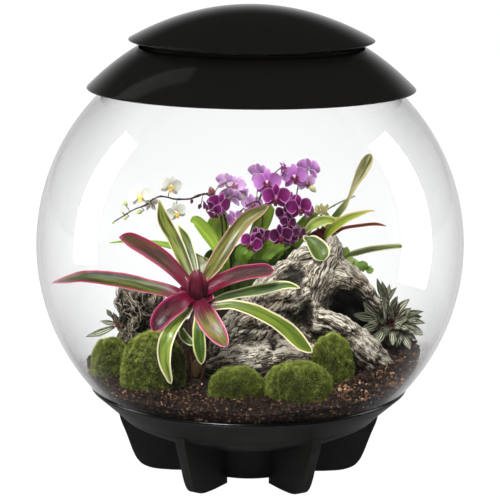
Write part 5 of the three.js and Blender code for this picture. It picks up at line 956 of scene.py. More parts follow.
def make_lid_ring():
    out = [ring_at(t) for t in np.linspace(0.012, 0.985, 40)]
    top = [(131.6, 507.5), (130.8, 507.0), (130.6, 506.2)]
    inner = [offset(ring_at, t, 2.8) for t in np.linspace(0.96, 0.66, 12)]
    flange = fillet([inner[-1], (150.5, 481.8), (108, 481.8), (108, 478.7), (164, 478.7), offset(ring_at, 0.4, 2.8)], [0, 1.5, 0.9, 0.9, 2.5, 0], 4)
    under = [offset(ring_at, t, 2.8) for t in np.linspace(0.38, 0.05, 14)]
    rim = [(187.6, 460.6), (188.6, 459.9), (189.8, 460.0), (190.4, 460.6)]
    profile = out + top + inner + flange[1:-1] + under + rim + [out[0]]
    v, f, vol = turned(profile, 224)
    s = Soup()
    s.add(v, outward(v, f))
    ob = s.piece("lid_lower_dome", [lid_mat])
    v, f, al = tube([(0, 132, 490), (0, 160, 490), (0, 186, 490)], 4.8, 32)
    s = Soup()
    s.add(v, f)
    boolean(ob, s.piece("inlet_bore", []), "DIFFERENCE")
    ob.data.materials.clear()
    ob.data.materials.append(lid_mat.m)
    ob.data.polygons.foreach_set("material_index", np.zeros(len(ob.data.polygons), np.int32))
    ob.data.polygons.foreach_set("use_smooth", np.ones(len(ob.data.polygons), bool))
    ob.data.set_sharp_from_angle(angle=math.radians(35))
    return seat(ob, "lid_plastic", "lid_ring")


make_lid_ring()


def cap_at(t):
    return (142.64 * t, 516.48 + 39.66 * (1 - t * t) + 1.22 * t * t * (1 - t * t))


def make_cap():
    out = [(0.0, cap_at(0)[1])] + [cap_at(t) for t in np.linspace(0.02, 0.992, 60)]
    rim = [(142.3, 516.2), (142.2, 515.6), (141.4, 515.1)]
    low = fillet([(141.4, 515.1), (133, 511.9), (126.7, 510.4), (126.7, 482.2), (123.7, 482.2), (123.7, cap_at(0.867)[1] - 3)], [0, 1.5, 1.2, 0.6, 0.6, 1.5], 4)
    inner = [(cap_at(t)[0], cap_at(t)[1] - 2.9) for t in np.linspace(0.84, 0.02, 30)] + [(0.0, cap_at(0)[1] - 2.9)]
    v, f, vol = turned(out + rim + low[1:] + inner, 224)
    s = Soup()
    s.add(v, outward(v, f))
    return seat(s.piece("lid_upper_dome", [lid_mat], crease=35), "lid_plastic", "lid_cap")


make_cap()

# the lamp's opal cover, a channelled ring, and the parts that stand inside the closed lid
plain_turn("lamp_cover", fillet([(60, 481.8), (60, 470), (100, 470), (100, 481.8), (98, 481.8), (98, 472), (62, 472), (62, 481.8), (60, 481.8)],
                                [0, 2.2, 2.2, 0.4, 0.4, 1.2, 1.2, 0.4, 0], 5), lens_mat, "lamp_diffuser", "lamp_lens")


def softened(name, node, mat, slot_name, width=0.5):
    """A copy of a moulded part with its edges eased."""
    ob = frame["nodes"][node].copy()
    ob.data = ob.data.copy()
    ob.name = name
    ob.parent = None
    for k in list(ob.keys()):
        del ob[k]
    bpy.context.scene.collection.objects.link(ob)
    bm = bmesh.new()
    bm.from_mesh(ob.data)
    bmesh.ops.remove_doubles(bm, verts=bm.verts, dist=1e-6)
    bmesh.ops.dissolve_limit(bm, angle_limit=math.radians(2), verts=bm.verts, edges=bm.edges)
    sharp = [e for e in bm.edges if len(e.link_faces) == 2 and e.calc_face_angle(0) > math.radians(40)]
    bmesh.ops.bevel(bm, geom=sharp, offset=width * 0.001, offset_type="OFFSET", segments=2, profile=0.5, affect="EDGES", clamp_overlap=True)
    bm.to_mesh(ob.data)
    bm.free()
    ob.data.materials.clear()
    ob.data.materials.append(mat.m)
    for p in ob.data.polygons:
        p.material_index = 0
        p.use_smooth = True
    ob.data.set_sharp_from_angle(angle=math.radians(35))
    return seat(ob, slot_name, node)


softened("lamp_tray", "lid_tray", inner_mat, "inner_plastic")
softened("light_board", "lamp_board", board_material(), "lamp_board_white", 0.25)
softened("fan_housing", "fan_frame", fan_mat, "fan_plastic", 0.6)
softened("fan_wheel", "fan_rotor", fan_mat, "fan_plastic", 0.2)
softened("foam_filter", "air_filter", foam_material(), "filter_foam", 1.0)
softened("water_tank", "mist_tank", tank_mat, "tank_plastic", 0.6)
softened("water_tank_cover", "mist_tank_lid", tank_mat, "tank_plastic", 0.6)
softened("mister", "mist_unit", brushed_material(), "mist_metal", 0.4)
softened("power_socket", "power_inlet", fan_mat, "fan_plastic", 0.3)
softened("perforated_plate", "planting_plate", plate_mat, "fan_plastic", 0.5)

# ---------------------------------------------------------------- ground
def soil_height(x, y):
    x, y = np.asarray(x, float), np.asarray(y, float)
    z = 126 + (0.055 + 0.035 * (x / 180)) * (y + 190)
    z = z + 60 * np.exp(-((x / 62) ** 2) - ((y - 68) / 46) ** 2)
    z = z + 55 * np.exp(-(((x - 85) / 50) ** 2) - ((y - 78) / 48) ** 2)
    return z + 1.6 * np.sin(x / 17 + 1.3) * np.cos(y / 21) + 1.1 * np.sin(y / 9 + x / 31)


def soil_material():
    m = Mat("soil")
    tone = m.attr("tone")
    p = m.where()
    grain = m.noise(p, 420.0, 4, 0.65)
    patch = m.noise(p, 28.0, 3)
    v = m.math("ADD", tone, m.math("MULTIPLY_ADD", grain, 0.5, -0.25))
    v = m.math("ADD", v, m.math("MULTIPLY_ADD", patch, 0.3, -0.15))
    colour = m.ramp(v, [(0.02, srgb(12, 8, 6)), (0.3, srgb(38, 25, 18)), (0.56, srgb(80, 54, 38)), (0.8, srgb(136, 98, 70)), (1.0, srgb(208, 174, 140))])
    m.put(Base_Color=colour, Roughness=m.math("MULTIPLY_ADD", grain, 0.4, 0.5))
    m.b.inputs["Specular IOR Level"].default_value = 0.35
    m.put(Normal=m.bump(m.noise(p, 700.0, 3, 0.7), 0.0006, 0.9))
    return m


soil_mat = soil_material()


def edge_radius(th, raise_z=0.0):
    r = np.full_like(th, 195.0)
    for _ in range(12):
        z = soil_height(r * np.cos(th), r * np.sin(th)) + raise_z
        r = np.sqrt(np.maximum((INNER_R - 0.8) ** 2 - (z - GLOBE_Z) ** 2, 1))
    return r


def make_soil():
    rings, spokes, sides = 84, 420, 26
    th = np.linspace(0, 2 * np.pi, spokes, endpoint=False)
    re = edge_radius(th)
    fr = np.linspace(0, 1, rings + 1)[1:] ** 0.85
    r = fr[:, None] * re[None]
    x, y = r * np.cos(th), r * np.sin(th)
    z = soil_height(x, y)
    q = np.stack([x, y, z], -1).reshape(-1, 3)
    d = fbm(q / 9.0, 3, 0.55, 3) * 1.5 + fbm(q / 3.2, 2, 0.6, 4) * 0.9
    fade = np.repeat(np.clip((1 - fr) * 14, 0, 1), spokes)
    q[:, 2] += d * (0.25 + 0.75 * fade) - 0.9
    top_edge = q[-spokes:]
    zs = np.linspace(0, 1, sides + 1)[1:, None]
    z_side = top_edge[None, :, 2] * (1 - zs) + 80.3 * zs
    side_r = np.sqrt((INNER_R - 0.8) ** 2 - (z_side - GLOBE_Z) ** 2)
    s3 = np.stack([side_r * np.cos(th), side_r * np.sin(th), z_side], -1).reshape(-1, 3)
    dent = np.clip(fbm(s3 / 4.0, 3, 0.6, 6), 0, 1) * 1.6
    s3 = s3 - unit(s3 - np.array([0, 0, GLOBE_Z])) * dent[:, None]
    v = np.vstack([[[0, 0, float(soil_height(0, 0)) - 0.9]], q, s3, [[0, 0, 80.3]]])
    body = grid(rings + sides, spokes, wrap=True) + 1
    k = np.arange(spokes)
    k1 = (k + 1) % spokes
    last = 1 + (rings + sides - 1) * spokes
    caps = np.vstack([np.stack([np.zeros(spokes, int), 1 + k, 1 + k1], 1), np.stack([np.full(spokes, len(v) - 1), last + k1, last + k], 1)])
    s = Soup()
    f = outward(v, [body, caps])
    s.add(v, f, tone=np.clip(0.16 + 0.22 * fbm(v / 6.0, 3, 0.6, 8), 0.02, 0.6))
    seat(s.piece("soil_bed", [soil_mat]), "soil", "soil")
    # loose grains of bark and peat on top and pressed against the glass
    rng = np.random.default_rng(11)
    n = 14500 if FINE else 7600
    a = rng.uniform(0, 2 * np.pi, n * 3)
    rr = np.sqrt(rng.uniform(0, 1, n * 3)) * edge_radius(a)
    px, py = rr * np.cos(a), rr * np.sin(a)
    keep = rng.uniform(0, 1, n * 3) < np.where(py < -60, 1.0, np.where(px > 60, 0.62, 0.42))
    px, py = px[keep][:n], py[keep][:n]
    size = rng.gamma(3.0, 0.62, len(px)) + 0.7
    size = np.clip(size * (1 + 0.45 * smooth(50, 110, px)), 0.9, 7.0)
    at = np.stack([px, py, soil_height(px, py) + size * rng.uniform(-0.25, 0.4, len(px)) - 0.3], 1)
    # grain tone: lighter towards the right and left, and darker across the middle, where it is painted shade
    tone = np.clip(rng.beta(1.05, 2.5, len(px)) + 0.01 + 0.09 * smooth(50, 110, px) + 0.05 * smooth(-50, -110, px) - 0.13 * np.exp(-((px / 60) ** 2)), 0, 1)
    for k in (0, 1):
        v, f = crumbs(rng, at[k::2], size[k::2])
        s = Soup()
        s.add(in_glass(v, 0.6), f, tone=np.repeat(tone[k::2], 12))
        seat(s.piece("soil_grains_%d" % (k + 1), [soil_mat], flat=True), "soil")
    s = Soup()
    m = 5200 if FINE else 3200
    a = rng.uniform(0, 2 * np.pi, m)
    ze = soil_height(edge_radius(a) * np.cos(a), edge_radius(a) * np.sin(a))
    zz = ze - rng.uniform(0, 1, m) ** 1.25 * (ze - 104)
    rad = np.sqrt((INNER_R - 1.4) ** 2 - (zz - GLOBE_Z) ** 2)
    size = np.clip(rng.gamma(3.0, 0.9, m) + 1.0, 1.2, 6.0)
    v, f = crumbs(rng, np.stack([rad * np.cos(a), rad * np.sin(a), zz], 1), size)
    s.add(in_glass(v, 0.6), f, tone=np.repeat(np.clip(rng.beta(1.4, 2.4, m), 0, 1), 12))
    seat(s.piece("soil_grains_side", [soil_mat], flat=True), "soil")
    # bark fibres and chips, longer than the grains
    m = 900 if FINE else 500
    a = rng.uniform(0, 2 * np.pi, m)
    rr = np.sqrt(rng.uniform(0, 1, m)) * (edge_radius(a) - 5)
    s = Soup()
    for k in range(m):
        x, y = rr[k] * math.cos(a[k]), rr[k] * math.sin(a[k])
        l, b = rng.uniform(3, 11), rng.uniform(0, 2 * np.pi)
        d = np.array([math.cos(b), math.sin(b), rng.uniform(-0.25, 0.35)])
        t = np.linspace(-0.5, 0.5, 4)[:, None]
        path = np.array([x, y, float(soil_height(x, y)) + rng.uniform(0.2, 1.6)]) + d * t * l + np.array([0, 0, rng.uniform(0, 0.12) * l]) * (1 - 4 * t * t)
        w = rng.uniform(0.2, 0.55)
        v, f, al = tube(path, [w * 0.5, w, w, w * 0.4], 5)
        s.add(in_glass(v, 0.6), f, tone=rng.beta(1.4, 1.9))
    seat(s.piece("bark_fibres", [soil_mat]), "soil")


make_soil()


# ---------------------------------------------------------------- moss
def moss_material():
    m = Mat("moss")
    tip, tone = m.attr("tip"), m.attr("tone")
    p = m.where()
    v = m.math("ADD", m.math("MULTIPLY", tip, 0.6), m.math("MULTIPLY", tone, 0.5))
    v = m.math("ADD", v, m.math("MULTIPLY_ADD", m.noise(p, 260.0, 2), 0.2, -0.1))
    green = m.ramp(v, [(0.0, srgb(18, 20, 8)), (0.25, srgb(58, 66, 24)), (0.5, srgb(104, 116, 46)), (0.8, srgb(156, 168, 74)), (1.0, srgb(206, 212, 120))])
    brown = m.step(m.noise(p, 55.0, 3), 0.62, 0.74, 0.0, 0.5)
    m.put(Base_Color=m.mix(brown, green, srgb(92, 82, 34)), Roughness=m.math("MULTIPLY_ADD", tone, 0.2, 0.62))
    m.b.inputs["Specular IOR Level"].default_value = 0.25
    m.b.inputs["Subsurface Weight"].default_value = 0.18
    m.b.inputs["Subsurface Radius"].default_value = (0.6, 1.0, 0.3)
    m.b.inputs["Subsurface Scale"].default_value = 0.002
    return m


moss_mat = moss_material()


def moss_shape(d, r, seed, cleft):
    """Distance out from the centre in each direction d, in parts of the cushion's radii."""
    k = 1 + 0.055 * fbm(d * 2.6 + seed, 3, 0.55, seed) + 0.05 * np.abs(d[:, 2]) ** 2 * (1 - d[:, 2] ** 2) + 0.022 * fbm(d * 9.0, 2, 0.5, seed + 5)
    h = np.hypot(d[:, 0], d[:, 1])
    k = k * (h ** 2.45 + np.abs(d[:, 2]) ** 2.45) ** (-1 / 2.45)
    if cleft is not None:
        g = np.abs(d @ unit(cleft[:3]) - cleft[3])
        k = k - 0.09 * np.exp(-((g / 0.06) ** 2))
    return k


def make_moss(name, node, c, r, seed, cleft=None, bright=0.0):
    rng = np.random.default_rng(seed)
    c, r = np.array(c, float), np.array(r, float)
    rows, cols = 70, 110
    ph = np.linspace(0, np.pi, rows + 1)[1:-1]
    th = np.linspace(0, 2 * np.pi, cols, endpoint=False)
    d = np.stack(np.broadcast_arrays(np.sin(ph)[:, None] * np.cos(th), np.sin(ph)[:, None] * np.sin(th), np.cos(ph)[:, None]), -1).reshape(-1, 3)
    body = c + d * (r - 1.8) * moss_shape(d, r, seed, cleft)[:, None]
    ends = np.array([[0, 0, 1.0], [0, 0, -1.0]])
    poles = c + ends * (r - 1.8) * moss_shape(ends, r, seed, cleft)[:, None]
    v = np.vstack([body, poles])
    n = len(body)
    k = np.arange(cols)
    k1 = (k + 1) % cols
    last = (rows - 2) * cols
    f = outward(v, [grid(rows - 1, cols, wrap=True), np.vstack([np.stack([np.full(cols, n), k, k1], 1), np.stack([np.full(cols, n + 1), last + k1, last + k], 1)])])
    v[:, 2] = np.maximum(v[:, 2], 96)
    s = Soup()
    s.add(in_glass(v, 0.8), f, tip=0.05, tone=0.1)
    count = int((38000 if FINE else 20000) * min(1.25, (r[0] * r[2]) / 1300) + 6000)
    d = unit(rng.normal(size=(count * 2, 3)))
    d[:, 2] = np.abs(d[:, 2]) * np.where(rng.uniform(size=len(d)) < 0.12, -0.35, 1)
    d = unit(d)
    k = moss_shape(d, r, seed, cleft)
    p = c + d * (r - 1.9) * k[:, None]
    ok = p[:, 2] > soil_height(p[:, 0], p[:, 1]) - 1.5
    ok &= np.linalg.norm(p - np.array([0, 0, GLOBE_Z]), axis=1) < INNER_R - 3
    d, p, k = d[ok][:count], p[ok][:count], k[ok][:count]
    count = len(p)
    nrm = unit(d / r)
    clump = fbm(p / 5.5, 2, 0.6, seed + 2)
    lean = unit(nrm + 0.55 * rng.normal(size=(count, 3)) + 0.35 * np.stack([noise(p / 6, 41 + seed), noise(p / 6, 42 + seed), noise(p / 6, 43 + seed)], 1))
    length = (2.5 + 1.3 * rng.random(count) + 1.1 * clump + np.where(rng.random(count) < 0.06, 1.6, 0))[:, None]
    side = unit(np.cross(lean, rng.normal(size=(count, 3))))
    width = rng.uniform(0.22, 0.4, count)[:, None]
    bow = unit(np.cross(side, lean)) * length * rng.uniform(-0.25, 0.25, count)[:, None]
    root = p - nrm * 0.6
    quad = np.stack([root - side * width * 0.5, root + side * width * 0.5, root + lean * length * 0.55 + bow * 0.4 + side * width * 0.4,
                     root + lean * length * 0.55 + bow * 0.4 - side * width * 0.4, root + lean * length + bow], 1)
    base = (np.arange(count) * 5)[:, None]
    faces = [base + np.array([[0, 1, 2, 3]]), base + np.array([[3, 2, 4]])]
    # blades facing up are painted lighter and those facing +x darker: painted light and shade
    lit = 0.5 * (nrm[:, 2] - 0.5) - 0.14 * nrm[:, 0]
    tone = np.clip(0.34 + bright + lit + 0.46 * clump + 0.2 * rng.normal(size=count) + 0.34 * fbm(p / 16, 2, 0.5, seed + 8), 0, 1.2)
    s.add(in_glass(quad.reshape(-1, 3), 0.7), faces, tip=np.tile([0.1, 0.1, 0.6, 0.6, 1.0], count), tone=np.repeat(tone, 5))
    return seat(s.piece(name, [moss_mat]), "moss", node)


MOSS["moss_left_large"] = ([-109.0, -86, 128], [38.0, 34, 60.2])
MOSS["moss_front_right"] = ([55.5, -122, 126], [39.5, 34, 38.9])
MOSS["moss_right"] = ([95.5, -70, 128], [26.0, 24, 56.5])
for i, (key, (c, r)) in enumerate(MOSS.items()):
    make_moss(key.replace("moss_", "moss_cushion_"), key, c, r, 100 + i * 13,
              cleft=(0.5, -0.1, 0.85, 0.62) if key == "moss_left_small" else (0.75, -0.55, 0.35, 0.05) if key == "moss_front_right" else None,
              bright={"moss_left_large": 0.1, "moss_left_small": 0.08, "moss_centre": -0.2, "moss_front_right": -0.1}.get(key, 0.06))


# ---------------------------------------------------------------- driftwood and root clump
def limb_coords(v, line):
    """Along, and two cross coordinates, of points beside a limb, with their distance to its surface."""
    c = line[:, :3]
    t = unit(np.gradient(c, axis=0))
    side = np.zeros_like(c)
    side[0] = unit(np.cross(t[0], [0.3, 0.2, 1.0]))
    for i in range(1, len(c)):
        side[i] = unit(side[i - 1] - t[i] * np.dot(side[i - 1], t[i]))
    up = np.cross(t, side)
    s_at = np.concatenate([[0], np.cumsum(np.linalg.norm(np.diff(c, axis=0), axis=1))])
    best = np.full(len(v), 1e9)
    out = np.zeros((len(v), 3))
    for i in range(len(c) - 1):
        d = c[i + 1] - c[i]
        u = ((v - c[i]) @ d) / (d @ d)
        uu = np.clip(u, 0, 1)
        q = v - c[i] - uu[:, None] * d
        dist = np.linalg.norm(q, axis=1)
        gap = dist - (line[i, 3] + (line[i + 1, 3] - line[i, 3]) * uu)
        sd = unit(side[i] * (1 - uu)[:, None] + side[i + 1] * uu[:, None])
        ud = unit(up[i] * (1 - uu)[:, None] + up[i + 1] * uu[:, None])
        s = s_at[i] + uu * (s_at[i + 1] - s_at[i])
        m = gap < best
        best = np.where(m, gap, best)
        out[m] = np.stack([s, np.sum(q * sd, 1), np.sum(q * ud, 1)], 1)[m]
    return out, best


def wood_material():
    m = Mat("driftwood")
    groove, fine, stain = m.attr("groove"), m.attr("fine"), m.attr("stain")
    q = m.join(m.math("MULTIPLY", m.attr("gs"), 0.024), m.attr("gx"), m.attr("gy"))
    streak = m.noise(q, 0.4, 3, 0.6)
    hair = m.noise(q, 1.1, 3, 0.65)
    p = m.where()
    # darker where the surface sinks into its grooves: painted shade, over the grain
    v = m.math("ADD", m.math("MULTIPLY", groove, 0.62), m.math("MULTIPLY_ADD", streak, 1.1, -0.5))
    # faces turned up and to the front are lighter: painted light
    v = m.math("MULTIPLY_ADD", m.attr("bleach"), 0.3, v)
    v = m.math("ADD", v, m.math("MULTIPLY_ADD", hair, 0.7, -0.3))
    v = m.math("ADD", v, m.math("MULTIPLY_ADD", m.noise(p, 30.0, 4), 0.4, -0.2))
    # long cracks along the grain, wide and hair fine
    split = m.step(m.math("ABSOLUTE", m.math("SUBTRACT", m.noise(q, 0.26, 2, 0.5, 0.4), 0.5)), 0.012, 0.075)
    thin = m.step(m.math("ABSOLUTE", m.math("SUBTRACT", m.noise(q, 0.62, 2, 0.5, 0.5), 0.5)), 0.01, 0.07)
    cracks = m.math("MULTIPLY", m.math("MULTIPLY_ADD", split, 0.6, 0.4), m.math("MULTIPLY_ADD", thin, 0.4, 0.6))
    v = m.math("MULTIPLY_ADD", v, 1.4, -0.215)
    v = m.math("MULTIPLY", v, m.math("MULTIPLY_ADD", cracks, 0.88, 0.12))
    pale = m.ramp(v, [(0.1, srgb(14, 11, 9)), (0.28, srgb(58, 49, 40)), (0.46, srgb(122, 110, 94)), (0.64, srgb(178, 167, 148)), (0.9, srgb(232, 224, 208))])
    warm = m.mix(0.75, pale, srgb(170, 138, 104), "MULTIPLY")
    tan = m.mix(m.math("MULTIPLY", m.step(m.noise(p, 16.0, 3), 0.42, 0.66), 0.35), pale, warm)
    # near black by stain: real stains, and painted shade in hollows, grooves and the cavity
    m.put(Base_Color=m.mix(stain, tan, srgb(15, 13, 10)), Roughness=m.math("MULTIPLY_ADD", streak, 0.25, 0.62))
    m.b.inputs["Specular IOR Level"].default_value = 0.3
    h = m.math("ADD", m.math("ADD", m.math("MULTIPLY", streak, 0.6), m.math("MULTIPLY", hair, 0.4)), m.math("MULTIPLY", cracks, 0.8))
    m.put(Normal=m.bump(h, 0.004, 0.9, m.bump(m.noise(p, 900.0, 2), 0.0004, 0.4)))
    return m


def make_driftwood():
    step = 1.25 if FINE else 2.0
    limbs = {k: [list(x) for x in v] for k, v in DRIFTWOOD.items()}
    limbs["body"][-1] = [96.0, 14.0, 238.0, 13.0]
    limbs["inner"] = [[92, 34, 214, 18], [112, 40, 200, 20], [128, 40, 180, 19]]
    limbs["trunk"] = [[95, 8, 266, 9], [86, -6, 251, 13], [76, -15, 234, 14.5], [69, -21, 214, 13], [72, -29, 199, 12]]
    limbs["wing"] = [[86, 4, 262, 10], [64, 0, 260, 9], [45, -8, 250, 9], [31, -15, 237, 8], [20, -22, 222, 7]]
    limbs["leg"][0] = [66.0, -25.0, 196.0, 13.5]
    limbs["foot"] = [[112, -40, 177, 11], [126, -42, 160, 12.5], [140, -40, 148, 11.5], [153, -34, 141, 8], [165, -28, 136, 4]]
    limbs["ledge"] = [[x, y - 9, z - 2, r + 3] for x, y, z, r in limbs["ledge"]]
    field, lo, axes, lines = blend_limbs(limbs, step, k=7.0)
    near = np.abs(field) < 16
    ids = np.argwhere(near)
    p = lo + ids * step
    lump = fbm(p / 26.0, 3, 0.5, 51) * 3.6 + fbm(p / 9.0, 2, 0.5, 52) * 1.1
    # hollows worn into the wood: between body and leg, at the ledge's end, and long splits
    for c, r, depth in HOLLOWS:
        d = np.linalg.norm((p - np.array(c)) / np.array(r), axis=1)
        lump = lump - depth * np.exp(-(d**2))
    field[near] -= lump.astype(np.float32)
    v, f = surface_nets(field, lo, step)
    v = relax(v, f, 2)
    n = normals(v, f)
    coords, gaps = {}, []
    for name, line in lines.items():
        coords[name], g = limb_coords(v, line)
        gaps.append(g)
    gaps = np.stack(gaps)
    w = np.exp(-np.clip(gaps - gaps.min(0), 0, 60) / 3.0)
    w /= w.sum(0)
    swirl = np.stack([noise(v / 24, 61), noise(v / 24, 62), noise(v / 24, 63)], 1) * 4.2 + np.stack([noise(v / 9, 64), noise(v / 9, 65), noise(v / 9, 66)], 1) * 1.0
    groove, fine = np.zeros(len(v)), np.zeros(len(v))
    for i, name in enumerate(lines):
        q = coords[name] + swirl
        q = q * np.array([0.02, 1.0, 1.0])
        groove += w[i] * (0.62 * ridged(q / 5.2, 2, 70 + i) + 0.55 * ridged(q / 2.5, 2, 170 + i))
        fine += w[i] * noise(q / 1.7 * np.array([1.6, 1, 1]), 80 + i)
    knots = fbm(v / 15.0, 3, 0.5, 91)
    band = np.zeros(len(v))
    stub_line = lines["stub"]
    d_stub = limb_coords(v, stub_line)
    on_stub = np.clip(1 - np.abs(d_stub[1]) / 6, 0, 1) * smooth(6, 14, d_stub[0][:, 0])
    band = on_stub * np.sin(d_stub[0][:, 0] * 2.1 + 2 * noise(v / 6, 5)) * 0.5
    g = np.clip(groove, -1.2, 1)
    g = np.where(g < 0, g * 1.3, g)
    # painted light: lighter where the surface faces up and to the front
    bleach = smooth(0.05, 0.9, n[:, 2] - 0.25 * n[:, 1])
    disp = 2.1 * g + 0.7 * fine + 1.3 * fbm(v / 7, 2, 0.5, 93) + 0.45 * band
    v2 = v + n * disp[:, None] - n * 0.7
    main = np.argmax(w, 0)
    names = list(lines)
    pick = np.stack([coords[k] for k in names])[main, np.arange(len(v))] + swirl
    deep = np.zeros(len(v))
    for c, r, depth in HOLLOWS:
        deep += max(depth, 0) * np.exp(-np.sum(((v - np.array(c)) / np.array(r)) ** 2, 1))
    # darker in the hollows and grooves: painted shade; the broad random patches are stains
    stain = np.clip(0.95 * smooth(2.0, 7.5, deep) + 0.55 * smooth(0.35, 0.9, -g + 0.25 * knots) + 0.3 * smooth(0.3, 0.8, -fbm(v / 20, 2, 0.5, 95)), 0, 0.92)
    patch = 0.35 * fbm(v / 9.0, 2, 0.5, 96)
    for c, r, amount in STAINS_AND_SHADOWS:
        stain = np.maximum(stain, amount * smooth(1.25, 0.55, np.linalg.norm((v - np.array(c)) / np.array(r), axis=1) + patch))
    # dark in the cavity behind the branch: painted shade
    stain = np.maximum(stain, 0.97 * smooth(0, 12, v[:, 1]) * smooth(84, 98, v[:, 0]) * smooth(234, 222, v[:, 2]))
    ground = soil_height(v[:, 0], v[:, 1])
    # darker within 6 mm of the soil
    stain = np.clip(stain + 0.5 * smooth(6, 0, v[:, 2] - ground), 0, 0.97)
    s = Soup()
    s.add(v2, f, bleach=bleach, groove=np.clip(0.5 + 0.5 * g + 0.18 * fine, 0, 1), fine=0.5 + 0.5 * fine, stain=stain, gs=pick[:, 0], gx=pick[:, 1], gy=pick[:, 2])
    return seat(s.piece("driftwood_piece", [wood_material()]), "driftwood", "driftwood")


# centre, radii and depth of the hollows, in mm; then centre, radii and strength of the dark patches: stains on the
# ledge, and painted shade in the hollows and under the leg's arch
HOLLOWS, STAINS_AND_SHADOWS = [], []


def bark_material():
    m = Mat("root_bark")
    p = m.where()
    tone = m.attr("tone")
    line = m.noise(m.scaled(p, (1.0, 1.0, 0.35)), 500.0, 3, 0.65)
    v = m.math("ADD", tone, m.math("MULTIPLY_ADD", line, 0.5, -0.25))
    m.put(Base_Color=m.ramp(v, [(0.0, srgb(8, 7, 5)), (0.34, srgb(40, 35, 28)), (0.58, srgb(104, 95, 81)), (0.8, srgb(160, 150, 132)), (1.0, srgb(204, 194, 174))]), Roughness=m.math("MULTIPLY_ADD", line, 0.2, 0.72))
    m.b.inputs["Specular IOR Level"].default_value = 0.25
    m.put(Normal=m.bump(line, 0.0008, 0.8))
    return m


def make_root_clump():
    step = 1.8
    field, lo, axes, lines = blend_limbs({k: [[a[0], a[1], a[2], a[3] * 0.84] for a in v] for k, v in ROOT_CLUMP.items()}, step, k=8.0)
    near = np.abs(field) < 8
    p = lo + np.argwhere(near) * step
    field[near] -= (fbm(p / 14.0, 3, 0.6, 151) * 3.4).astype(np.float32)
    v, f = surface_nets(field, lo, step)
    v = relax(v, f, 1)
    n = normals(v, f)
    cav = fbm(v / 6.5, 3, 0.6, 152)
    rib = ridged((v + 3.0 * np.stack([noise(v / 13, 160 + k) for k in range(3)], 1)) * np.array([1, 1, 0.3]) / 4.2, 2, 153)
    v = v + n * (2.8 * np.clip(cav, -1, 0.5) + 1.5 * rib)[:, None]
    s = Soup()
    # the bark is painted darker where it sinks into hollows and pits and lighter on its ribs: painted shade
    pit = smooth(-0.25, 0.3, fbm(v / 12.0, 2, 0.5, 154))
    v = v - n * (3.0 * (1 - pit))[:, None]
    s.add(v, f, tone=np.clip((0.3 + 0.4 * rib + 0.45 * cav) * (0.15 + 0.85 * pit), 0, 0.9))
    rng = np.random.default_rng(33)
    tree = KDTree(len(v))
    for i, q in enumerate(v):
        tree.insert(q, i)
    tree.balance()
    lows = v[:, 2].min()
    for k in range(620 if FINE else 320):
        i = rng.integers(len(v))
        pt, d = v[i].copy(), unit(0.55 * np.cross(n[i], rng.normal(size=3)) + np.array([0.1, 0, -0.8]))
        h = rng.uniform(0.2, 2.4)
        path = []
        for j in range(rng.integers(6, 15)):
            _, q, _ = tree.find(pt)
            path.append(v[q] + n[q] * h)
            d = unit(d + 0.2 * rng.normal(size=3))
            d = unit(d - n[q] * np.dot(d, n[q]))
            pt = v[q] + d * rng.uniform(1.8, 3.2)
            h = np.clip(h + rng.normal() * 0.5, 0.1, 3.4)
        path = even(np.array(path), len(path) + 2)
        w = rng.uniform(0.25, 0.75)
        rad = w * (1 - 0.65 * np.linspace(0, 1, len(path)))
        vv, ff, al = tube(path, rad, 4)
        s.add(vv, ff, tone=np.clip(rng.beta(1.8, 1.5) + 0.08, 0, 1))
    return seat(s.piece("root_lump", [bark_material()]), "root_bark", "root_clump")

# centre, radii and depth of the hollows worn into the driftwood
HOLLOWS += [
    ((53, -28, 245), (10, 14, 8), 16),
    ((42, -32, 236), (9, 12, 6), 12),
    ((67, -48, 200), (7, 17, 17), 20),
    ((57, -46, 189), (6, 14, 10), 15),
    ((46, -46, 198), (5, 12, 8), 10),
    ((58, -38, 228), (4, 11, 13), 8),
    ((47, -46, 214), (11, 10, 3.5), 6),
    ((96, -34, 165), (17, 16, 9), 14),
    ((28, -60, 168), (4, 11, 13), 9),
    ((-4, -62, 136), (13, 14, 9), 10),
    ((112, -10, 212), (22, 20, 12), 12),
    ((128, -16, 200), (14, 14, 8), 9),
    ((20, -60, 158), (26, 6, 2.0), 4.5),
    ((8, -50, 185), (16, 8, 2.5), 6),
    ((32, -44, 203), (14, 8, 2.5), 5),
    ((91, -50, 199), (13, 7, 4), -4),
    ((119, -48, 188), (15, 7, 4), -4),
    ((19, -40, 222), (22, 10, 5), -4),
]
# dark patches: painted shade in the hollows and under the leg's arch, and stains streaked over the ledge
STAINS_AND_SHADOWS += [
    ((116, -50, 160), (8, 16, 20), 0.92),
    ((104, -52, 178), (12, 12, 5), 0.7),
    ((52, -34, 240), (13, 14, 10), 0.8),
    ((120, -12, 212), (17, 18, 6), 0.75),
    ((136, -14, 196), (12, 14, 5), 0.7),
    ((36, -46, 182), (16, 12, 4), 0.75),
    ((60, -52, 180), (10, 12, 9), 0.8),
    ((-2, -56, 178), (10, 14, 5), 0.7),
    ((-14, -60, 160), (9, 14, 5), 0.65),
    ((78, -34, 226), (4, 14, 12), 0.6),
    ((18, -62, 151), (20, 12, 2.6), 0.6),
    ((50, -62, 161), (14, 12, 3), 0.6),
    ((-8, -60, 147), (10, 12, 2.6), 0.6),
    ((26, -54, 171), (9, 14, 3), 0.65),
]
make_driftwood()
make_root_clump()


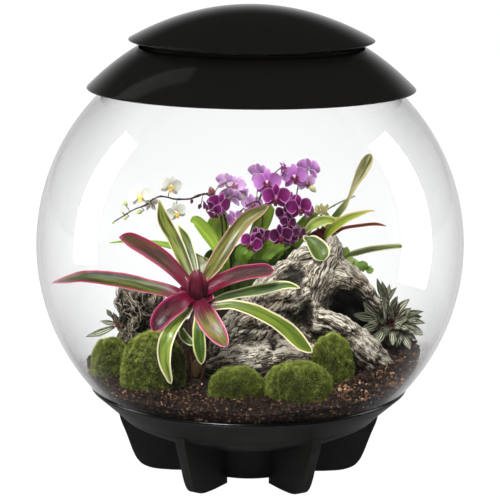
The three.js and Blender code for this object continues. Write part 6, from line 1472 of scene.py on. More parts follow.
# ---------------------------------------------------------------- leaves
def bromeliad_mat(name, dark, light, margin, rim, wide, base=None, base_to=0.0, flush=None, seed=0, gloss=0.27, bright=0.0, sss=0.12, coat=0.42, spec=0.55):
    """A strap leaf: streaked middle, coloured margins wide mm wide, a thin rim line, and a flushed base."""
    m = Mat(name)
    across, along, edge = m.attr("across"), m.attr("along"), m.attr("edge")
    v = m.join(m.math("MULTIPLY", across, 1.9), m.math("MULTIPLY", along, 2.6), float(seed) * 3.1)
    broad = m.noise(v, 1.0, 2)
    fine = m.noise(m.join(m.math("MULTIPLY", across, 11.0), m.math("MULTIPLY", along, 1.9), float(seed)), 1.0, 3, 0.65)
    hair = m.noise(m.join(m.math("MULTIPLY", across, 60.0), m.math("MULTIPLY", along, 3.0), float(seed)), 1.0, 2)
    mid = m.mix(m.step(m.math("ADD", broad, m.math("MULTIPLY_ADD", fine, 0.36, -0.18)), 0.36 - bright, 0.64 - bright), srgb(*dark), srgb(*light))
    if flush:
        mid = m.mix(m.math("MULTIPLY", m.step(m.noise(v, 0.8, 2), 0.4, 0.68), flush[3] / 100.0), mid, srgb(*flush[:3]))
    wavy = m.math("ADD", edge, m.math("MULTIPLY_ADD", fine, 2.4, -1.2))
    side = m.step(wavy, wide * 0.72, wide * 1.28, 1.0, 0.0)
    col = m.mix(side, mid, m.mix(m.step(fine, 0.3, 0.7), srgb(*margin), srgb(*[min(255, x * 1.16 + 8) for x in margin])))
    col = m.mix(m.math("MULTIPLY", m.step(edge, 0.35, 1.0, 1.0, 0.0), 0.85), col, srgb(*rim))
    if base:
        at = m.math("ADD", along, m.math("MULTIPLY_ADD", fine, 0.28, -0.14))
        col = m.mix(m.step(at, base_to * 0.55, base_to * 1.25, 1.0, 0.0), col, srgb(*base))
    col = m.mix(m.math("MULTIPLY", m.step(hair, 0.5, 0.75), 0.16), col, srgb(20, 24, 10))
    under = m.attr("top")
    col = m.mix(m.step(under, 0.2, 0.8, 0.4, 0.0), col, srgb(*[0.5 * (x + y) for x, y in zip(dark, margin)]))
    m.put(Base_Color=col, Roughness=m.math("MULTIPLY_ADD", fine, 0.16, gloss - 0.05), Normal=m.bump(m.math("ADD", m.math("MULTIPLY", hair, 0.5), fine), 0.0005, 0.45))
    m.b.inputs["Specular IOR Level"].default_value = spec
    m.b.inputs["Coat Weight"].default_value = coat
    m.b.inputs["Coat Roughness"].default_value = 0.13
    m.b.inputs["Subsurface Weight"].default_value = sss
    m.b.inputs["Subsurface Radius"].default_value = (0.8, 1.0, 0.3)
    m.b.inputs["Subsurface Scale"].default_value = 0.0015
    return m


OLIVE, LIME, GREEN, CREAM = (74, 80, 34), (126, 148, 44), (66, 96, 30), (232, 226, 188)
CRIMSON, PINK, WINE, PALE_PINK = (140, 24, 66), (190, 82, 122), (70, 12, 30), (226, 158, 178)
LOOKS_A = {
    "01": dict(dark=(34, 44, 12), light=(82, 92, 30), margin=(112, 28, 54), rim=(190, 120, 140), wide=2.3, base=(100, 12, 44), base_to=0.2, flush=(96, 30, 44, 24), gloss=0.24, bright=-0.04, coat=0.2, spec=0.4),
    "02": dict(dark=(40, 34, 18), light=(86, 76, 36), margin=(112, 16, 52), rim=(186, 92, 122), wide=3.2, base=(92, 8, 38), base_to=0.42, flush=(84, 14, 36, 50), gloss=0.26, coat=0.26, spec=0.45),
    "03": dict(dark=(54, 62, 26), light=(118, 124, 48), margin=(158, 148, 108), rim=(206, 190, 168), wide=1.3, base=(74, 70, 30), base_to=0.1, gloss=0.28),
    "04": dict(dark=(58, 74, 28), light=(98, 112, 42), margin=(180, 180, 130), rim=(206, 200, 174), wide=1.4, gloss=0.3),
    "05": dict(dark=(58, 66, 32), light=(100, 106, 56), margin=(92, 92, 50), rim=(92, 34, 40), wide=1.6, gloss=0.34, bright=0.05),
    "06": dict(dark=(58, 60, 28), light=(116, 114, 56), margin=(138, 92, 80), rim=(204, 168, 152), wide=1.5, base=(112, 44, 48), base_to=0.12, gloss=0.22, bright=0.06),
    "07": dict(dark=(34, 14, 18), light=(70, 40, 34), margin=(104, 10, 46), rim=(196, 104, 134), wide=2.6, base=(92, 6, 36), base_to=0.4, flush=(74, 10, 32, 50), gloss=0.22, coat=0.1, spec=0.32),
    "08": dict(dark=(46, 70, 24), light=(82, 110, 38), margin=(186, 182, 130), rim=(226, 218, 186), wide=1.5, gloss=0.26),
    "09": dict(dark=(74, 92, 30), light=(106, 124, 42), margin=(196, 188, 138), rim=(224, 196, 182), wide=1.7, base=(84, 10, 30), base_to=0.14, gloss=0.19, bright=0.02),
    "10": dict(dark=(66, 66, 28), light=(116, 110, 54), margin=(158, 62, 92), rim=(228, 176, 186), wide=2.4, base=(84, 8, 34), base_to=0.4, flush=(126, 40, 66, 40), gloss=0.25, bright=0.04, coat=0.34),
    "11": dict(dark=(40, 14, 22), light=(78, 40, 42), margin=(118, 18, 58), rim=(194, 100, 140), wide=2.4, base=(92, 8, 38), base_to=0.34, flush=(92, 14, 44, 50), gloss=0.22, coat=0.34),
    "12": dict(dark=(78, 98, 34), light=(134, 152, 64), margin=(206, 198, 154), rim=(232, 216, 196), wide=1.7, base=(150, 110, 70), base_to=0.06, gloss=0.2, bright=0.06),
    "13": dict(dark=(56, 84, 26), light=(96, 126, 40), margin=(196, 192, 128), rim=(230, 222, 178), wide=1.6, gloss=0.26),
    "14": dict(dark=(54, 80, 28), light=(90, 116, 42), margin=(200, 196, 140), rim=(220, 214, 176), wide=1.3, gloss=0.3),
    # the crown leaves' base runs to near black: deep crimson, painted darker as shade deep in the crown
    "15": dict(dark=(58, 5, 20), light=(108, 18, 44), margin=(96, 10, 36), rim=(150, 54, 82), wide=1.4, base=(18, 2, 6), base_to=0.5, gloss=0.34, coat=0.2),
}
LOOKS_B = {
    "01": dict(dark=(96, 98, 40), light=(206, 198, 152), margin=(170, 166, 106), rim=(226, 220, 184), wide=1.6, base=(82, 104, 40), base_to=0.42, gloss=0.32, bright=0.0),
    "02": dict(dark=(108, 130, 32), light=(146, 164, 50), margin=(190, 192, 104), rim=(206, 150, 126), wide=1.5, gloss=0.26, bright=0.1, sss=0.25),
    "03": dict(dark=(82, 22, 26), light=(104, 62, 36), margin=(110, 30, 36), rim=(150, 110, 70), wide=1.2, gloss=0.4, coat=0.1, spec=0.3),
    "04": dict(dark=(68, 78, 34), light=(108, 120, 58), margin=(160, 162, 104), rim=(196, 192, 150), wide=1.6, gloss=0.26),
    "05": dict(dark=(34, 8, 14), light=(104, 16, 28), margin=(64, 10, 18), rim=(150, 56, 66), wide=1.8, base=(60, 10, 20), base_to=0.4, gloss=0.3, coat=0.15, spec=0.35),
    "06": dict(dark=(62, 82, 32), light=(98, 116, 52), margin=(198, 194, 146), rim=(226, 216, 190), wide=1.7, gloss=0.24),
    "07": dict(dark=(126, 150, 48), light=(166, 184, 84), margin=(200, 204, 140), rim=(216, 208, 170), wide=1.7, gloss=0.3, sss=0.25),
    "08": dict(dark=(118, 142, 42), light=(156, 174, 74), margin=(190, 194, 116), rim=(210, 206, 146), wide=1.5, gloss=0.3, sss=0.25),
}
SHAPES_A = {"01": dict(cup=0.13, wave=0.10), "02": dict(cup=0.17, wave=0.10), "03": dict(cup=0.16, wave=0.05), "05": dict(cup=0.10, cup_power=1.6), "06": dict(cup=0.2, wave=0.04),
            "07": dict(cup=0.15, wave=0.12), "09": dict(cup=0.12, wave=0.12), "10": dict(cup=0.14, wave=0.13), "11": dict(cup=0.16, wave=0.08), "12": dict(cup=0.16, wave=0.10), "15": dict(cup=0.3)}
CREAM_A = {"03", "04", "05", "06", "08", "09", "12", "13"}


def rooted(leaf, centre, share=0.62, wide=0.8):
    """The leaf with one more row at its foot, inside the rosette."""
    p, w, n = (np.array(leaf[k], float) for k in ("p", "w", "n"))
    foot = p[0] * (1 - share) + np.array(centre, float) * share
    return {"p": np.vstack([foot, p]), "w": np.concatenate([[w[0] * wide], w]), "n": np.vstack([n[0], n])}


def strap(name, leaf, look, shape, slot_name, node, seed):
    s = Soup()
    v, f, at = blade(leaf, 84 if FINE else 56, 22 if FINE else 16, thick=1.15, seed=seed, edge_thin=0.45, **{"cup": 0.15, "wave": 0.06, **shape})
    ripple = noise(np.stack([at["across"] * 9, at["along"] * 2.0, np.full(len(v), seed * 1.7)], 1), 3)
    s.add(v, f, **at)
    s.v[0] = v + 0.12 * ripple[:, None] * np.array([0, -1.0, 0.4])
    return seat(s.piece(name, [bromeliad_mat(name, seed=seed, **look)]), slot_name, *([node] if node else []))


def sheaths(axis, centre, count, spec, spin, seed):
    """Young leaves round a rosette's axis, as rows ready for blade()."""
    a = unit(axis)
    e1 = unit(np.cross([0, 1.0, 0.001], a))
    e2 = np.cross(a, e1)
    rng = np.random.default_rng(seed)
    out = []
    for k in range(count):
        ph = spin + 2 * math.pi * k / count + rng.uniform(-0.15, 0.15)
        o = e1 * math.cos(ph) + e2 * math.sin(ph)
        stretch = rng.uniform(0.85, 1.15)
        p = [centre + a * h * stretch + o * r for h, r, w, lean in spec]
        n = [unit(-o + a * lean) for h, r, w, lean in spec]
        out.append({"p": np.array(p), "w": [x[2] for x in spec], "n": np.array(n)})
    return out


def make_bromeliad_a():
    for i, (key, leaf) in enumerate(LEAVES_A.items()):
        if key in ("14", "15"):
            continue
        slot_name = "bromeliad_cream" if key in CREAM_A else "bromeliad_red"
        strap("bromeliad_leaf_a" + key, rooted(leaf, (-60.5, -88, 231)), LOOKS_A[key], SHAPES_A.get(key, {}), slot_name, "bromeliad_a_leaf_" + key, i + 1)
    # the crown: a cup of young leaves over an old, scaly stem
    core = Mat("bromeliad_stem")
    p = core.where()
    n = core.noise(core.scaled(p, (1, 1, 0.3)), 260.0, 4)
    core.put(Base_Color=core.ramp(n, [(0.3, srgb(22, 16, 10)), (0.55, srgb(54, 44, 24)), (0.8, srgb(96, 82, 48))]), Roughness=core.math("MULTIPLY_ADD", n, 0.3, 0.55), Normal=core.bump(n, 0.0008, 0.7))
    s = Soup()
    path = even(np.array([[-59.8, -82, 121, 7.0], [-59.8, -84, 170, 7.2], [-59.8, -85, 200, 8.0], [-60.2, -84, 219, 7.0]]), 60)
    bands = 0.9 * np.abs(np.sin(np.arange(len(path)) * 0.62)) + 0.4 * noise(np.stack([np.arange(len(path)) * 0.7] * 3, 1), 4)
    v, f, al = tube(path[:, :3], path[:, 3] - 1.2 + bands, 40)
    s.add(v, f)
    seat(s.piece("bromeliad_stem_a", [core]), "bromeliad_red", "bromeliad_a_crown")
    axis, centre = np.array([0, -0.68, 0.73]), np.array([-60.5, -86.0, 234.0])
    # the cup leaves darken to near black at their feet: deep crimson, painted darker as shade deep in the crown
    cup = bromeliad_mat("bromeliad_cup_a", dark=(78, 6, 28), light=(122, 18, 54), margin=(116, 12, 48), rim=(190, 84, 116), wide=1.6, base=(26, 2, 9), base_to=0.62, seed=31, gloss=0.34, sss=0.12, coat=0.2)
    s = Soup()
    for k, leaf in enumerate(sheaths(axis, centre, 8, [(-20, 6, 11, 0.05), (-11, 10, 18, 0.1), (-4, 14.0, 20, 0.3), (0, 18.0, 15, 0.6), (1, 21.0, 4, 0.9)], 0.35, 5)):
        v, f, at = blade(leaf, 30, 14, thick=1.0, cup=0.2, seed=k)
        s.add(v, f, **at)
    for k, leaf in enumerate(sheaths(axis, centre + np.array([0, 0.5, -4.5]), 4, [(-15, 3.5, 6, 0.0), (-7, 6.5, 12, 0.0), (1, 9.0, 12, 0.1), (6, 11.5, 3, 0.2)], 0.9, 6)):
        v, f, at = blade(leaf, 30, 14, thick=0.9, cup=0.3, seed=20 + k)
        s.add(v, f, **at)
    seat(s.piece("bromeliad_cup_leaves_a", [cup]), "bromeliad_red")
    # the old leaf bases that wrap the stem
    old = bromeliad_mat("bromeliad_old_bases", dark=(52, 46, 22), light=(88, 84, 40), margin=(96, 40, 44), rim=(120, 90, 60), wide=2.0, seed=36, gloss=0.4)
    s = Soup()
    rng = np.random.default_rng(17)
    for k in range(16):
        ph, z = k * 2.4, 130 + k * 4.0
        o = np.array([math.cos(ph), math.sin(ph), 0])
        c = np.array([-60, -85.5, 0])
        leaf = {"p": np.array([c + o * 5 + [0, 0, z], c + o * 8.6 + [0, 0, z + 8], c + o * 9.8 + [0, 0, z + 17], c + o * 11.5 + [0, 0, z + 24]]), "w": [11, 13, 10, 2.5], "n": np.array([-o, -o, -o, -o])}
        v, f, at = blade(leaf, 22, 12, thick=0.9, cup=0.24, seed=k)
        s.add(v, f, **at)
    seat(s.piece("bromeliad_old_bases_a", [old]), "bromeliad_red")
    strap("bromeliad_young_a14", LEAVES_A["14"], LOOKS_A["14"], {}, "bromeliad_cream", None, 44)
    strap("bromeliad_young_a15", LEAVES_A["15"], LOOKS_A["15"], SHAPES_A["15"], "bromeliad_red", None, 45)
    s = Soup()
    bud = [(-8, 7.5, 15, 0.0), (3, 10.8, 22, 0.02), (14, 12.0, 23.5, 0.04), (23, 10.2, 18.5, 0.08), (29.5, 6.4, 11, 0.25), (32.5, 3.0, 2.4, 0.4)]
    for k, leaf in enumerate(sheaths(np.array([0.02, -0.16, 0.98]), np.array([-60.2, -83.0, 229.0]), 5, bud, -1.2, 12)):
        v, f, at = blade(leaf, 44, 18, thick=1.0, cup=0.34, seed=9 + k)
        s.add(v, f, **at)
    seat(s.piece("bromeliad_young_a16", [bromeliad_mat("bromeliad_young_a16", seed=46, **LOOKS_A["15"])]), "bromeliad_red")


LEAVES_B["01"]["p"][-1] = [146.0, 90.0, 371.0]
LEAVES_B["01"]["p"][3:7] = [[120, 89.0, 316], [127, 89.5, 332], [134.5, 90, 347], [141.5, 90.5, 361]]
LEAVES_B["01"]["w"] = [7.3, 8.4, 8.2, 4.6, 8.5, 14.0, 14.5, 7.0]
LEAVES_B["03"]["w"] = [5.2, 5.2, 5.2, 5.0, 1.6]
LEAVES_B["06"] = {"p": [[66, 4, 283], [73, -9, 280], [80, -17, 272], [84, -21, 265], [85.5, -22, 260.5]], "w": [7, 18, 23.5, 19, 6], "n": [[0.1, -0.7, 0.7], [0.12, -0.75, 0.62], [0.14, -0.85, 0.45], [0.1, -0.93, 0.3], [0.1, -0.95, 0.2]]}
LEAVES_B["07"] = {"p": [[101, 66, 290], [90, 64, 292], [77, 62, 287.5], [64, 60, 277]], "w": [9, 12.5, 13, 4], "n": [[0.05, -0.8, 0.6], [0, -0.8, 0.6], [-0.15, -0.8, 0.6], [-0.2, -0.8, 0.55]]}
CREEPER["leaves"] = [{"p": [[a + (b - c) * 0.25 for a, b, c in zip(q, leaf["p"][1], leaf["p"][0])] if k else q for k, q in enumerate(leaf["p"])],
                      "w": [x * 1.2 for x in leaf["w"]], "n": leaf["n"]} for leaf in CREEPER["leaves"]]


def make_back_leaf():
    leaf = {"p": np.array([[-60.5, -72.0, 232.0], [-60.0, -62.0, 248.0], [-59.2, -55.0, 261.0], [-58.6, -53.0, 269.0], [-58.4, -54.0, 273.0]]), "w": [17, 24, 27.5, 22, 9.0], "n": np.array([[0, -0.95, 0.3], [0, -0.95, 0.25], [0, -0.98, 0.1], [0, -0.98, -0.15], [0, -0.9, -0.4]])}
    strap("bromeliad_leaf_a_back", leaf, dict(dark=(72, 78, 40), light=(112, 116, 62), margin=(128, 120, 72), rim=(196, 190, 150), wide=1.3, base=(60, 30, 26), base_to=0.3, gloss=0.36, coat=0.15), {"cup": 0.02, "wave": 0.03}, "bromeliad_cream", None, 47)


def make_bromeliad_b():
    for i, (key, leaf) in enumerate(LEAVES_B.items()):
        own = key in ("01", "02", "03", "04", "06")
        strap("bromeliad_leaf_b" + key, rooted(leaf, (90, 70, 266), 0.6), LOOKS_B[key], {"wave": 0.05, "cup": 0.18}, "bromeliad_b_leaf", "bromeliad_b_leaf_" + key if own else None, 60 + i)
    mat = bromeliad_mat("bromeliad_cup_b", dark=(80, 24, 26), light=(120, 96, 40), margin=(150, 120, 70), rim=(200, 180, 130), wide=1.4, base=(50, 10, 14), base_to=0.45, seed=71, gloss=0.32)
    s = Soup()
    for k, leaf in enumerate(sheaths(np.array([0.1, -0.55, 0.83]), np.array([90.0, 70.0, 268.0]), 8, [(-14, 4, 6, 0), (-5, 6.5, 10, 0.1), (3, 9, 11, 0.3), (8, 11.5, 8, 0.5), (11, 13.5, 2.5, 0.8)], 0.2, 8)):
        v, f, at = blade(leaf, 26, 12, thick=0.9, cup=0.2, seed=k)
        s.add(v, f, **at)
    path = even(np.array([[91, 74, 192, 6.0], [91, 73, 225, 6.0], [90, 71, 255, 7.2], [89, 70, 270, 7.4]]), 50)
    v, f, al = tube(path[:, :3], path[:, 3] - 0.8 + 0.7 * np.abs(np.sin(np.arange(len(path)) * 0.6)), 32)
    s.add(v, f, along=0.1, edge=6.0, across=0.2, top=1.0)
    seat(s.piece("bromeliad_cup_leaves_b", [mat]), "bromeliad_b_leaf", "bromeliad_b_crown")


make_bromeliad_a()
make_back_leaf()
make_bromeliad_b()


def orchid_leaf_material():
    m = Mat("orchid_leaf")
    across, along, tone = m.attr("across"), m.attr("along"), m.attr("tone")
    fine = m.noise(m.join(m.math("MULTIPLY", across, 14.0), m.math("MULTIPLY", along, 2.0), tone), 1.0, 3)
    a = m.math("ABSOLUTE", across)
    v = m.math("ADD", m.math("MULTIPLY", tone, 0.7), m.math("MULTIPLY_ADD", fine, 0.55, -0.15))
    v = m.math("ADD", v, m.math("MULTIPLY_ADD", m.noise(m.join(m.math("MULTIPLY", across, 1.6), m.math("MULTIPLY", along, 2.4), tone), 1.0, 2), 0.5, -0.26))
    col = m.ramp(v, [(0.0, srgb(20, 32, 10)), (0.3, srgb(58, 82, 24)), (0.6, srgb(112, 146, 36)), (1.0, srgb(174, 196, 82))])
    col = m.mix(m.step(a, 0.0, 0.09, 0.5, 0.0), col, srgb(70, 92, 30))
    m.put(Base_Color=col, Roughness=m.math("MULTIPLY_ADD", fine, 0.15, 0.3), Normal=m.bump(fine, 0.0006, 0.4))
    m.b.inputs["Subsurface Weight"].default_value = 0.35
    m.b.inputs["Subsurface Radius"].default_value = (0.9, 1.0, 0.2)
    m.b.inputs["Subsurface Scale"].default_value = 0.003
    m.b.inputs["Specular IOR Level"].default_value = 0.4
    return m


def make_orchid_leaves():
    m = orchid_leaf_material()
    tones = {"01": 0.85, "02": 0.95, "03": 0.7, "04": 0.65, "05": 0.7, "06": 0.45, "07": 0.55}
    for i, (key, leaf) in enumerate(LEAVES_ORCHID.items()):
        s = Soup()
        v, f, at = blade(leaf, 56, 18, thick=1.9, cup=0.16, cup_power=1.3, wave=0.04, seed=200 + i, edge_thin=0.4)
        z = v[:, 2]
        # each leaf is painted darker towards its lower end: painted shade
        s.add(v, f, tone=np.clip(tones[key] * smooth(208, 276, z) + 0.06, 0, 1), **at)
        seat(s.piece("orchid_blade_" + key, [m]), "orchid_leaf", "orchid_leaf_" + key)
    # broad old leaves low down in the shade: foot, turn, middle and tip, with the widths
    low = [
        ([[-24, 52, 196], [-26, 50, 222], [-16, 54, 244], [6, 58, 258], [30, 60, 266]], [8, 20, 27, 24, 8], 0.16),
        ([[6, 60, 196], [4, 60, 220], [16, 62, 240], [38, 62, 252], [58, 60, 256]], [8, 20, 27, 24, 8], 0.22),
        ([[-36, 48, 196], [-40, 44, 216], [-44, 42, 234], [-46, 40, 250], [-44, 40, 262]], [8, 20, 25, 20, 6], 0.08),
        ([[-14, 40, 196], [-12, 34, 214], [-4, 30, 230], [10, 28, 240], [26, 28, 243]], [8, 22, 28, 22, 7], 0.05),
        ([[30, 52, 200], [32, 50, 222], [44, 50, 240], [60, 50, 250], [74, 50, 252]], [8, 20, 24, 20, 7], 0.3),
    ]
    s = Soup()
    for i, (p, w, tone) in enumerate(low):
        v, f, at = blade({"p": np.array(p, float), "w": w, "n": np.tile([0.05, -0.93, 0.35], (5, 1))}, 48, 18, thick=1.9, cup=0.2, cup_power=1.3, wave=0.04, seed=240 + i, edge_thin=0.4)
        # the low leaves take low tones: painted dark as shade
        s.add(v, f, tone=np.full(len(v), tone), **at)
    seat(s.piece("orchid_blades_low", [m]), "orchid_leaf")


make_orchid_leaves()


# ---------------------------------------------------------------- orchid flowers
def petal_material(name, stops, rim, vein, rim_mm=0.9, sss=0.3, throat=None):
    m = Mat(name)
    across, along, edge, tone = m.attr("across"), m.attr("along"), m.attr("edge"), m.attr("tone")
    lines = m.noise(m.join(m.math("MULTIPLY", across, 11.0), m.math("MULTIPLY", along, 1.6), m.math("MULTIPLY", tone, 9.0)), 1.0, 3)
    v = m.math("ADD", tone, m.math("MULTIPLY_ADD", lines, 0.3, -0.15))
    v = m.math("ADD", v, m.math("MULTIPLY_ADD", along, 0.14, -0.07))
    col = m.ramp(v, stops)
    col = m.mix(m.math("MULTIPLY", m.step(lines, 0.52, 0.7), 0.35), col, srgb(*vein))
    if throat:
        col = m.mix(m.step(along, 0.1, 0.38, 0.75, 0.0), col, srgb(*throat))
    col = m.mix(m.step(edge, rim_mm * 0.4, rim_mm * 1.3, 0.7, 0.0), col, srgb(*rim))
    m.put(Base_Color=col, Roughness=m.math("MULTIPLY_ADD", lines, 0.15, 0.42), Normal=m.bump(lines, 0.0004, 0.5))
    m.b.inputs["Specular IOR Level"].default_value = 0.35
    m.b.inputs["Sheen Weight"].default_value = 0.08
    m.b.inputs["Subsurface Weight"].default_value = sss
    m.b.inputs["Subsurface Radius"].default_value = (1.0, 0.6, 1.0)
    m.b.inputs["Subsurface Scale"].default_value = 0.0015
    return m


def lip_material(name, stops, spots):
    m = Mat(name)
    along, tone = m.attr("along"), m.attr("tone")
    p = m.where()
    n = m.noise(p, 700.0, 3)
    v = m.math("ADD", m.math("MULTIPLY", along, 0.8), m.math("MULTIPLY_ADD", n, 0.5, -0.2))
    col = m.ramp(v, stops)
    col = m.mix(m.step(m.cells(p, 900.0), 0.18, 0.26, 0.8, 0.0), col, srgb(*spots))
    m.put(Base_Color=col, Roughness=m.math("MULTIPLY_ADD", n, 0.2, 0.25))
    m.b.inputs["Specular IOR Level"].default_value = 0.5
    return m


def stalk_material(name, stops):
    m = Mat(name)
    tone = m.attr("tone")
    n = m.noise(scale=300.0, detail=3)
    m.put(Base_Color=m.ramp(m.math("ADD", tone, m.math("MULTIPLY_ADD", n, 0.4, -0.2)), stops), Roughness=m.math("MULTIPLY_ADD", n, 0.2, 0.35))
    m.b.inputs["Specular IOR Level"].default_value = 0.45
    return m


PURPLE = [(0.0, srgb(46, 2, 34)), (0.22, srgb(88, 8, 70)), (0.42, srgb(128, 16, 104)), (0.6, srgb(150, 54, 142)), (0.78, srgb(176, 108, 182)), (1.0, srgb(224, 194, 230))]
PETALS = {
    "purple": petal_material("petal_purple", PURPLE, (214, 152, 208), (60, 2, 48), 1.25),
    "lilac": petal_material("petal_lilac", PURPLE, (234, 214, 238), (140, 66, 150), 1.2, 0.5),
    "white": petal_material("petal_white", [(0.0, srgb(190, 192, 168)), (0.5, srgb(208, 210, 198)), (1.0, srgb(222, 224, 216))], (230, 230, 228), (178, 182, 154), 0.7, 0.4, (206, 198, 130)),
    "yellow": petal_material("petal_yellow", [(0.0, srgb(170, 170, 88)), (0.5, srgb(196, 196, 134)), (1.0, srgb(214, 214, 172))], (220, 220, 186), (150, 148, 66), 0.6, 0.35, (136, 128, 44)),
}
LIPS = {
    "purple": lip_material("lip_maroon", [(0.0, srgb(230, 196, 120)), (0.2, srgb(150, 20, 60)), (0.5, srgb(84, 2, 40)), (0.9, srgb(120, 6, 70))], (236, 190, 190)),
    "lilac": lip_material("lip_lilac", [(0.0, srgb(200, 150, 90)), (0.3, srgb(140, 60, 60)), (0.7, srgb(170, 90, 120)), (1.0, srgb(200, 140, 180))], (120, 40, 60)),
    "white": lip_material("lip_yellow", [(0.0, srgb(214, 150, 30)), (0.4, srgb(240, 196, 70)), (0.8, srgb(246, 228, 150)), (1.0, srgb(250, 246, 220))], (190, 90, 40)),
    "yellow": lip_material("lip_olive", [(0.0, srgb(150, 120, 40)), (0.5, srgb(196, 186, 80)), (1.0, srgb(236, 232, 190))], (110, 70, 30)),
}
STEMS = stalk_material("orchid_stalk", [(0.0, srgb(34, 22, 24)), (0.35, srgb(74, 54, 44)), (0.7, srgb(110, 118, 60)), (1.0, srgb(166, 184, 92))])
BUDS = stalk_material("orchid_bud", [(0.0, srgb(70, 20, 44)), (0.3, srgb(134, 60, 84)), (0.5, srgb(150, 166, 86)), (0.7, srgb(186, 196, 124)), (1.0, srgb(224, 196, 214))])
KINDS = {"p": "purple", "m": "purple", "d": "purple", "l": "lilac", "w": "white", "y": "yellow"}


def petal(s, frame_m, centre, direction, length, width, mat, tone, claw=0.25, bow=0.1, tip_back=0.1, cup=0.08, power=2.0, wave=0.05, seed=0, shift=0.0, rows=16, cols=12, thick=0.55):
    """One petal: in the flower's own frame (x right, y up, z towards the viewer) from the centre along direction (degrees from up)."""
    a = math.radians(direction)
    d = np.array([math.sin(a), math.cos(a), 0.0])
    t = np.linspace(0, 1, 9)
    lift = length * (bow * np.sin(np.pi * t * 0.9) - tip_back * t**2) + shift
    local = d[None] * (length * t)[:, None] + np.array([0, 0, 1.0])[None] * lift[:, None]
    p = centre + local @ frame_m.T
    n = np.tile(frame_m[:, 2], (len(t), 1))

    def widths(u):
        body = np.sin(np.pi * np.clip(u, 0, 1) ** (0.82)) ** 0.62
        neck = claw + (1 - claw) * smooth(0.0, 0.45, u)
        return np.maximum(width * body * neck, 0.5) + 0.3 * (u < 0.02)

    leaf = {"p": p, "w": np.full(len(t), width), "n": n}
    v, f, at = blade(leaf, rows, cols, thick=thick, cup=cup, cup_power=power, wave=wave, seed=seed, tip=0, edge_thin=0.5, widths=widths)
    s.add(v, f, m=mat, tone=tone, **at)


def make_flower(s, mats, c, size, f, roll, kind, tone, seed):
    name = KINDS[kind]
    pm, lm = mats[name], mats["lip_" + name]
    rng = np.random.default_rng(seed)
    z = unit(f)
    x = unit(np.cross([0, 0, 1.0], z))
    y = np.cross(z, x)
    r = math.radians(roll)
    fm = np.stack([x * math.cos(r) + y * math.sin(r), -x * math.sin(r) + y * math.cos(r), z], 1)
    c = np.array(c, float)
    h = size * 0.5
    j = lambda a: float(rng.uniform(-a, a))
    # kind and tone place each flower on its ramp; for the purple flowers this is partly painted light: the low 'd' ones
    # darker as shade, the high 'm' and 'l' ones lighter as lit
    tone = {"p": 0.42, "m": 0.84, "d": 0.16, "l": 0.92, "w": 0.6, "y": 0.5}[kind] * 0.75 + 0.25 * tone
    back = 0.10 + abs(j(0.08))
    petal(s, fm, c - fm[:, 2] * 0.7, 0 + j(7), h * 1.0, h * 0.62, pm, tone - 0.03, bow=0.06, tip_back=back, seed=seed, cup=0.06)
    for k, sgn in enumerate((-1, 1)):
        petal(s, fm, c - fm[:, 2] * 0.7, sgn * (132 + j(8)), h * 0.98, h * 0.58, pm, tone - 0.05 + j(0.04), bow=0.05, tip_back=back + 0.03, seed=seed + 1 + k, cup=0.06)
    for k, sgn in enumerate((-1, 1)):
        petal(s, fm, c + fm[:, 2] * 0.4, sgn * (74 + j(7)), h * 1.04, h * 1.16, pm, tone + j(0.03), claw=0.16, bow=0.14, tip_back=0.08 + abs(j(0.3)), wave=0.2, seed=seed + 5 + k, cup=0.05 + abs(j(0.07)), rows=20, cols=16)
    # lip: two side lobes standing up, a tongue with two short horns, and the column over it
    for sgn in (-1, 1):
        petal(s, fm, c + fm[:, 2] * 0.8, sgn * (118 + j(5)), h * 0.36, h * 0.26, lm, 0.5, bow=0.5, tip_back=-0.5, seed=seed + 9, rows=10, cols=8, claw=0.4, shift=0.4)
        petal(s, fm, c + fm[:, 2] * 1.2 - fm[:, 1] * h * 0.42, sgn * 150, h * 0.24, h * 0.12, lm, 0.5, bow=0.2, tip_back=-0.6, seed=seed + 9, rows=8, cols=6, claw=0.6, shift=1.0)
    petal(s, fm, c + fm[:, 2] * 1.0, 180 + j(4), h * 0.62, h * 0.36, lm, 0.5, bow=0.35, tip_back=-0.15, seed=seed + 10, rows=14, cols=10, claw=0.45, cup=-0.12, shift=0.3)
    path = np.array([c + fm @ np.array([0, 0.03 * h, -0.3]), c + fm @ np.array([0, 0.06 * h, 1.8]), c + fm @ np.array([0, -0.04 * h, 3.4]), c + fm @ np.array([0, -0.12 * h, 4.0])])
    v, ff, al = tube(even(path, 10), 1.15 * size / 30 * np.array([0.9, 1, 1.05, 1.1, 1.15, 1.2, 1.25, 1.25, 1.1, 0.9, 0.6]), 14)
    s.add(v, ff, m=mats["column"], tone=min(1.0, tone + 0.35), along=al, edge=5.0, across=0.0, top=1.0)
    return fm


def make_bud(s, c, size, d, tone, mat, seed):
    d = unit(d)
    rng = np.random.default_rng(seed)
    c = np.array(c, float)
    x = unit(np.cross(d, [0.3, 1.0, 0.2]))
    y = np.cross(d, x)
    rows, cols = 18, 24
    t = np.linspace(0.02, 0.98, rows)
    prof = np.sin(np.pi * t**0.9) ** 0.72 * (1 - 0.18 * t)
    th = np.linspace(0, 2 * np.pi, cols, endpoint=False)
    ribs = 1 - 0.07 * np.abs(np.cos(th * 1.5 + rng.uniform(0, 3))) ** 6
    rad = size * 0.36 * prof[:, None] * ribs[None]
    v = c + d * ((t - 0.5) * size)[:, None, None] + x * (rad * np.cos(th))[..., None] + y * (rad * np.sin(th))[..., None]
    v = np.vstack([v.reshape(-1, 3), c - d * size * 0.5, c + d * size * 0.5])
    n = rows * cols
    k = np.arange(cols)
    k1 = (k + 1) % cols
    last = (rows - 1) * cols
    f = outward(v, [grid(rows, cols, wrap=True), np.vstack([np.stack([np.full(cols, n), k1, k], 1), np.stack([np.full(cols, n + 1), last + k, last + k1], 1)])])
    shade = np.concatenate([np.repeat(0.12 * t - 0.06, cols), [-0.06, 0.06]])
    s.add(v, f, m=mat, tone=np.clip(tone + shade, 0, 1))


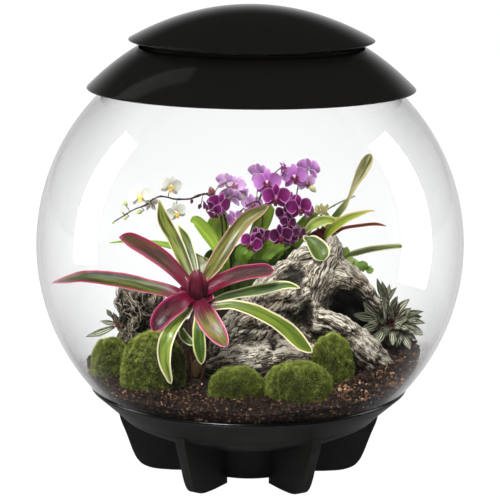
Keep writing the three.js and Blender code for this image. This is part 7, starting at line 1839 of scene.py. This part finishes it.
SPRAYS["orchid_spray_purple_left"]["flowers"] += [
    ([-29.7, 56.0, 340.0], 26, [0.35, 0.92, 0.2], 10, "l", 1.0),
    ([-16.7, 54.0, 337.0], 24, [-0.3, -0.9, 0.35], -20, "l", 1.0),
    ([-10.7, 57.0, 328.0], 22, [0.5, 0.8, 0.0], 25, "l", 0.95),
]
SPRAYS["orchid_spray_purple_mid"]["flowers"] += [
    ([9.5, 53.0, 352.0], 27, [0.25, 0.93, 0.28], 0, "l", 0.75),
    ([38.5, 44.0, 360.5], 14, [0.8, -0.5, 0.3], 30, "p", 0.35),
    ([9.0, 37.0, 281.0], 18, [-0.5, -0.8, 0.2], -30, "d", 0.15),
]
SPRAYS["orchid_spray_purple_mid"]["buds"][0] = ([38.5, 46.0, 356.0], 8, [0.1, 0.0, 0.995], 0.2)
SPRAYS["orchid_spray_purple_right"]["flowers"] += [
    ([66.6, 55.0, 341.0], 25, [0.3, -0.9, -0.25], 12, "l", 0.9),
    ([47.0, 44.0, 322.0], 20, [0.4, -0.85, 0.3], -25, "p", 0.3),
    ([70.5, 42.0, 307.0], 19, [0.75, -0.6, -0.1], 20, "p", 0.4),
    ([49.0, 34.0, 274.0], 19, [0.2, -0.95, -0.2], 35, "d", 0.1),
]


def make_sprays():
    for i, (node, spray) in enumerate(SPRAYS.items()):
        s = Soup()
        mats = [STEMS, BUDS]
        index = {}
        for key in ("purple", "lilac", "white", "yellow"):
            index[key] = len(mats)
            mats.append(PETALS[key])
            index["lip_" + key] = len(mats)
            mats.append(LIPS[key])
        white = "white" in node or "yellow" in node
        index["column"] = index["white"] if white else index["lilac"]
        stem = np.array(spray["stem"], float)
        total = np.linalg.norm(np.diff(stem[:, :3], axis=0), axis=1).sum()
        path = even(stem, max(60, int(total / 2.2)))
        wob = np.stack([noise(path[:, :3] / 18 + 5 * k, 301 + i) for k in range(3)], 1) * 0.7
        path[:, :3] += wob
        s_len = np.concatenate([[0], np.cumsum(np.linalg.norm(np.diff(path[:, :3], axis=0), axis=1))])
        node_at = (s_len % 23.0)
        swell = np.exp(-(((node_at - 11.5) / 1.4) ** 2)) * 0.55
        v, f, al = tube(path[:, :3], path[:, 3] * 0.78 + swell * 0.8, 14)
        tone = 0.1 + (0.16 if not white else 0.22) * al
        if "yellow" in node:
            tone = 0.35 + 0.4 * al
        s.add(v, f, tone=tone)

        def pedicel(c, d, thin, off, tn, seed):
            """A short stalk that leaves the stem and bends into the back of a flower or bud."""
            c, d = np.array(c, float), unit(d)
            end = c - d * off
            gap = np.linalg.norm(path[:, :3] - end, axis=1) + 0.4 * np.clip(s_len - s_len[-1] * 0.97, 0, None)
            q = path[np.argmin(gap), :3]
            lift = np.array([0, 0, 0.18 * np.linalg.norm(end - q)])
            w = even(np.array([q, q * 0.6 + end * 0.4 + lift, end - d * 2.0, end + d * 0.8]), 20)
            v, f, al = tube(w, thin * (0.8 + 0.35 * np.linspace(0, 1, len(w))), 10)
            s.add(v, f, tone=tn)

        for j, (c, size, f, roll, kind, tn) in enumerate(spray["flowers"]):
            make_flower(s, index, c, size, np.array(f), roll, kind, tn, 1000 + 40 * i + 11 * j)
            pedicel(c, f, 0.62, 1.0, 0.65 if kind in "wyl" else 0.3, j)
        for j, (c, size, d, tn) in enumerate(spray["buds"]):
            make_bud(s, c, size, np.array(d), (0.5 + 0.5 * tn * 0.4) if white else (0.9 * tn if tn > 0.7 else tn), 1, 500 + j)
            pedicel(c, d, 0.5, size * 0.48, 0.5 if white else 0.15, j)
        seat(s.piece(node.replace("orchid_spray", "orchid_flowers"), mats), "orchid_white" if white else "orchid_purple", node)


make_sprays()


# ---------------------------------------------------------------- trailing plants
def peperomia_material():
    m = Mat("peperomia")
    across, along, top, tone = m.attr("across"), m.attr("along"), m.attr("top"), m.attr("tone")
    a = m.math("ABSOLUTE", across)
    n = m.noise(m.join(m.math("MULTIPLY", across, 10.0), m.math("MULTIPLY", along, 5.0), m.math("MULTIPLY", tone, 7.0)), 1.0, 3)
    wob = m.math("ADD", a, m.math("MULTIPLY_ADD", n, 0.2, -0.1))
    one = m.math("MULTIPLY", m.step(wob, 0.1, 0.2), m.step(wob, 0.36, 0.46, 1.0, 0.0))
    two = m.math("MULTIPLY", m.step(wob, 0.68, 0.76), m.step(wob, 0.84, 0.92, 1.0, 0.0))
    stripe = m.math("MAXIMUM", one, m.math("MULTIPLY", two, 0.5))
    fade = m.math("MULTIPLY", m.step(along, 0.02, 0.2), m.step(along, 0.82, 0.98, 1.0, 0.0))
    deep = m.mix(m.step(tone, 0.1, 0.9), srgb(9, 14, 9), srgb(28, 38, 18))
    deep = m.mix(m.step(m.math("ABSOLUTE", m.math("SUBTRACT", tone, 0.5)), 0.1, 0.24, 0.75, 0.0), deep, srgb(46, 14, 14))
    col = m.mix(m.math("MULTIPLY", stripe, fade), m.mix(n, deep, srgb(26, 36, 18)), m.mix(tone, srgb(110, 122, 92), srgb(206, 210, 180)))
    col = m.mix(m.step(a, 0.9, 0.98, 0.0, 0.8), col, srgb(190, 182, 152))
    col = m.mix(m.step(m.attr("rib"), 0.3, 0.8), col, srgb(112, 52, 44))
    col = m.mix(m.step(top, 0.3, 0.7, 0.85, 0.0), col, srgb(96, 44, 44))
    m.put(Base_Color=col, Roughness=m.math("MULTIPLY_ADD", n, 0.15, 0.26), Normal=m.bump(m.math("SUBTRACT", n, stripe), 0.0006, 0.5))
    m.b.inputs["Specular IOR Level"].default_value = 0.5
    m.b.inputs["Subsurface Weight"].default_value = 0.06
    m.b.inputs["Subsurface Scale"].default_value = 0.001
    return m


def creeper_material():
    m = Mat("creeper")
    across, along, tone = m.attr("across"), m.attr("along"), m.attr("tone")
    n = m.noise(m.join(m.math("MULTIPLY", across, 6.0), m.math("MULTIPLY", along, 6.0), m.math("MULTIPLY", tone, 9.0)), 1.0, 3)
    col = m.ramp(m.math("ADD", m.math("MULTIPLY", tone, 0.6), m.math("MULTIPLY", n, 0.5)), [(0.1, srgb(66, 92, 30)), (0.5, srgb(110, 140, 54)), (0.9, srgb(158, 180, 96))])
    m.put(Base_Color=col, Roughness=m.math("MULTIPLY_ADD", n, 0.2, 0.35), Normal=m.bump(n, 0.0004, 0.4))
    m.b.inputs["Subsurface Weight"].default_value = 0.2
    m.b.inputs["Subsurface Scale"].default_value = 0.0015
    return m


def trailing(name, plant, mat, slot_name, node, stem_tone, extra=0, seed=0, round_leaf=False, heart=None):
    rng = np.random.default_rng(seed)
    s = Soup()
    for st in plant["stems"]:
        path = even(np.array(st, float), 36)
        path[:, :3] += np.stack([noise(path[:, :3] / 11 + 3 * k, 401 + seed) for k in range(3)], 1) * 0.8
        v, f, al = tube(path[:, :3], path[:, 3] * (0.8 + 0.12 * np.sin(np.arange(len(path)) * 1.1)), 12)
        s.add(v, f, rib=stem_tone, tone=0.3, top=1.0, across=0.0, along=0.0)
    leaves = [dict(leaf, w=[x * (1.0 if round_leaf else 1.05) for x in leaf["w"]]) for leaf in plant["leaves"]]
    for leaf in leaves:
        if leaf["p"][0][0] > 100 and leaf["p"][-1][0] < 150 and not round_leaf:
            leaf["p"] = np.array(leaf["p"], float) + np.array([0, -13.0, 0])
    for leaf in list(leaves):
        for k in range(extra):  # further leaves of the same whorl, turned about its axis and a little lower
            q, n = np.array(leaf["p"], float), np.array(leaf["n"], float)
            turn = Matrix.Rotation((k % 2 * 2 - 1) * rng.uniform(0.35, 1.1), 3, Vector(unit(np.array([0.1, -0.35, 1.0]) + rng.normal(size=3) * 0.25)))
            turn = np.array(turn)
            size = rng.uniform(0.7, 1.0)
            q2 = q[0] + (q - q[0]) @ turn.T * size + np.array([rng.uniform(-3, 3), rng.uniform(-7, 6), rng.uniform(-7, 3)])
            leaves.append({"p": q2, "w": [x * size for x in leaf["w"]], "n": n @ turn.T})
    if heart is not None:  # young leaves that close the middle of the tuft
        for k in range(10):
            o = np.array([math.cos(k * 2.4), 0, math.sin(k * 2.4)])
            reach = 13 + 1.3 * k
            p = [np.array(heart) + o * r + [0, y, 0] for r, y in ((1.5, 9 - 0.4 * k), (reach * 0.5, 3.5 - 0.4 * k), (reach, 4 - 0.5 * k))]
            leaves.append({"p": p, "w": [4.5, 9.5, 3.0], "n": [[0.1, -0.93, 0.3]] * 3})
    for j, leaf in enumerate(leaves):
        leaf = dict(leaf, p=in_glass(np.array(leaf["p"], float), 3.5))
        v, f, at = blade(leaf, 26, 16, thick=0.8, cup=0.1 if round_leaf else 0.2, cup_power=1.2, wave=0.06, seed=seed + j, edge_thin=0.5)
        at.pop("edge")
        s.add(v, f, tone=rng.uniform(0, 1), **at)
        # leaf stalk, back to the nearest stem
        base = np.array(leaf["p"][0], float)
        if plant["stems"]:
            pts = np.vstack([even(np.array(st, float), 40)[:, :3] for st in plant["stems"]])
            q = pts[np.argmin(np.linalg.norm(pts - base, axis=1))]
            d = np.array(leaf["p"][1], float) - base
            w = even(np.array([q, (q + base) / 2 - unit(d) * 0.5 + [0, 0, -0.6], base + d * 0.12]), 12)
            v, f, al = tube(w, 1.0, 8)
            s.add(v, f, rib=stem_tone, tone=0.4, top=1.0, across=0.0, along=0.0)
    return seat(s.piece(name, [mat]), slot_name, node)


pep = peperomia_material()
trailing("peperomia_plant_right", PEPEROMIA_RIGHT, pep, "peperomia", "peperomia_right", 1.0, extra=3, seed=3, heart=(168.0, 25.0, 180.0))
trailing("peperomia_plant_left", PEPEROMIA_LEFT, pep, "peperomia", "peperomia_left", 1.0, extra=0, seed=5)
trailing("creeper_plant", CREEPER, creeper_material(), "creeper", "creeper", 0.0, seed=7, round_leaf=True)

STRIPS = [("strip_left", (-1.4, 0.037, 0.80), (0, 0.037, 0.80), (0.43, 1.42), 0.117),
          ("strip_right", (0.9, 0.003, 0.548), (0, 0.003, 0.548), (0.36, 0.985), -0.2)]
STRIP_LIGHT, SKY, KEY, FILL, BEHIND, LID_LAMP = 70.0, 0.3, 62.0, 0.0, 9.0, 0.15
SIDE_LEFT, SIDE_RIGHT, TOP = 12.0, 4.0, 18.0

# ---------------------------------------------------------------- floor, light and camera
def make_floor():
    v, f, vol = turned([(0.0, -1.5), (60, -1.5), (400, -1.5), (1200, -1.5), (9000, -1.5), (9000, -3.0), (0.0, -3.0)], 96)
    m = Mat("floor")
    p = m.where()
    m.put(Base_Color=m.ramp(m.noise(p, 1.2, 4), [(0.3, srgb(238, 238, 237)), (0.7, srgb(247, 247, 246))]), Roughness=m.math("MULTIPLY_ADD", m.noise(p, 30.0, 3), 0.1, 0.6))
    m.b.inputs["Specular IOR Level"].default_value = 0.0
    path = m.node("LightPath").outputs
    glow = m.node("Emission", {"Color": (1, 1, 1, 1), "Strength": m.math("MULTIPLY_ADD", path["Is Transmission Ray"], 0.1, 1.08)}).outputs[0]
    direct = m.math("LESS_THAN", path["Glossy Depth"], 0.5)
    seen = m.math("MULTIPLY", m.math("MAXIMUM", path["Is Camera Ray"], path["Is Transmission Ray"]), direct)
    both = m.node("MixShader", {0: m.math("MULTIPLY", seen, 0.93), 1: m.b.outputs[0], 2: glow}).outputs[0]
    far = m.step(m.node("SeparateXYZ", {0: p}).outputs["Y"], -0.15, 0.45, 0.03, 0.72)
    dim = m.node("Emission", {"Color": (1, 1, 1, 1), "Strength": far}).outputs[0]
    only = m.math("SUBTRACT", 1.0, direct)
    both = m.node("MixShader", {0: only, 1: both, 2: dim}).outputs[0]
    m.t.links.new(both, m.out.inputs[0])
    s = Soup()
    s.add(v, outward(v, f))
    ob = s.piece("floor", [m.m])
    return ob


floor = make_floor()


def make_world():
    w = bpy.data.worlds.new("studio")
    bpy.context.scene.world = w
    w.use_nodes = True
    t = w.node_tree
    t.nodes.clear()
    out = t.nodes.new("ShaderNodeOutputWorld")
    path = t.nodes.new("ShaderNodeLightPath")

    def back(rgb, strength):
        n = t.nodes.new("ShaderNodeBackground")
        n.inputs[0].default_value = tuple(rgb) + (1,)
        n.inputs[1].default_value = strength
        return n.outputs[0]

    def pick(fac, a, b):
        n = t.nodes.new("ShaderNodeMixShader")
        t.links.new(fac, n.inputs[0])
        t.links.new(a, n.inputs[1])
        t.links.new(b, n.inputs[2])
        return n.outputs[0]

    seen, mirrored = t.nodes.new("ShaderNodeMath"), t.nodes.new("ShaderNodeMath")
    seen.operation, mirrored.operation = "MAXIMUM", "GREATER_THAN"
    t.links.new(path.outputs["Is Camera Ray"], seen.inputs[0])
    t.links.new(path.outputs["Is Transmission Ray"], seen.inputs[1])
    t.links.new(path.outputs["Glossy Depth"], mirrored.inputs[0])
    mirrored.inputs[1].default_value = 0.5
    x = pick(seen.outputs[0], back((1, 1, 1), SKY), back((1, 1, 1), 1.0))
    # the room as a mirror sees it: a white backdrop behind and low, dark in front and above
    where = t.nodes.new("ShaderNodeTexCoord").outputs["Generated"]
    split = t.nodes.new("ShaderNodeSeparateXYZ")
    t.links.new(where, split.inputs[0])

    def ramp(value, lo, hi, a, b):
        n = t.nodes.new("ShaderNodeMapRange")
        n.interpolation_type = "SMOOTHSTEP"
        t.links.new(value, n.inputs["Value"])
        for k, q in (("From Min", lo), ("From Max", hi), ("To Min", a), ("To Max", b)):
            n.inputs[k].default_value = q
        return n.outputs[0]

    def times(a, b):
        n = t.nodes.new("ShaderNodeMath")
        n.operation = "MULTIPLY"
        t.links.new(a, n.inputs[0])
        t.links.new(b, n.inputs[1])
        return n.outputs[0]

    behind = times(ramp(split.outputs["Y"], -0.1, 0.85, 0.0, 1.0), ramp(split.outputs["Z"], 0.04, 0.5, 1.0, 0.0))
    room = pick(behind, back((0.97, 0.985, 1.0), 0.035), back((1, 1, 1), 0.62))
    x = pick(mirrored.outputs[0], x, room)
    t.links.new(x, out.inputs[0])


make_world()
globe = bpy.data.objects["globe_glass"]
on_globe = bpy.data.collections.new("on_globe")
on_globe.objects.link(globe)
off_globe = bpy.data.collections.new("off_globe")
off_globe.objects.link(globe)
for name in ("lid_lower_dome", "lid_upper_dome"):
    off_globe.objects.link(bpy.data.objects[name])
for item in off_globe.collection_objects:
    item.light_linking.link_state = "EXCLUDE"


# what stands inside the globe
inside = bpy.data.collections.new("inside")
for slot_name in ("soil", "moss", "driftwood", "root_bark", "bromeliad_red", "bromeliad_cream", "bromeliad_b_leaf", "orchid_leaf", "orchid_purple", "orchid_white", "peperomia", "creeper"):
    for ob in SEATED.get(slot_name, []):
        inside.objects.link(ob)


def lamp(name, at, towards, size, power, only=None, colour=(1, 1, 1), roll=0.0, spread=180, first_only=False, shape="RECTANGLE", blockers=None):
    data = bpy.data.lights.new(name, "AREA")
    data.shape = shape
    data.size, data.size_y = size
    data.energy, data.color = power, colour
    data.spread = math.radians(spread)
    ob = bpy.data.objects.new(name, data)
    bpy.context.scene.collection.objects.link(ob)
    ob.location = at
    ob.rotation_euler = (Vector(towards) - Vector(at)).to_track_quat("-Z", "Y").to_euler()
    if roll:
        ob.rotation_euler.rotate_axis("Z", roll)
    ob.visible_camera = False
    if only is not None:
        ob.light_linking.receiver_collection = only
    if blockers is not None:
        ob.light_linking.blocker_collection = blockers
    if first_only:  # shows in the glass's outer face and not again in its far wall
        data.use_nodes = True
        t = data.node_tree
        glow = next(n for n in t.nodes if n.type == "EMISSION")
        path, low = t.nodes.new("ShaderNodeLightPath"), t.nodes.new("ShaderNodeMath")
        low.operation = "LESS_THAN"
        low.inputs[1].default_value = 0.5
        t.links.new(path.outputs["Transmission Depth"], low.inputs[0])
        t.links.new(low.outputs[0], glow.inputs["Strength"])
    return ob


lamp("key", (-0.7, -1.6, 2.0), (0, 0, 0.2), (0.5, 0.5), KEY, off_globe)
lamp("side_left", STRIPS[0][1], STRIPS[0][2], STRIPS[0][3], SIDE_LEFT, off_globe)
lamp("side_right", STRIPS[1][1], STRIPS[1][2], STRIPS[1][3], SIDE_RIGHT, off_globe)
lamp("top", (-0.3, -0.45, 1.5), (0, -0.02, 0.2), (0.3, 0.3), TOP, inside, blockers=inside).visible_glossy = False
on_lid = bpy.data.collections.new("on_lid")
for name in ("lid_lower_dome", "lid_upper_dome"):
    on_lid.objects.link(bpy.data.objects[name])
lamp("lid_band", (-1.2, 0.75, 1.95), (0, 0, 0.48), (0.34, 1.3), 0.5, on_lid)
for name, at in (("behind", (0.9, 1.7, 1.1)), ("behind_left", (-1.2, 1.6, 1.0))):
    lamp(name, at, (0, 0, 0.25), (1.2, 1.2), BEHIND, off_globe).visible_glossy = False
lamp("lid_lamp", (0, 0, 0.464), (0, 0.0001, 0.1), (0.19, 0.19), LID_LAMP, off_globe, colour=(1.0, 0.985, 0.95), shape="DISK")
for name, at, towards, size, roll in STRIPS:
    lamp(name, at, towards, size, STRIP_LIGHT * size[0] * size[1], on_globe, roll=roll, first_only=True)

cam_data = bpy.data.cameras.new("camera")
cam_data.lens, cam_data.sensor_width = FOCAL, 36.0
cam_data.clip_end = 60
cam = bpy.data.objects.new("camera", cam_data)
bpy.context.scene.collection.objects.link(cam)
cam.matrix_world = Matrix.Translation(CAMERA) @ Matrix.Rotation(math.pi / 2 - PITCH, 4, "X") @ Matrix.Rotation(ROLL, 4, "Z")
bpy.context.scene.camera = cam
view = bpy.context.scene.view_settings
view.view_transform, view.look, view.exposure, view.gamma = "Standard", "None", 0.0, 1.0
cycles = bpy.context.scene.cycles
cycles.max_bounces, cycles.transmission_bounces, cycles.transparent_max_bounces, cycles.glossy_bounces, cycles.diffuse_bounces = 14, 12, 24, 6, 3
